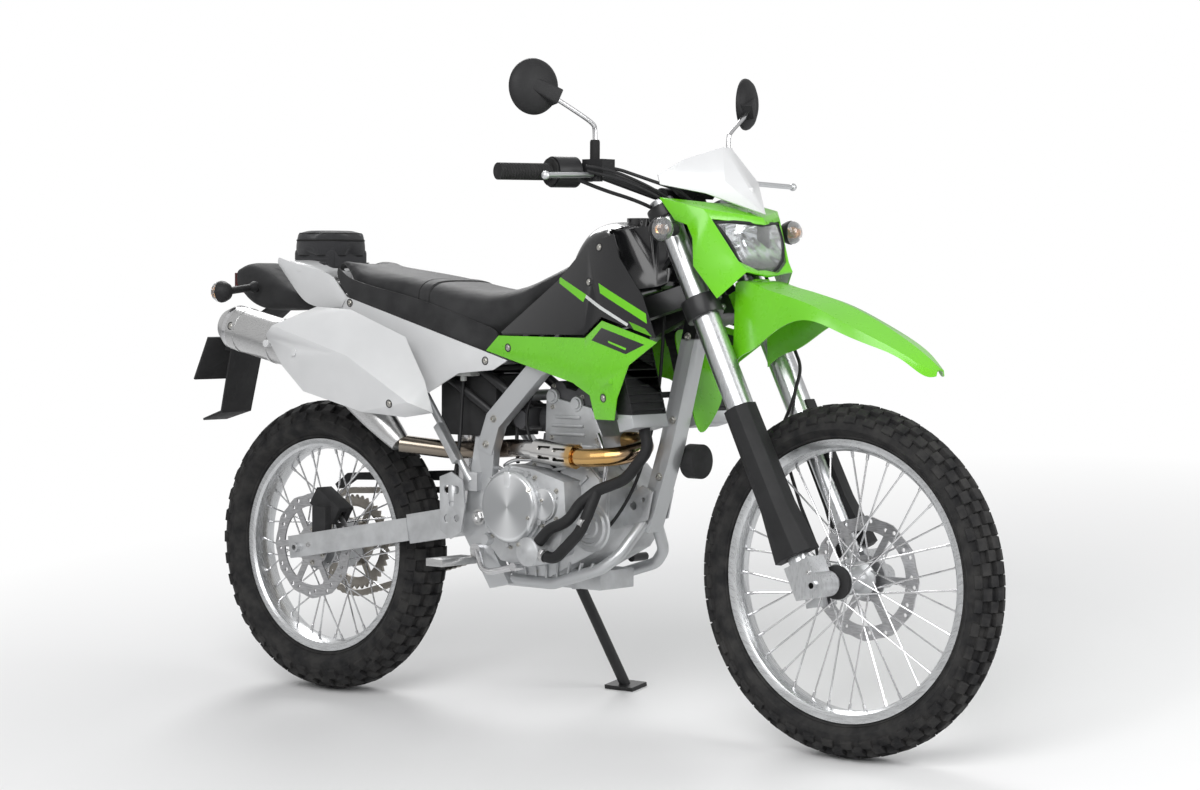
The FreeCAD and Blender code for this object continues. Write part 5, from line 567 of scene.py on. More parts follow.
def mix_finishes():
    colours = bpy.context.scene.ride_colours
    cover, pale = tuple(colours.cover), tuple(colours.pale)
    tank, painted = tuple(colours.tank), tuple(colours.frame)
    table = (
        (tyre_rubber, "tyre_rubber"),
        (glossy_panel, "green_plastic", cover),
        (glossy_panel, "white_plastic", pale, 0.30, 0.25),
        (glossy_panel, "tank_black", tank, 0.16, 0.6),
        (moulded_plastic, "black_plastic", (0.020, 0.020, 0.021)),
        (moulded_plastic, "dull_plastic", (0.032, 0.032, 0.033), 0.72, 900.0),
        (painted_metal, "black_metal", (0.016, 0.016, 0.017), 0.38),
        (frame_with_painted_shade, "frame_grey", painted, 0.30, 0.55),
        (cast_metal, "engine_alloy", (0.56, 0.57, 0.58), 0.40, 0.7),
        (cast_metal, "dark_alloy", (0.085, 0.085, 0.09), 0.5, 0.5),
        (cast_metal, "arm_alloy", (0.58, 0.59, 0.60), 0.36, 0.75),
        (brushed_metal, "fork_silver", (0.62, 0.63, 0.64), 0.26, (40.0, 40.0, 1.0), 10.0),
        (brushed_metal, "rim_alloy", (0.66, 0.67, 0.68), 0.24, (1.0, 30.0, 1.0), 30.0),
        (brushed_metal, "bright_steel", (0.60, 0.60, 0.60), 0.25, (1.0, 60.0, 60.0), 24.0),
        (brushed_metal, "polished_steel", (0.70, 0.70, 0.71), 0.14, (1.0, 9.0, 9.0), 40.0),
        (brushed_metal, "bolt_zinc", (0.52, 0.51, 0.48), 0.32, (9.0, 9.0, 9.0), 60.0),
        (brushed_metal, "chain_steel", (0.30, 0.28, 0.25), 0.36, (12.0, 12.0, 12.0), 60.0),
        (header_steel, "header_steel"),
        (striped_tank, "striped_black", cover),
        (striped_cover, "striped_green", cover),
        (disc_steel, "disc_steel"),
        (seat_vinyl, "seat_vinyl"),
        (bag_cloth, "bag_cloth"),
        (moulded_plastic, "grip_rubber", (0.016, 0.016, 0.016), 0.74, 800.0),
        (lever_set, "lever_set"),
        (ribbed_grip, "ribbed_grip"),
        (round_brushed, "round_brushed"),
        (moulded_plastic, "hose_rubber", (0.018, 0.018, 0.019), 0.50, 1300.0),
        (clear_glass, "lens_clear", (0.97, 0.98, 0.99)),
        (clear_glass, "lens_red", (0.55, 0.012, 0.012), 0.06),
        (clear_glass, "bulb_orange", (0.98, 0.46, 0.12), 0.10),
        (moulded_plastic, "pale_bottle", (0.55, 0.56, 0.54), 0.35),
        (painted_metal, "reflector", (0.80, 0.81, 0.82), 0.10, 0.6),
        (lamp_reflector, "lamp_reflector"),
        (brushed_metal, "mirror_glass", (0.80, 0.82, 0.84), 0.03, (1.0, 1.0, 1.0), 4.0),
        (radiator_core, "radiator_core"),
    )
    for maker, name, *settings in table:
        FINISH[name] = maker(name, *settings).material


NODE_FINISH = {
    "tyre_rubber": ["front_tyre", "rear_tyre"],
    "rim_alloy": ["front_rim", "rear_rim"],
    "engine_alloy": ["front_hub", "rear_hub", "engine_cases", "engine_top", "front_caliper"],
    "dark_alloy": ["head_cover"],
    "disc_steel": ["front_disc", "rear_disc"],
    "chain_steel": ["rear_sprocket", "chain"],
    "fork_silver": ["fork_tubes", "fork_legs"],
    "black_metal": ["triple_clamps", "handlebar", "mirrors", "subframe", "side_stand", "shift_lever"],
    "lever_set": ["controls"],
    "dull_plastic": ["rear_caliper", "chain_guards", "airbox", "plate_holder", "rear_fender", "horn",
                     "instrument"],
    "hose_rubber": ["coolant_hoses", "brake_hose"],
    "black_plastic": ["fork_guards", "front_indicators", "rear_indicators"],
    "ribbed_grip": ["grips"],
    "green_plastic": ["front_fender", "headlamp_mask"],
    "striped_green": ["lower_shrouds"],
    "white_plastic": ["windscreen", "side_covers", "tail_fairing", "muffler_cover"],
    "tank_black": ["fuel_tank"],
    "striped_black": ["upper_shrouds"],
    "lens_clear": ["headlamp"],
    "lens_red": ["tail_lamp"],
    "seat_vinyl": ["seat"],
    "bag_cloth": ["tool_bag"],
    "frame_grey": ["frame"],
    "arm_alloy": ["swingarm", "passenger_hangers"],
    "bright_steel": ["muffler", "footpegs"],
    "header_steel": ["exhaust_pipe"],
    "radiator_core": ["radiators"],
    "polished_steel": ["shock", "brake_pedal"],
}
FINISH_OF = {node: finish for finish, nodes in NODE_FINISH.items() for node in nodes}


def dress(thing, finish):
    thing.data.materials.clear()
    thing.data.materials.append(FINISH[finish])


# Helpers for meshes, all in the upright machine's axes until a piece is finished

JOIN = 1e-6  # corners of a made mesh closer than this are one
CAD_JOIN = 3e-6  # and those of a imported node, whose faces come apart
FLAT = math.radians(3)  # facets that meet flatter than this become one
CORNER = math.radians(28)  # and edges sharper than this are rounded


def helper(name, mesh, *modifiers):
    """A loose object with modifiers, given as (kind, settings) pairs."""
    thing = bpy.data.objects.new(name, mesh)
    bpy.context.scene.collection.objects.link(thing)
    for kind, settings in modifiers:
        modifier = thing.modifiers.new(kind.lower(), kind)
        for word, value in settings.items():
            setattr(modifier, word, value)
    return thing


def shaped(name, mesh, body, finish, smooth=35, replaces=()):
    """A finished piece: its mesh is leaned with the machine and rides on a body."""
    mesh.transform(STANCE)
    thing = helper(name, mesh)
    dress(thing, finish)
    mesh.shade_smooth()
    mesh.set_sharp_from_angle(angle=math.radians(smooth))
    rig.ride(thing, body)
    if replaces:
        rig.replaces(thing, *replaces)
    return thing


def frozen(thing):
    """The evaluated mesh of a helper object, which is then removed."""
    bpy.context.view_layer.update()
    mesh = bpy.data.meshes.new_from_object(thing.evaluated_get(bpy.context.evaluated_depsgraph_get()))
    bpy.data.objects.remove(thing)
    return mesh


def rod_mesh(route, radius, sides=4):
    """A round rod or hose along a smooth route."""
    curve = bpy.data.curves.new("rod", "CURVE")
    curve.dimensions = "3D"
    curve.bevel_depth = radius
    curve.bevel_resolution = sides
    curve.resolution_u = 8
    curve.use_fill_caps = True
    spline = curve.splines.new("NURBS")
    spline.points.add(len(route) - 1)
    for knot, place in zip(spline.points, route):
        knot.co = (*place, 1)
    spline.order_u = 3
    spline.use_endpoint_u = True
    return frozen(helper("rod", curve))


def mm(x, y, z):
    """A place on the upright machine, given in millimetres."""
    return Vector((x, y, z)) / 1000


def mesh_of(work):
    """The mesh of a bmesh, which is freed."""
    mesh = bpy.data.meshes.new("mesh")
    work.to_mesh(mesh)
    work.free()
    return mesh


def built(work):
    """The mesh of a bmesh, merged and with its faces turned outwards."""
    bmesh.ops.remove_doubles(work, verts=work.verts, dist=JOIN)
    bmesh.ops.recalc_face_normals(work, faces=work.faces)
    return mesh_of(work)


def solid_mesh(points, faces):
    """A mesh from points in millimetres."""
    work = bmesh.new()
    corners = [work.verts.new(Vector(point) / 1000) for point in points]
    for face in faces:
        work.faces.new([corners[i] for i in face])
    return built(work)


def turned_mesh(profile, sides, hollow=False, axis="Y"):
    """A profile of (radius, along) turned about an axis, "-Y" for the machine's right side; a hollow one is
    the closed section of a ring."""
    points, faces = [], []
    count = len(profile)
    for step in range(sides):
        angle = 2 * math.pi * step / sides
        points += [(r * math.cos(angle), y, r * math.sin(angle)) for r, y in profile]
    for step in range(sides):
        here, after = step * count, (step + 1) % sides * count
        for k in range(count if hollow else count - 1):
            n = (k + 1) % count
            faces.append((here + k, here + n, after + n, after + k))
    mesh = solid_mesh(points, faces)
    if axis == "-Y":
        mesh.transform(Matrix.Rotation(math.pi, 4, "X"))
    elif axis != "Y":
        way = {"X": (1, 0, 0), "Z": (0, 0, 1)}[axis]
        mesh.transform(Vector((0, 1, 0)).rotation_difference(Vector(way)).to_matrix().to_4x4())
    return mesh


def merged(*meshes):
    """Several meshes as one."""
    work = bmesh.new()
    for mesh in meshes:
        work.from_mesh(mesh)
    return mesh_of(work)


def joined(name, meshes, body, finish, smooth=35, replaces=()):
    """One finished piece from several meshes."""
    shaped(name, merged(*meshes), body, finish, smooth, replaces)


def grid_faces(rows, count):
    """The faces of a grid with a count of points in each row."""
    return [(r * count + k, r * count + k + 1, (r + 1) * count + k + 1, (r + 1) * count + k)
            for r in range(rows - 1) for k in range(count - 1)]


def placed(mesh, place, turn=None):
    """The mesh moved to a place in metres, after a turn given as a matrix."""
    if turn is not None:
        mesh.transform(turn.to_4x4())
    mesh.transform(Matrix.Translation(place))
    return mesh


def plate_mesh(outlines, thick, bevel=0.5):
    """A flat plate in the XZ plane from outlines in millimetres; those after the first are holes."""
    curve = bpy.data.curves.new("plate", "CURVE")
    curve.dimensions = "2D"
    curve.fill_mode = "BOTH"
    curve.extrude = (thick / 2 - bevel) / 1000
    curve.bevel_depth = bevel / 1000
    curve.offset = -bevel / 1000
    curve.bevel_resolution = 1
    for outline in outlines:
        spline = curve.splines.new("POLY")
        spline.points.add(len(outline) - 1)
        for knot, (x, z) in zip(spline.points, outline):
            knot.co = (x / 1000, z / 1000, 0, 1)
        spline.use_cyclic_u = True
    work = bmesh.new()
    work.from_mesh(frozen(helper("plate", curve)))
    mesh = built(work)
    mesh.transform(Matrix.Rotation(math.pi / 2, 4, "X"))
    return mesh


def round_outline(radius, sides, centre):
    turns = [2 * math.pi * i / sides for i in range(sides)]
    return [(centre[0] + radius * math.cos(a), centre[1] + radius * math.sin(a)) for a in turns]


def block_mesh(size, bevel, segments=2):
    """A box of a size in millimetres about the origin, with rounded edges."""
    work = bmesh.new()
    bmesh.ops.create_cube(work, size=1.0)
    bmesh.ops.scale(work, vec=Vector(size) / 1000, verts=work.verts)
    bmesh.ops.bevel(work, geom=work.edges[:], offset=bevel / 1000, segments=segments, affect="EDGES",
                    profile=0.5)
    return built(work)


def facing(normal):
    """The turn that takes +Y to a direction and keeps Z as near to up as it can."""
    y = Vector(normal).normalized()
    x = y.cross(Vector((0, 0, 1))).normalized()
    return Matrix((x, y, x.cross(y))).transposed()


def node_work(name, turn):
    """A CAD node's own mesh as a bmesh, merged and turned from the row's frame."""
    node = frame["nodes"][name]
    work = bmesh.new()
    work.from_mesh(node.data)
    work.transform(turn @ node.matrix_world)
    bmesh.ops.remove_doubles(work, verts=work.verts, dist=CAD_JOIN)
    return work


def softened(name, width, segments):
    """A copy of a CAD node with its facets merged and its sharp edges rounded, which stands for the node."""
    work = node_work(name, Matrix())
    bmesh.ops.dissolve_limit(work, angle_limit=FLAT, verts=work.verts, edges=work.edges)
    settings = {"width": width / 1000, "segments": segments, "limit_method": "ANGLE", "angle_limit": CORNER,
                "use_clamp_overlap": True, "miter_outer": "MITER_ARC"}
    mesh = frozen(helper(name, mesh_of(work), ("BEVEL", settings)))
    mesh.transform(UPRIGHT)
    shaped(f"{name}_soft", mesh, NODE_BODY[name], FINISH_OF[name], 40, [name])


TREES = {}


def item_tree(name, given_words):
    """Geometry nodes that stand an item on points, turn it, make it real and give it one finish."""
    tree = bpy.data.node_groups.new(name, "GeometryNodeTree")
    new_socket = tree.interface.new_socket
    sockets = {word: new_socket(word, in_out="INPUT", socket_type=f"NodeSocket{kind}").identifier
               for word, kind in given_words}
    new_socket("Geometry", in_out="OUTPUT", socket_type="NodeSocketGeometry")
    add, link = tree.nodes.new, tree.links.new
    given, out = add("NodeGroupInput"), add("NodeGroupOutput")
    item, stand = add("GeometryNodeObjectInfo"), add("GeometryNodeInstanceOnPoints")
    real, paint = add("GeometryNodeRealizeInstances"), add("GeometryNodeSetMaterial")
    link(given.outputs["Item"], item.inputs["Object"])
    link(item.outputs["Geometry"], stand.inputs["Instance"])
    link(stand.outputs[0], real.inputs[0])
    link(real.outputs[0], paint.inputs["Geometry"])
    link(given.outputs["Finish"], paint.inputs["Material"])
    link(paint.outputs[0], out.inputs[0])
    return tree, sockets, given, stand


def ring_tree():
    """Copies of an item stand round the Y axis."""
    tree, sockets, given, stand = item_tree("ring_of_items", (
        ("Item", "Object"), ("Count", "Int"), ("Finish", "Material")))
    add, link = tree.nodes.new, tree.links.new
    points, index = add("GeometryNodePoints"), add("GeometryNodeInputIndex")
    share, angle, turn = add("ShaderNodeMath"), add("ShaderNodeMath"), add("ShaderNodeCombineXYZ")
    share.operation = "DIVIDE"
    angle.operation = "MULTIPLY"
    angle.inputs[1].default_value = 2 * math.pi
    link(given.outputs["Count"], points.inputs["Count"])
    link(index.outputs[0], share.inputs[0])
    link(given.outputs["Count"], share.inputs[1])
    link(share.outputs[0], angle.inputs[0])
    link(angle.outputs[0], turn.inputs["Y"])
    link(points.outputs[0], stand.inputs["Points"])
    link(turn.outputs[0], stand.inputs["Rotation"])
    return tree, sockets


def seat_tree():
    """An item stands on each vertex, its Y axis turned along the vertex's facing."""
    tree, sockets, given, stand = item_tree("items_on_seats", (
        ("Geometry", "Geometry"), ("Item", "Object"), ("Finish", "Material")))
    add, link = tree.nodes.new, tree.links.new
    along, turn = add("GeometryNodeInputNamedAttribute"), add("FunctionNodeAlignRotationToVector")
    along.data_type = "FLOAT_VECTOR"
    along.inputs["Name"].default_value = "facing"
    turn.axis = "Y"
    link(along.outputs[0], turn.inputs["Vector"])
    link(given.outputs["Geometry"], stand.inputs["Points"])
    link(turn.outputs[0], stand.inputs["Rotation"])
    return tree, sockets


def grown(mesh, maker, item, values):
    """The real mesh of an item that a node group stands on a mesh."""
    if maker not in TREES:
        TREES[maker] = maker()
    tree, sockets = TREES[maker]
    seed = helper("item", item)
    thing = helper("grown", mesh)
    modifier = thing.modifiers.new("grown", "NODES")
    modifier.node_group = tree
    for word, value in {"Item": seed, **values}.items():
        modifier[sockets[word]] = value
    made = frozen(thing)
    bpy.data.objects.remove(seed)
    return made


def ring_of(item, count, finish):
    """The real mesh of a count of items round the Y axis."""
    return grown(bpy.data.meshes.new("ring"), ring_tree, item, {"Count": count, "Finish": FINISH[finish]})


def surface_of(mesh):
    """The mesh as a tree that rays can be cast on."""
    work = bmesh.new()
    work.from_mesh(mesh)
    tree = BVHTree.FromBMesh(work)
    work.free()
    return tree


def struck(tree, start, target, lift=0.0):
    """The place, lifted off a surface, where the way from a start to a target in millimetres meets it, and
    the normal there."""
    start, target = Vector(start) / 1000, Vector(target) / 1000
    place, normal, _, _ = tree.ray_cast(start, (target - start).normalized(), (target - start).length)
    if place is None:
        return None, None
    if normal.dot(start - target) < 0:
        normal = -normal
    return place + normal * lift / 1000, normal


def node_surface(name):
    """A CAD node as a tree that rays can be cast on, in the upright machine's axes."""
    return surface_of(mesh_of(node_work(name, UPRIGHT)))


def on_seats(item, seats, finish):
    """Copies of an item, each on a seat given as (place in metres, direction)."""
    mesh = bpy.data.meshes.new("seats")
    mesh.from_pydata([place for place, _ in seats], [], [])
    facing_values = mesh.attributes.new("facing", "FLOAT_VECTOR", "POINT")
    facing_values.data.foreach_set("vector", [value for _, way in seats for value in way])
    return grown(mesh, seat_tree, item, {"Finish": FINISH[finish]})


def screw_mesh(radius, high, hexagon=False):
    """A screw's head that sits on the XZ plane: a washer, a head and its socket."""
    sides = 6 if hexagon else 14
    washer = turned_mesh([(0, -0.6), (radius * 1.35, -0.6), (radius * 1.35, 0.4), (radius, 0.6)], 14)
    head = turned_mesh([(radius, 0.0), (radius, high * 0.75), (radius * 0.84, high), (radius * 0.5, high),
                        (radius * 0.45, high * 0.4), (0, high * 0.4)], sides)
    return merged(washer, head)


def screws(name, body, seats, radius, high, finish="bolt_zinc", hexagon=False):
    """Screw heads of one size on one body; seats are (x, y, z, direction) in millimetres."""
    places = [(mm(x, y, z), Vector(way).normalized()) for x, y, z, way in seats]
    mesh = on_seats(screw_mesh(radius, high, hexagon), places, finish)
    shaped(name, mesh, body, finish)


def seats_on(node, spots, sides=(RIGHT, LEFT)):
    """Seats on a CAD node under spots (x, z), looked at from the machine's sides."""
    tree = node_surface(node)
    seats = []
    for side in sides:
        for x, z in spots:
            place, normal = struck(tree, (x, side * 420, z), (x, 0, z))
            if place is not None:
                seats.append((*(place * 1000), normal))
    return seats


def bolted(name, node, spots, *settings):
    """Screws on a CAD node, on the body that carries it."""
    screws(name, NODE_BODY[node], seats_on(node, spots), *settings)


class RIDE_OT_finishes(bpy.types.Operator):
    """Give every carried-over piece its finish"""
    bl_idname = "ride.finishes"
    bl_label = "Finishes"

    def execute(self, context):
        mix_finishes()
        for name, thing in frame["nodes"].items():
            dress(thing, FINISH_OF[name])
            thing.data.shade_smooth()
            thing.data.set_sharp_from_angle(angle=math.radians(32))
        return {"FINISHED"}


class RideWheels(bpy.types.PropertyGroup):
    """Counts and sizes of the wheels' own detail."""
    front_pitches: IntProperty(name="Front tread", description="Rows of blocks round the front tyre",
                               default=44)
    rear_pitches: IntProperty(name="Rear tread", description="Rows of blocks round the rear tyre",
                              default=38)
    block_high: FloatProperty(name="Block height", description="Height of a tread block", default=0.008,
                              unit="LENGTH")
    spokes: IntProperty(name="Spokes", description="Spokes in a wheel, in groups of four", default=36)
    spoke: FloatProperty(name="Spoke radius", description="Half of a spoke's thickness", default=0.0019,
                         unit="LENGTH")


class Wheel:
    """The fixed sizes of one wheel, in millimetres, as its frame has them."""

    def __init__(self, end, hub, **sizes):
        self.end, self.hub, self.body = end, hub, f"{end}_wheel"
        for word, value in sizes.items():
            setattr(self, word, value)


WHEELS = (Wheel("front", FRONT_HUB, tyre=348, wide=86, crown=45, rim=279, rim_wide=50, core=22, flange=36,
                hub_long=80, bore=10.05, disc_y=58),
          Wheel("rear", REAR_HUB, tyre=328, wide=120, crown=54, rim=242, rim_wide=68, core=32, flange=56,
                hub_long=92, bore=11.05, disc_y=-64))
ROUND = 0.60  # how far the tread falls to the tyre's side, as a share of the tyre's height
# Blocks of one row: share of a pitch ahead, turn across the tyre, length and width as shares
TREAD = ((0.0, 0.0, 0.50, 0.27), (0.5, 0.36, 0.44, 0.20), (0.5, -0.36, 0.44, 0.20), (0.02, 0.69, 0.50, 0.21),
         (0.02, -0.69, 0.50, 0.21), (0.5, 1.05, 0.56, 0.19), (0.5, -1.05, 0.56, 0.19))


class RIDE_OT_wheels(bpy.types.Operator):
    """Make the tyres with block tread, the rims, the laced spokes and the hubs"""
    bl_idname = "ride.wheels"
    bl_label = "Wheels"

    def execute(self, context):
        sizes = context.scene.ride_wheels
        for wheel in WHEELS:
            pitches = sizes.front_pitches if wheel.end == "front" else sizes.rear_pitches
            self.tyre(wheel, pitches, sizes.block_high * 1000)
            self.rim(wheel)
            self.hub(wheel, sizes)
        return {"FINISHED"}

    def fit(self, wheel, word, mesh, finish, smooth, node):
        """A finished piece about a wheel's hub that stands for one of its nodes."""
        shaped(f"{wheel.end}_{word}", placed(mesh, wheel.hub), wheel.body, finish, smooth,
               [f"{wheel.end}_{node}"])

    def crown_place(self, wheel, angle, low):
        """A place on the tyre's outer skin at an angle from its middle: radius and across."""
        rise = (wheel.tyre - wheel.rim) * ROUND
        return low - rise * (1 - math.cos(angle)), (wheel.wide / 2 - 3) * math.sin(angle)

    def tyre(self, wheel, pitches, high):
        low = wheel.tyre - high
        skin = [self.crown_place(wheel, math.radians(a), low) for a in range(0, 91, 9)]
        rim, half_rim, half_wide, rise = wheel.rim, wheel.rim_wide / 2, wheel.wide / 2, wheel.tyre - wheel.rim
        bead = half_rim - 4.5
        half = skin + [
            (rim + rise * 0.26, half_wide - 5.2), (rim + rise * 0.10, half_rim + 3.2),
            (rim + rise * 0.075, half_rim + 4.2), (rim + rise * 0.045, half_rim + 3.0), (rim + 0.8, bead),
            (rim - 11.4, bead), (rim - 11.4, bead - 8), (rim + rise * 0.55, half_wide * 0.72),
            (low - 10, wheel.crown * 0.25)]
        ring = half + [(r, -y) for r, y in reversed(half) if y > 0.01]
        carcass = turned_mesh(ring, 168, True)
        pitch = 2 * math.pi / pitches
        blocks = []
        for shift, angle, long, wide in TREAD:
            radius, across = self.crown_place(wheel, angle, low)
            tall = high if abs(angle) < 0.9 else high * 0.55
            block = block_mesh((tall + 3, half_wide * wide * 1.9, pitch * radius * long), 0.9, 1)
            for vert in block.vertices:
                if vert.co.x < 0:
                    vert.co.y *= 1.14
                    vert.co.z *= 1.10
            lean = math.atan2(math.sin(angle) * rise * ROUND, half_wide * math.cos(angle))
            block.transform(Matrix.Rotation(lean, 4, "Z"))
            out = Vector((math.cos(lean), math.sin(lean), 0))
            block.transform(Matrix.Translation(Vector((radius, across, 0)) / 1000 + out * (tall - 3) / 2000))
            block.transform(Matrix.Rotation(shift * pitch, 4, "Y"))
            blocks.append(block)
        tread = ring_of(merged(*blocks), pitches, "tyre_rubber")
        self.fit(wheel, "tyre_tread", merged(carcass, tread), "tyre_rubber", 32, "tyre")

    def rim(self, wheel):
        r, w = wheel.rim, wheel.rim_wide / 2
        outer = [(r, w), (r, w - 2.6), (r - 10.5, w - 4), (r - 12.5, w - 9), (r - 20, w * 0.38),
                 (r - 21, 0.01)]
        inner = [(r - 24, 0.01), (r - 23.4, w * 0.42), (r - 17, w * 0.86), (r - 11, w - 0.6), (r - 3, w),
                 (r - 1, w)]
        ring = outer + [(a, -y) for a, y in reversed(outer)][1:]
        ring += [(a, -y) for a, y in reversed(inner)] + inner[1:]
        self.fit(wheel, "rim_band", turned_mesh(ring, 168, True), "rim_alloy", 28, "rim")

    def hub(self, wheel, sizes):
        end, thick = wheel.hub_long / 2, 5
        core, flange = wheel.core, wheel.flange
        half = [(wheel.bore, end), (wheel.bore + 7, end), (wheel.bore + 8, end - 0.8),
                (flange - 14, end - 0.8), (flange - 2, end), (flange, end - 1.5),
                (flange, end - thick + 1.5), (flange - 1.5, end - thick), (core + 4, end - thick - 5),
                (core * 0.92, end - thick - 12), (core * 0.80, 0)]
        ring = half + [(r, -y) for r, y in reversed(half)][1:]
        self.fit(wheel, "hub_core", turned_mesh(ring, 72, True), "engine_alloy", 35, "hub")
        four = []
        for k in range(4):
            side = LEFT if k % 2 else RIGHT
            lean = 1 if k < 2 else -1
            turn = 2 * math.pi * k / sizes.spokes
            root_turn = turn - math.radians(50) * lean
            root = Vector((math.cos(root_turn), 0, math.sin(root_turn))) * (flange - 6)
            root.y = side * (end - (1.0 if lean > 0 else 4.0))
            tip = Vector((math.cos(turn), 0, math.sin(turn))) * (wheel.rim - 23)
            tip.y = side * wheel.rim_wide * 0.085
            four.append(self.spoke(root, tip, sizes.spoke * 1000))
        spokes = ring_of(merged(*four), sizes.spokes // 4, "polished_steel")
        self.fit(wheel, "spokes", spokes, "polished_steel", 40, "hub")

    def spoke(self, root, tip, radius):
        """A spoke with its head and its nipple, which is a little thicker."""
        run = (tip - root).normalized()
        turn = run.to_track_quat("Y", "Z").to_matrix()
        long = (tip - root).length
        wire = turned_mesh([(0, -3), (radius * 1.6, -3), (radius * 1.6, -1), (radius, 0),
                            (radius, long - 14), (radius * 1.7, long - 13), (radius * 1.7, long),
                            (0, long)], 8)
        return placed(wire, root / 1000, turn)


SOFT_EDGES = (
    (0.8, 2, ["front_caliper", "rear_caliper", "footpegs", "rear_sprocket", "passenger_hangers"]),
    (1.6, 2, ["engine_cases", "engine_top", "head_cover", "triple_clamps", "subframe", "plate_holder",
              "horn"]),
    (2.5, 3, ["frame", "swingarm", "airbox", "rear_fender", "tail_fairing"]),
    (1.4, 2, ["windscreen", "headlamp_mask", "upper_shrouds", "lower_shrouds", "radiators"]),
    (4.0, 3, ["fork_guards", "side_covers", "muffler_cover", "muffler"]),
    (6.0, 3, ["fuel_tank"]),
)


class RIDE_OT_edges(bpy.types.Operator):
    """Round the sharp edges of the pieces that keep their solids' form"""
    bl_idname = "ride.edges"
    bl_label = "Rounded edges"

    def execute(self, context):
        for width, segments, names in SOFT_EDGES:
            for name in names:
                softened(name, width, segments)
        return {"FINISHED"}


class RideSoft(bpy.types.PropertyGroup):
    """How the seat and the tool bag are stuffed and sewn."""
    seat_cell: FloatProperty(name="Seat cell", description="Voxel of the seat's cushion", default=0.007,
                             unit="LENGTH")
    bag_cell: FloatProperty(name="Bag cell", description="Voxel of the tool bag", default=0.0045,
                            unit="LENGTH")
    seat_swell: FloatProperty(name="Seat swell", description="Most that the seat bulges", default=0.0035,
                              unit="LENGTH")
    bag_swell: FloatProperty(name="Bag swell", description="Most that the bag bulges", default=0.006,
                             unit="LENGTH")
    piping: FloatProperty(name="Piping", description="Half the thickness of a sewn cord", default=0.0018,
                          unit="LENGTH")


STUFFING = 16  # frames of cloth


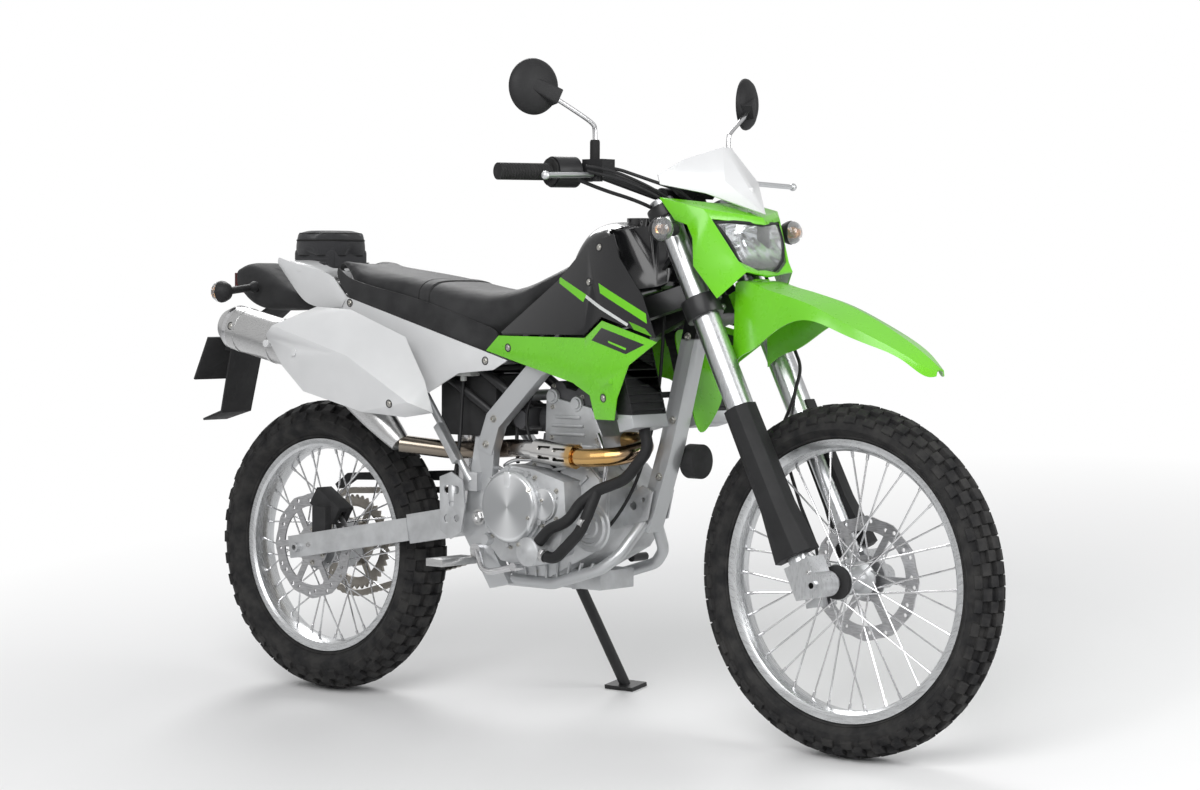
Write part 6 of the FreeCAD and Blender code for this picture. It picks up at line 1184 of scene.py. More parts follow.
class RIDE_OT_soft(bpy.types.Operator):
    """Make the padded seat and the tool bag, with seams, strap and zip"""
    bl_idname = "ride.soft"
    bl_label = "Seat and bag"

    def execute(self, context):
        sizes = context.scene.ride_soft
        self.cord = sizes.piping
        self.seat(sizes)
        self.bag(sizes)
        return {"FINISHED"}

    def stuffed(self, name, cell, swell, shrink):
        """The CAD solid as a cushion: remeshed, drawn in, and blown up by cloth no further than swell."""
        start = frozen(helper(f"{name}_pad", mesh_of(node_work(name, UPRIGHT)),
                              ("REMESH", {"mode": "VOXEL", "voxel_size": cell}),
                              ("SMOOTH", {"factor": 0.5, "iterations": 6}),
                              ("DISPLACE", {"strength": -shrink, "mid_level": 0.0})))
        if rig.quick():
            return start
        thing = helper(f"{name}_cloth", start)
        cloth = thing.modifiers.new("stuffing", "CLOTH")
        settings = cloth.settings
        settings.use_pressure = True
        settings.uniform_pressure_force = 4.0
        settings.effector_weights.gravity = 0.0
        settings.quality = 5
        settings.mass = 0.3
        cloth.point_cache.frame_start, cloth.point_cache.frame_end = 1, STUFFING
        scene = bpy.context.scene
        for moment in range(1, STUFFING + 1):
            scene.frame_set(moment)
        blown = bpy.data.meshes.new_from_object(thing.evaluated_get(bpy.context.evaluated_depsgraph_get()))
        scene.frame_set(1)
        bpy.data.objects.remove(thing)
        for vert, moved in zip(start.vertices, blown.vertices):
            step = moved.co - vert.co
            vert.co += step * min(1.0, swell / max(step.length, 1e-9))
        return frozen(helper(f"{name}_sewn", start, ("SMOOTH", {"factor": 0.5, "iterations": 3}),
                             ("SUBSURF", {"levels": 1, "render_levels": 1})))

    def loop_round(self, tree, x, turns, lift):
        """Places on the seat round a section across the machine at x."""
        inner = Vector((x, 0, 870))
        places = []
        for turn in turns:
            way = Vector((0, math.sin(turn), math.cos(turn)))
            place, _ = struck(tree, inner + way * 260, inner, lift)
            if place is not None:
                places.append(place)
        return places

    def seat(self, sizes):
        mesh = self.stuffed("seat", sizes.seat_cell, sizes.seat_swell, 0.003)
        tree = surface_of(mesh)
        pad = shaped("seat_cushion", mesh, "chassis", "seat_vinyl", 60, ["seat"])
        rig.padded(pad, 0.9)
        turns = [math.radians(a) for a in range(-112, 113, 7)]
        cords = [rod_mesh(self.loop_round(tree, x, turns, -0.3), self.cord) for x in (405, 374)]
        for side in (RIGHT, LEFT):
            front = [struck(tree, (x, side * 260, z), (x, 0, z), -0.4)[0]
                     for x, z in ((600, 800), (640, 832), (680, 866), (720, 896), (752, 922), (772, 940))]
            cords.append(rod_mesh([place for place in front if place], self.cord))
        joined("seat_piping", cords, "chassis", "grip_rubber")
        rows = [self.loop_round(tree, x, turns, lift) for x, lift in
                ((377, 0.0), (379, 2.0), (390, 2.6), (401, 2.0), (403, 0.0))]
        count = min(len(row) for row in rows)
        last = (len(rows) - 1) * count
        faces = grid_faces(len(rows), count)
        faces += [(last + k, last + k + 1, k + 1, k) for k in range(count - 1)]
        faces += [tuple(range(0, last + 1, count)), tuple(range(last + count - 1, 0, -count))]
        points = [place * 1000 for row in rows for place in row[:count]]
        shaped("seat_strap", solid_mesh(points, faces), "chassis", "seat_vinyl")

    def bag(self, sizes):
        mesh = self.stuffed("tool_bag", sizes.bag_cell, sizes.bag_swell, 0.004)
        tree = surface_of(mesh)
        places = np.array([vert.co for vert in mesh.vertices]) * 1000
        low, high = Vector(places.min(axis=0)), Vector(places.max(axis=0))
        pad = shaped("tool_bag_body", mesh, "chassis", "bag_cloth", 60, ["tool_bag"])
        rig.padded(pad, 0.6)
        middle = (low + high) / 2
        cords = []
        for share, thick in ((0.14, 0.9), (0.66, 1.3), (0.90, 0.9)):
            middle.z = low.z + (high.z - low.z) * share
            ring = []
            for step in range(37):
                turn = 2 * math.pi * step / 36
                way = Vector((math.cos(turn), math.sin(turn), 0))
                place, _ = struck(tree, middle + way * 200, middle, -0.2)
                if place is not None:
                    ring.append(place)
            cords.append(rod_mesh(ring, self.cord * thick))
        joined("tool_bag_piping", cords, "chassis", "grip_rubber")


class RIDE_OT_lamps(bpy.types.Operator):
    """Make the headlamp's reflector and lens, the indicators and the mirrors"""
    bl_idname = "ride.lamps"
    bl_label = "Lamps and mirrors"

    def execute(self, context):
        self.headlamp()
        for word, side in (("right", RIGHT), ("left", LEFT)):
            self.indicator(f"front_{word}", "front_indicators", (1124, side * 217, 1035),
                           (0.96, side * 0.25, 0), (1098, side * 148, 1036))
            self.indicator(f"rear_{word}", "rear_indicators", (-176, side * 182, 902), (-1, side * 0.12, 0),
                           (-168, side * 92, 912))
            self.mirror(word, side)
        return {"FINISHED"}

    def headlamp(self):
        top = [(1170, -106, 1050), (1186, -72, 1052), (1203, -34, 1049), (1210, 0, 1047)]
        low = [(1207, -74, 976), (1208, -58, 962), (1205, -40, 950), (1206, 0, 948)]
        top += [(x, -y, z) for x, y, z in reversed(top[:-1])]
        low += [(x, -y, z) for x, y, z in reversed(low[:-1])]
        rows, count = 7, len(top)
        front = []
        for r in range(rows):
            share = r / (rows - 1)
            belly = Vector((7 * math.sin(math.pi * share), 0, 0))
            front += [Vector(upper).lerp(Vector(under), share) + belly for upper, under in zip(top, low)]
        skin = solid_mesh(front, [(a, d, c, b) for a, b, c, d in grid_faces(rows, count)])
        lens = frozen(helper("lens", skin, ("SUBSURF", {"levels": 2, "render_levels": 2}),
                             ("SOLIDIFY", {"thickness": 0.0024, "offset": -1.0})))
        shaped("headlamp_lens", lens, "steering", "lens_clear", 50, ["headlamp"])
        edge = [*range(count), *(r * count + count - 1 for r in range(1, rows)),
                *((rows - 1) * count + k for k in reversed(range(count - 1))),
                *(r * count for r in reversed(range(1, rows - 1)))]
        edge = [front[k] for k in edge]
        bowl = []
        for depth in (0.02, 0.16, 0.42, 0.74):
            sink = 2 + 70 * math.sin(depth * math.pi / 2)
            for place in edge:
                pulled = place.lerp(Vector((place.x, 0, 1000)), depth * 0.55)
                bowl.append((place.x - sink, pulled.y, pulled.z))
        size = len(edge)
        walls = [(layer * size + k, layer * size + (k + 1) % size, (layer + 1) * size + (k + 1) % size,
                  (layer + 1) * size + k) for layer in range(3) for k in range(size)]
        walls.append(tuple(range(3 * size, 4 * size)))
        shell = frozen(helper("bowl", solid_mesh(bowl, walls),
                      ("SOLIDIFY", {"thickness": 0.0015, "offset": 1.0})))
        # the bowl's finish holds painted shade low down
        shaped("headlamp_bowl", shell, "steering", "lamp_reflector", 22)
        rim = [place - Vector((1.5, 0, 0)) for place in edge]
        shaped("headlamp_border", tube_round(rim, 4.2), "steering", "black_plastic", 60)
        bulb = turned_mesh([(0, -12), (11, -12), (13, 0), (11, 16), (6, 24), (0, 26)], 24, axis="X")
        placed(bulb, mm(1132, 0, 1004))
        hood = turned_mesh([(20, -16), (24, -16), (25, 2), (21, 3)], 32, True, axis="X")
        placed(hood, mm(1128, 0, 1004))
        joined("headlamp_bulb", (bulb, hood), "steering", "polished_steel")
        bars = [placed(block_mesh((30, 4, 78), 1.5), mm(1158, y, 1006)) for y in (-74, 74)]
        joined("headlamp_inner_walls", bars, "steering", "black_plastic")

    def indicator(self, word, node, place, way, root):
        """A round lamp on a stalk: a black cup, a clear lens and an orange bulb behind it."""
        turn, place, root, body = facing(way), mm(*place), mm(*root), NODE_BODY[node]
        cup = turned_mesh([(0, -24), (12, -23), (19, -17), (24, -6), (25, 0), (23.4, 0.6)], 40)
        stalk = rod_mesh([root, root.lerp(place, 0.5), place - turn @ mm(0, 10, 0)], 0.0085)
        foot = turned_mesh([(0, -8), (13, -8), (14, -2), (10, 6), (8, 12), (0, 12)], 28)
        parts = placed(cup, place, turn), stalk, placed(foot, root, facing(place - root))
        joined(f"indicator_stalk_{word}", parts, body, "black_plastic", 40, [node])
        for part, sides, finish, profile in (
                ("lens", 40, "lens_clear", [(22.6, -1), (23.8, 0), (23.2, 8), (19.5, 15), (12, 20.5),
                                            (5, 22.6), (0, 23), (0, 21.4), (5, 21), (11.5, 19), (18.4, 14),
                                            (21.8, 7.5), (22.0, 0)]),
                ("bulb", 24, "bulb_orange", [(0, -3), (4, -3), (6, 3), (5.6, 8), (3, 11), (0, 12)]),
                ("bowl", 40, "reflector", [(21.4, -0.4), (15, -5), (8, -8), (0, -9), (0, -10.5), (9, -9.6),
                                           (16, -6.4), (22.6, -1.4)])):
            mesh = placed(turned_mesh(profile, sides), place, turn)
            shaped(f"indicator_{part}_{word}", mesh, body, finish, 50)

    def mirror(self, word, side):
        head = mm(912, side * 351, 1315)
        turn = facing((0.955, side * 0.297, 0.0))
        dish = turned_mesh([(0, 12.5), (20, 12), (36, 9.5), (48, 4), (54.5, -3), (56, -8), (55.4, -11),
                            (53.4, -11), (53, -8.6), (0, -8.6)], 64)
        near, far = side * 50, -side * 52
        band = solid_mesh([(near, -2, -19), (near, -2, 21), (far, -2, 13), (far, -2, -13),
                           (near * 0.96, 25, -15), (near * 0.96, 25, 17), (far * 0.92, 4, 10),
                           (far * 0.92, 4, -10)],
                          [(0, 1, 2, 3), (4, 7, 6, 5), (0, 4, 5, 1), (1, 5, 6, 2), (2, 6, 7, 3),
                           (3, 7, 4, 0)])
        band = frozen(helper("band", band, ("BEVEL", {"width": 0.0025, "segments": 3})))
        band.transform(Matrix.Rotation(math.radians(26 * side), 4, "Y"))
        shell = placed(merged(dish, band), head, turn)
        shaped(f"mirror_shell_{word}", shell, "steering", "black_plastic", 30, ["mirrors"])
        glass = placed(turned_mesh([(0, -8.8), (53.2, -8.8), (52.8, -10.4), (0, -10.0)], 64), head, turn)
        shaped(f"mirror_glass_{word}", glass, "steering", "mirror_glass", 35)
        joint = head + turn @ mm(side * 43, 10, -24)
        route = [mm(956, side * 220, 1205), mm(956, side * 220, 1236), mm(956, side * 225, 1246),
                 joint.lerp(mm(956, side * 230, 1250), 0.5), joint]
        shaped(f"mirror_stem_{word}", rod_mesh(route, 0.0048, 6), "steering", "polished_steel")
        sleeve = turned_mesh([(0, 0), (10, 0), (10, 58), (8.4, 62), (0, 62)], 24, axis="Z")
        nut = placed(turned_mesh([(0, 0), (11.5, 0), (11.5, 9), (0, 9)], 6, axis="Z"), mm(0, 0, -6))
        whole = placed(merged(sleeve, nut), mm(956, side * 220, 1152))
        shaped(f"mirror_sleeve_{word}", whole, "steering", "grip_rubber")


def tube_round(places, radius, sides=8):
    """A closed tube along places in millimetres."""
    count = len(places)
    points, faces = [], []
    for k in range(count):
        run = (places[(k + 1) % count] - places[k - 1]).normalized()
        side = run.cross(Vector((1, 0, 0.13))).normalized()
        up = side.cross(run)
        for s in range(sides):
            turn = 2 * math.pi * s / sides
            points.append(places[k] + side * radius * math.cos(turn) + up * radius * math.sin(turn))
    for k in range(count):
        n = (k + 1) % count
        for s in range(sides):
            m = (s + 1) % sides
            faces.append((k * sides + s, k * sides + m, n * sides + m, n * sides + s))
    return solid_mesh(points, faces)


def ring_spots(x, z, radius, count, start):
    turns = [math.radians(start) + 2 * math.pi * i / count for i in range(count)]
    return [(x + radius * math.cos(turn), z + radius * math.sin(turn)) for turn in turns]


def rods(name, finish, *rods_of):
    """Pipes or wires on the chassis as one piece, each a radius and its route in millimetres."""
    parts = [rod_mesh([mm(*place) for place in route], radius) for radius, route in rods_of]
    joined(name, parts, "chassis", finish)


ENGINE_RIGHT = ring_spots(684, 460, 86, 10, 12) + ring_spots(771, 470, 41, 4, 45) + [
    (590, 345), (640, 326), (700, 322), (800, 330), (856, 352), (882, 400), (874, 520), (600, 520),
    (838, 546)]
ENGINE_LEFT = ring_spots(770, 440, 62, 8, 10) + [(600, 345), (660, 326), (720, 320), (860, 350), (590, 520),
                                                 (640, 400), (640, 480)]
TOP_SPOTS = [(722, 604), (846, 604), (724, 668)]
FRAME_SPOTS = [(602, 640), (720, 754), (1002, 648), (968, 530), (934, 446), (545, 350), (580, 585),
               (1040, 820)]


class RIDE_OT_engine(bpy.types.Operator):
    """Make the turned covers, screws, hose clips and small parts about the engine"""
    bl_idname = "ride.engine"
    bl_label = "Engine details"

    def execute(self, context):
        self.covers()
        seats = []
        for node, side, spots in (("engine_cases", RIGHT, ENGINE_RIGHT), ("engine_cases", LEFT, ENGINE_LEFT),
                                  ("engine_top", RIGHT, TOP_SPOTS + [(800, 590)]),
                                  ("engine_top", LEFT, TOP_SPOTS)):
            seats += seats_on(node, spots, (side,))
        screws("engine_screws", "chassis", seats, 4.2, 4.5, hexagon=True)
        bolted("head_screws", "head_cover", [(722, 712), (800, 690)], 4.0, 4.0)
        bolted("frame_bolts", "frame", FRAME_SPOTS, 6.5, 6.0, "bolt_zinc", True)
        bolted("pivot_nuts", "frame", [(566, 430)], 13.0, 8.0, "bright_steel", True)
        self.castings()
        self.clips()
        self.small_parts()
        return {"FINISHED"}

    def covers(self):
        clutch = turned_mesh([(0, 3.4), (40, 3.6), (64, 3.2), (68, 2.6), (71, 0.8), (73.5, -3), (74, -8),
                              (0, -8)], 96, axis="-Y")
        ridge = placed(block_mesh((15, 5, 34), 2.2), mm(0, -3.2, 58))
        pump = turned_mesh([(0, 2.6), (24, 2.8), (31, 2.2), (33.5, 0), (34, -5), (0, -5)], 64, axis="-Y")
        covers = (placed(merged(clutch, ridge), mm(684, -170, 460)), placed(pump, mm(768, -157, 470)))
        # the covers' finish holds a painted highlight, a fan of light across each cover
        joined("clutch_and_pump_covers", covers, "chassis", "round_brushed", 32)
        water = turned_mesh([(0, 6), (9, 6), (12, 4), (24, 3), (28.5, 0.5), (29, -4), (0, -4)], 48,
                            axis="-Y")
        shaped("water_pump_cover", placed(water, mm(750, -183, 372)), "chassis", "engine_alloy")

    def castings(self):
        """Ribs, plugs, rings and lugs cast on the engine, and the plates that carry it."""
        ring = turned_mesh([(0, 7), (14, 7), (16, 9), (22, 9), (25, 5), (33, 5), (35, 9), (40, 9), (43, 4),
                            (50, 4), (53, 0), (0, 0)], 72, axis="-Y")
        parts = [placed(ring, mm(846, -95, 424))]
        for k in range(9):
            rib = block_mesh((5, 8, 34), 1.4)
            rib.transform(Matrix.Rotation(math.radians(6 * (k - 4)), 4, "Y"))
            parts.append(placed(rib, mm(610 + 30 * k, -97, 326 + abs(k - 4) * 2)))
        for x, z, long, high in ((742, 648, 70, 7), (742, 630, 86, 7), (742, 612, 96, 7), (760, 586, 110, 9),
                                 (770, 560, 116, 7)):
            parts.append(placed(block_mesh((long, 9, high), 1.8), mm(x + 24, -74, z)))
        for x, z, r in ((724, 690, 15), (790, 676, 15), (838, 582, 12), (716, 575, 10), (862, 545, 11)):
            plug = turned_mesh([(0, 7), (r - 5, 7), (r - 4, 4), (r, 4), (r + 2, -2), (0, -2)], 32, axis="-Y")
            parts.append(placed(plug, mm(x, -74, z)))
        for x, z, long, turn in ((600, 430, 70, 84), (618, 526, 60, 20), (744, 536, 76, -14),
                                 (820, 512, 50, -40)):
            rib = block_mesh((long, 7, 8), 2.2)
            rib.transform(Matrix.Rotation(math.radians(turn), 4, "Y"))
            parts.append(placed(rib, mm(x, -97, z)))
        plug = turned_mesh([(0, 14), (11, 14), (12, 12), (14, 4), (14, -4), (0, -4)], 8, axis="-Y")
        parts.append(placed(plug, mm(612, -150, 388)))
        drain = turned_mesh([(0, -6), (9, -6), (9, 2), (0, 2)], 6, axis="Z")
        parts.append(placed(drain, mm(744, -20, 288)))
        joined("engine_castings", parts, "chassis", "engine_alloy")
        left = turned_mesh([(0, 3), (40, 3.4), (56, 2.6), (60, 1), (62, -4), (0, -4)], 80)
        shaped("generator_cover", placed(left, mm(770, 147, 440)), "chassis", "engine_alloy", 30)
        plates = []
        for y in (-34, 34):
            outline = [(872, 474), (936, 512), (962, 500), (948, 440), (884, 424)]
            holes = round_outline(9, 20, (912, 468)), round_outline(5, 16, (938, 482))
            plate = plate_mesh([outline, *holes], 5)
            plates.append(placed(plate, mm(0, y, 0)))
        outline = [(466, 512), (500, 524), (532, 508), (540, 452), (528, 396), (498, 380), (468, 398)]
        holes = ((9, (488, 486)), (9, (514, 486)), (7, (500, 456)), (9, (488, 424)), (8, (516, 426)))
        guard = plate_mesh([outline, *(round_outline(radius, 20, middle) for radius, middle in holes)], 4)
        plates.append(placed(guard, mm(0, -143, 0)))
        joined("engine_plates", plates, "chassis", "arm_alloy", 30)
        rods("oil_pipes", "polished_steel",
             (0.0042, [(880, -98, 500), (896, -104, 540), (880, -96, 590), (856, -84, 616)]),
             (0.0038, [(612, -100, 540), (640, -110, 556), (700, -100, 556), (726, -84, 560)]))

    def clips(self):
        """Clips about the hoses near their ends."""
        ends = [(790, 395), (788, 372), (985, 590), (884, 440)]
        seats = [(mm(x, y, z) - normal * 0.012, normal)
                 for x, y, z, normal in seats_on("coolant_hoses", ends, (RIGHT,))]
        clip = turned_mesh([(12.4, -5), (13.6, -5), (13.6, 5), (12.4, 5)], 40, True, axis="X")
        lug = placed(block_mesh((9, 7, 12), 1.0), mm(0, 14.5, 0))
        clips = on_seats(merged(clip, lug), seats, "bright_steel")
        shaped("hose_clips", clips, "chassis", "bright_steel")

    def small_parts(self):
        box = placed(block_mesh((46, 34, 30), 3.0, 3), mm(496, -92, 742))
        neck = placed(turned_mesh([(0, 0), (7, 0), (7, 12), (0, 12)], 20, axis="Z"), mm(486, -92, 716))
        joined("brake_fluid_bottle", (box, neck), "chassis", "pale_bottle")
        rods("bottle_hose", "hose_rubber",
             (0.004, [(486, -92, 718), (484, -96, 660), (496, -112, 590), (500, -132, 520)]))
        barrel = turned_mesh([(0, -34), (9, -34), (9, -8), (12, -6), (12, 24), (8, 30), (0, 30)], 28,
                             axis="Z")
        ears = placed(block_mesh((40, 8, 16), 2), mm(500, -130, 486))
        joined("rear_brake_pump", (placed(barrel, mm(500, -136, 468)), ears), "chassis", "engine_alloy")
        rods("engine_wires", "hose_rubber",
             (0.003, [(640, -60, 800), (690, -84, 720), (660, -96, 640), (700, -100, 570), (764, -96, 534)]),
             (0.004, [(620, -50, 790), (640, -78, 700), (628, -84, 600), (650, -100, 548)]),
             (0.0045, [(850, -40, 780), (880, -66, 730), (862, -72, 690), (838, -60, 668)]),
             (0.004, [(560, 40, 700), (600, 70, 620), (640, 84, 560), (700, 80, 530)]),
             (0.0035, [(980, -24, 900), (986, -34, 760), (962, -44, 600), (920, -66, 470), (880, -84, 420)]))
        throat = turned_mesh([(0, -52), (26, -52), (28, -30), (24, -26), (24, 20), (30, 24), (30, 46),
                              (0, 46)], 40, axis="X")
        wheel = turned_mesh([(0, -4), (19, -4), (19, 4), (0, 4)], 32)
        joined("throttle_body", (placed(throat, mm(650, -30, 640)), placed(wheel, mm(652, -92, 640)),
                                 placed(block_mesh((36, 44, 40), 4), mm(652, -66, 644))),
               "chassis", "dark_alloy")


class RIDE_OT_fittings(bpy.types.Operator):
    """Make the screws, nuts and clamps of covers, fork and wheels"""
    bl_idname = "ride.fittings"
    bl_label = "Screws and nuts"

    def execute(self, context):
        self.cover_screws()
        self.fork_screws()
        self.wheel_screws()
        return {"FINISHED"}

    def cover_screws(self):
        sets = (("lower_shrouds", [(649, 791), (945, 696)]),
                ("side_covers", [(580, 762), (175, 880), (62, 930)]),
                ("upper_shrouds", [(901, 1001), (880, 930)]), ("muffler_cover", [(396, 668)]),
                ("muffler", [(-104, 826)]))
        for node, spots in sets:
            seats = seats_on(node, spots, (RIGHT,) if node.startswith("muffler") else (RIGHT, LEFT))
            screws(f"{node}_screws", NODE_BODY[node], seats, 5.0, 2.6)
            cup = turned_mesh([(7.0, -0.3), (9.2, -0.3), (9.0, 0.7), (7.2, 0.7)], 28, True)
            cups = on_seats(cup, [(mm(x, y, z), way) for x, y, z, way in seats], "dull_plastic")
            shaped(f"{node}_grommets", cups, NODE_BODY[node], "dull_plastic")

    def fork_screws(self):
        tree = node_surface("triple_clamps")
        ahead, up = Vector((math.cos(RAKE), 0, math.sin(RAKE))), Vector((-math.sin(RAKE), 0, math.cos(RAKE)))
        foot = Vector((1375.1, 0, 320.6))  # a place low on the steering's axis
        seats = []
        for along, across in ((596, 26), (618, 26), (818, 26)):
            for side in (RIGHT, LEFT):
                aim = foot + up * along + ahead * 35 + Vector((0, side * (97 - across), 0))
                place, _ = struck(tree, aim + ahead * 120, aim - ahead * 60)
                if place is not None:
                    seats.append((*(place * 1000), ahead))
        screws("clamp_screws", "steering", seats, 5.2, 6.0, "bright_steel", True)
        tops = [(*(foot + up * 847 + ahead * 35 + Vector((0, side * 97, 0))), up) for side in (RIGHT, LEFT)]
        tops.append((*(foot + up * 836), up))
        screws("fork_caps", "steering", tops, 13.0, 3.0, "bright_steel", True)

    def wheel_screws(self):
        bolted("axle_clamp_screws", "fork_legs", [(1447, 372), (1447, 324), (1420, 372), (1420, 324)], 4.5,
               5.0, "bright_steel")
        bolted("chain_adjusters", "swingarm", [(-34, 334), (34, 336)], 5.0, 5.0, "bright_steel", True)
        for wheel in WHEELS:
            side = math.copysign(1, wheel.disc_y)
            places = [(mm(x, wheel.disc_y + side * 2.2, z), (0, side, 0))
                      for x, z in ring_spots(0, 0, 38, 6, 30)]
            heads = placed(on_seats(screw_mesh(5.0, 4.0), places, "bolt_zinc"), wheel.hub)
            shaped(f"{wheel.end}_disc_screws", heads, wheel.body, "bolt_zinc")
        seal = turned_mesh([(12, 0), (33, 0), (34, 3), (33, 9), (24, 12), (12, 12)], 56, True, "-Y")
        shaped("front_hub_seal", placed(seal, FRONT_HUB + mm(0, -40.2, 0)), "front_wheel", "dull_plastic")
        cups = turned_mesh([(13, 0), (28, 0), (30, 3), (28, 8), (13, 9)], 56, True)
        shaped("rear_hub_seal", placed(cups, REAR_HUB + mm(0, -56, 0)), "rear_wheel", "dull_plastic")


CABLES = (
    ("throttle_cable_pull", [(968, -262, 1160), (1000, -236, 1156), (1040, -170, 1128), (1056, -96, 1096),
                             (1050, -58, 1040), (1020, -42, 985), (960, -36, 940)], 0.003),
    ("throttle_cable_return", [(968, -258, 1150), (1004, -228, 1142), (1046, -160, 1112), (1062, -90, 1080),
                               (1056, -52, 1026), (1024, -34, 975), (960, -28, 932)], 0.003),
    ("clutch_cable", [(962, 206, 1152), (1010, 190, 1150), (1058, 130, 1120), (1070, 70, 1080),
                      (1056, 44, 1020), (1020, 36, 965), (960, 32, 925)], 0.003),
    ("bar_wiring", [(930, -262, 1140), (960, -220, 1118), (1010, -140, 1092), (1044, -80, 1058),
                    (1040, -50, 1010), (1000, -44, 958), (960, -44, 930)], 0.0038),
)


class RIDE_OT_cables(bpy.types.Operator):
    """Make the cables that run from the bar to the frame and bend with the steering"""
    bl_idname = "ride.cables"
    bl_label = "Cables"

    def execute(self, context):
        top, low = STANCE @ mm(1010, 0, 1135), STANCE @ mm(1045, 0, 985)
        for name, route, radius in CABLES:
            places = [mm(*place) for place in route]
            line = rod_mesh(places, 0.0)
            path = [STANCE @ vert.co for vert in line.vertices]
            cable = shaped(name, rod_mesh(places, radius), "steering", "hose_rubber")
            cable.parent = None
            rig.blend(cable, "steering", "chassis", top, low)
            length = sum((b - a).length for a, b in zip(path, path[1:]))
            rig.cord(cable, path[0], length, radius * 2, "object", stiffness="medium", lay="loose", path=path)
        return {"FINISHED"}


def walled(rows):
    """A smooth panel through rows of places in millimetres, with a wall of 3 mm."""
    skin = solid_mesh([place for row in rows for place in row], grid_faces(len(rows), len(rows[0])))
    return frozen(helper("panel", skin, ("SUBSURF", {"levels": 2, "render_levels": 2}),
                         ("SOLIDIFY", {"thickness": 0.003, "offset": 0.0})))


def side_panel(side, top, low, shares):
    """A panel on one side between two edges; each row lies at a share of the way down and bulges outwards."""
    rows = [[(x, side * (y + bulge), z) for x, y, z in
             (Vector(upper).lerp(Vector(under), share) for upper, under in zip(top, low))]
            for share, bulge in shares]
    return walled(rows)


class RIDE_OT_tail(bpy.types.Operator):
    """Make the tail's side panels, the seat's skirts, the bag's carrier and the muffler's end"""
    bl_idname = "ride.tail"
    bl_label = "Tail and muffler end"

    def execute(self, context):
        top = [(-84, 90, 980), (-60, 98, 976), (-3, 108, 963), (60, 115, 954), (112, 119, 944),
               (136, 121, 920), (164, 122, 890)]
        low = [(-82, 92, 964), (-58, 98, 946), (-26, 106, 921), (4, 111, 895), (34, 115, 876),
               (80, 120, 868), (150, 122, 870)]
        shares = ((0, 0), (0.12, 1.6), (0.5, 3.5), (0.88, 1.6), (1, 0))
        panels = [side_panel(side, top, low, shares) for side in (RIGHT, LEFT)]
        joined("tail_side_panels", panels, "chassis", "white_plastic", 40)
        top = [(116, 100, 962), (150, 112, 936), (240, 118, 916), (357, 118, 896), (470, 116, 866),
               (560, 112, 838), (604, 108, 826)]
        low = [(122, 112, 940), (162, 118, 888), (250, 120, 862), (357, 121, 834), (470, 120, 802),
               (556, 118, 778), (596, 116, 776)]
        shares = ((0, 0), (0.5, 0), (1, 0))
        skirts = [side_panel(side, top, low, shares) for side in (RIGHT, LEFT)]
        joined("seat_skirts", skirts, "chassis", "seat_vinyl", 40)
        rows = []
        for y, low in ((30, 612), (60, 628), (90, 650), (120, 672), (150, 700)):
            heights = [832 + (low - 832) * share for share in (0, 0.33, 0.66, 1)]
            rows.append([(1023 + (649 - z) * 0.33 - 0.0012 * (y - 90) ** 2, y, z) for z in heights])
        shaped("left_shroud_lip", walled(rows), "chassis", "green_plastic", 40)
        self.carrier()
        self.muffler_end()
        return {"FINISHED"}

    def carrier(self):
        base = placed(block_mesh((126, 118, 52), 12.0, 4), mm(-10, 0, 976))
        straps = [placed(block_mesh((18, 136, 8), 2.0), mm(x, 0, 966)) for x in (-48, 28)]
        joined("bag_carrier", (base, *straps), "chassis", "bag_cloth", 40)

    def muffler_end(self):
        slope = math.radians(11.5)
        turn = facing((-math.cos(slope), 0, math.sin(slope)))
        end = mm(-135, -172, 822)
        cap = turned_mesh([(49, -14), (50.2, -13), (50.4, -4), (48.5, 0), (44, 6), (38, 16), (33, 24),
                           (26, 28), (20.5, 29), (20.5, 34), (18, 34), (18, 4), (0, 4)], 72)
        shaped("muffler_end_cap", placed(cap, end, turn), "chassis", "polished_steel", 30)
        bands = [turned_mesh([(49.5, y), (51.2, y + 0.6), (51.2, y + 9), (49.5, y + 9.6)], 72, True)
         for y in (-40, -150)]
        shaped("muffler_bands", placed(merged(*bands), end, turn), "chassis", "bright_steel")
        hole = turned_mesh([(0, 6), (17.6, 6), (17.6, 31), (16.8, 31), (16.8, 7), (0, 7)], 48)
        shaped("muffler_outlet", placed(hole, end, turn), "chassis", "dull_plastic")


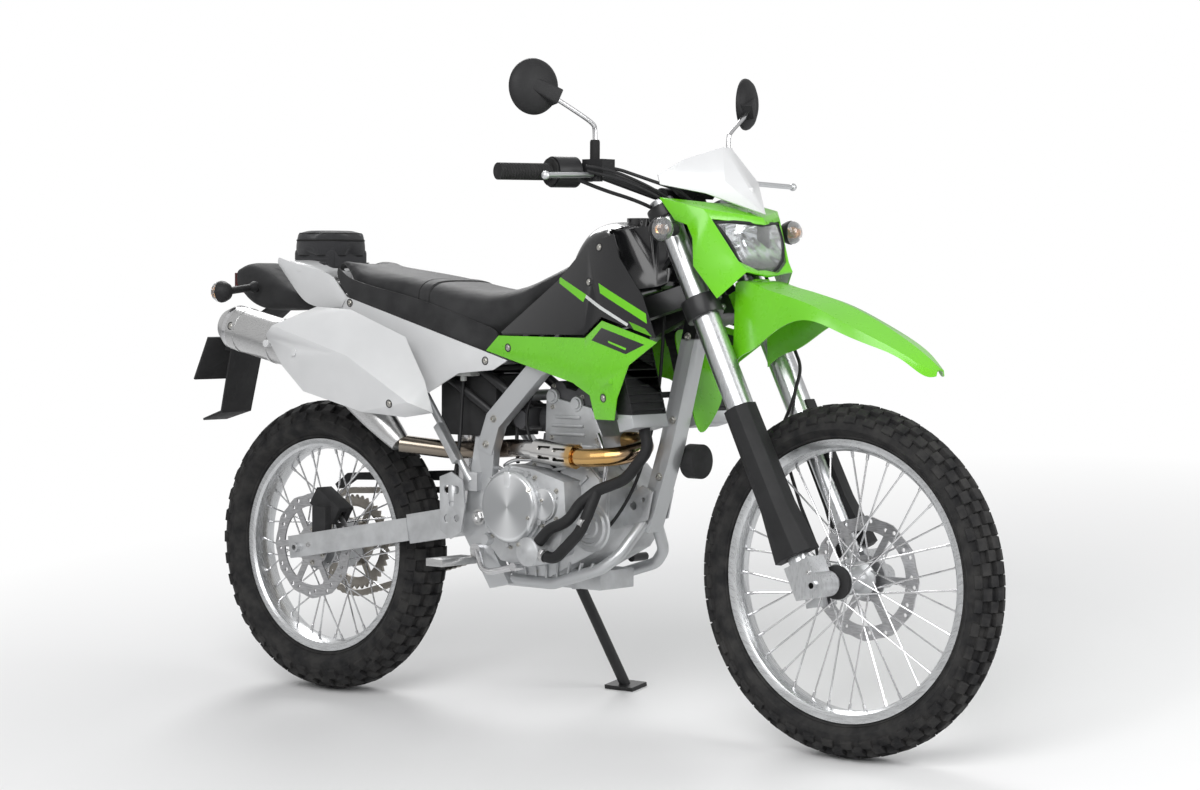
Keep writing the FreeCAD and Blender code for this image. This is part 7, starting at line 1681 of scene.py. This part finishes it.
class RIDE_OT_stage(bpy.types.Operator):
    """Set up the pale studio floor, the lamps and the camera"""
    bl_idname = "ride.stage"
    bl_label = "Studio"

    def execute(self, context):
        studio = context.scene.ride_studio
        self.lay_floor()
        self.hang_lamps(studio)
        self.place_camera(studio)
        context.scene.view_settings.view_transform = "Standard"
        return {"FINISHED"}

    def lay_floor(self):
        mesh = bpy.data.meshes.new("floor")
        half = 30.0
        mesh.from_pydata([(-half, -half, 0), (half, -half, 0), (half, half, 0), (-half, half, 0)], [],
                         [(0, 1, 2, 3)])
        floor = helper("floor", mesh)
        made = Finish("floor_pale", (0.80, 0.80, 0.80), 0.9)
        tree = made.tree
        glow = made.add("ShaderNodeEmission", Color=(1, 1, 1, 1), Strength=1.0)
        rays = made.add("ShaderNodeLightPath")
        seen = made.maths("MAXIMUM", rays.outputs["Is Camera Ray"], rays.outputs["Is Transmission Ray"])
        length = tree.nodes.new("ShaderNodeVectorMath")
        length.operation = "LENGTH"
        tree.links.new(made.place, length.inputs[0])
        far = made.add("ShaderNodeMapRange", Value=length.outputs["Value"],
                       **{"From Min": 1.2, "From Max": 2.6, "To Min": 0.0, "To Max": 1.0}).outputs["Result"]
        mixed = made.add("ShaderNodeMixShader", Fac=made.maths("MULTIPLY", seen, far))
        tree.links.new(made.shader.outputs[0], mixed.inputs[1])
        tree.links.new(glow.outputs[0], mixed.inputs[2])
        tree.links.new(mixed.outputs[0], tree.nodes["Material Output"].inputs["Surface"])
        floor.data.materials.append(made.material)
        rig.stage(floor)

    def hang_lamps(self, studio):
        world = bpy.data.worlds.new("studio")
        bpy.context.scene.world = world
        world.use_nodes = True
        tree = world.node_tree
        add, link = tree.nodes.new, tree.links.new

        def light_of(colour, strength):
            node = add("ShaderNodeBackground")
            node.inputs["Color"].default_value = (*colour, 1)
            node.inputs["Strength"].default_value = strength
            return node

        def mixed(share, first, last):
            node = add("ShaderNodeMixShader")
            for source, socket in zip((share, first.outputs[0], last.outputs[0]), node.inputs):
                link(source, socket)
            return node

        rays, seen = add("ShaderNodeLightPath"), add("ShaderNodeMath")
        seen.operation = "MAXIMUM"
        link(rays.outputs["Is Camera Ray"], seen.inputs[0])
        link(rays.outputs["Is Transmission Ray"], seen.inputs[1])
        sky = mixed(rays.outputs["Is Glossy Ray"], light_of((0.97, 0.98, 1.0), studio.fill),
                    light_of((0.8, 0.8, 0.8), studio.shine))
        whole = mixed(seen.outputs[0], sky, light_of((1, 1, 1), 1.0))
        link(whole.outputs[0], tree.nodes["World Output"].inputs["Surface"])
        middle = Vector((0, 0, 0.7))
        lamps = (("key", Vector((1.5, -3.4, 3.9)), 3.8, studio.key_power),
                 ("side", Vector((3.6, 0.4, 1.9)), 1.8, studio.key_power * 0.32),
                 ("rim", Vector((-2.6, 2.2, 3.0)), 1.8, studio.key_power * 0.45))
        for name, place, size, power in lamps:
            light = bpy.data.lights.new(name, "AREA")
            light.shape = "SQUARE"
            light.size = size
            light.energy = power
            lamp = helper(name, light)
            lamp.location = place
            lamp.rotation_euler = (middle - place).to_track_quat("-Z", "Y").to_euler()

    def place_camera(self, studio):
        eye = Vector((4.601875, -4.582565, 0.937783))  # metres, beside the upright machine
        yaw, pitch, roll = 2.2646, -0.0411, 0.0064  # radians, from the fit to both tyres
        ahead = Vector((math.cos(pitch) * math.cos(yaw), math.cos(pitch) * math.sin(yaw), math.sin(pitch)))
        turned = facing(ahead) @ Matrix.Rotation(math.pi / 2, 3, "X") @ Matrix.Rotation(roll, 3, "Z")
        lens = bpy.data.cameras.new("camera")
        lens.lens = studio.focal
        lens.sensor_width = 36
        lens.clip_end = 100
        camera = helper("camera", lens)
        camera.matrix_world = STANCE @ Matrix.Translation(eye) @ turned.to_4x4()
        bpy.context.scene.camera = camera


class RIDE_PT_panel(bpy.types.Panel):
    """Sizes, colours and makers of the machine"""
    bl_label = "Motorcycle"
    bl_idname = "RIDE_PT_panel"
    bl_space_type = "VIEW_3D"
    bl_region_type = "UI"
    bl_category = "Motorcycle"

    def draw(self, context):
        column = self.layout.column()
        for group in (getattr(context.scene, word) for word in GROUPS):
            for word in group.__annotations__:
                column.prop(group, word)
        for maker in OPERATORS:
            column.operator(maker.bl_idname)


GROUPS = {"ride_colours": RideColours, "ride_wheels": RideWheels, "ride_soft": RideSoft,
          "ride_studio": RideStudio}
OPERATORS = (RIDE_OT_finishes, RIDE_OT_wheels, RIDE_OT_edges, RIDE_OT_soft, RIDE_OT_lamps, RIDE_OT_tail,
             RIDE_OT_engine, RIDE_OT_fittings, RIDE_OT_cables, RIDE_OT_stage)


def register():
    for kind in (*GROUPS.values(), *OPERATORS, RIDE_PT_panel):
        bpy.utils.register_class(kind)
    for word, kind in GROUPS.items():
        setattr(bpy.types.Scene, word, PointerProperty(type=kind))


def unregister():
    for word in GROUPS:
        delattr(bpy.types.Scene, word)
    for kind in reversed((*GROUPS.values(), *OPERATORS, RIDE_PT_panel)):
        bpy.utils.unregister_class(kind)


def main():
    register()
    for maker in OPERATORS:
        group, name = maker.bl_idname.split(".")
        getattr(getattr(bpy.ops, group), name)()
    sizes = {"cad": [list(corner) for corner in CAD_BOX], "visual": [list(corner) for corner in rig.bounds()]}
    with open("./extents.json", "w") as file:
        json.dump(sizes, file)


if __name__ == "__main__":
    main()
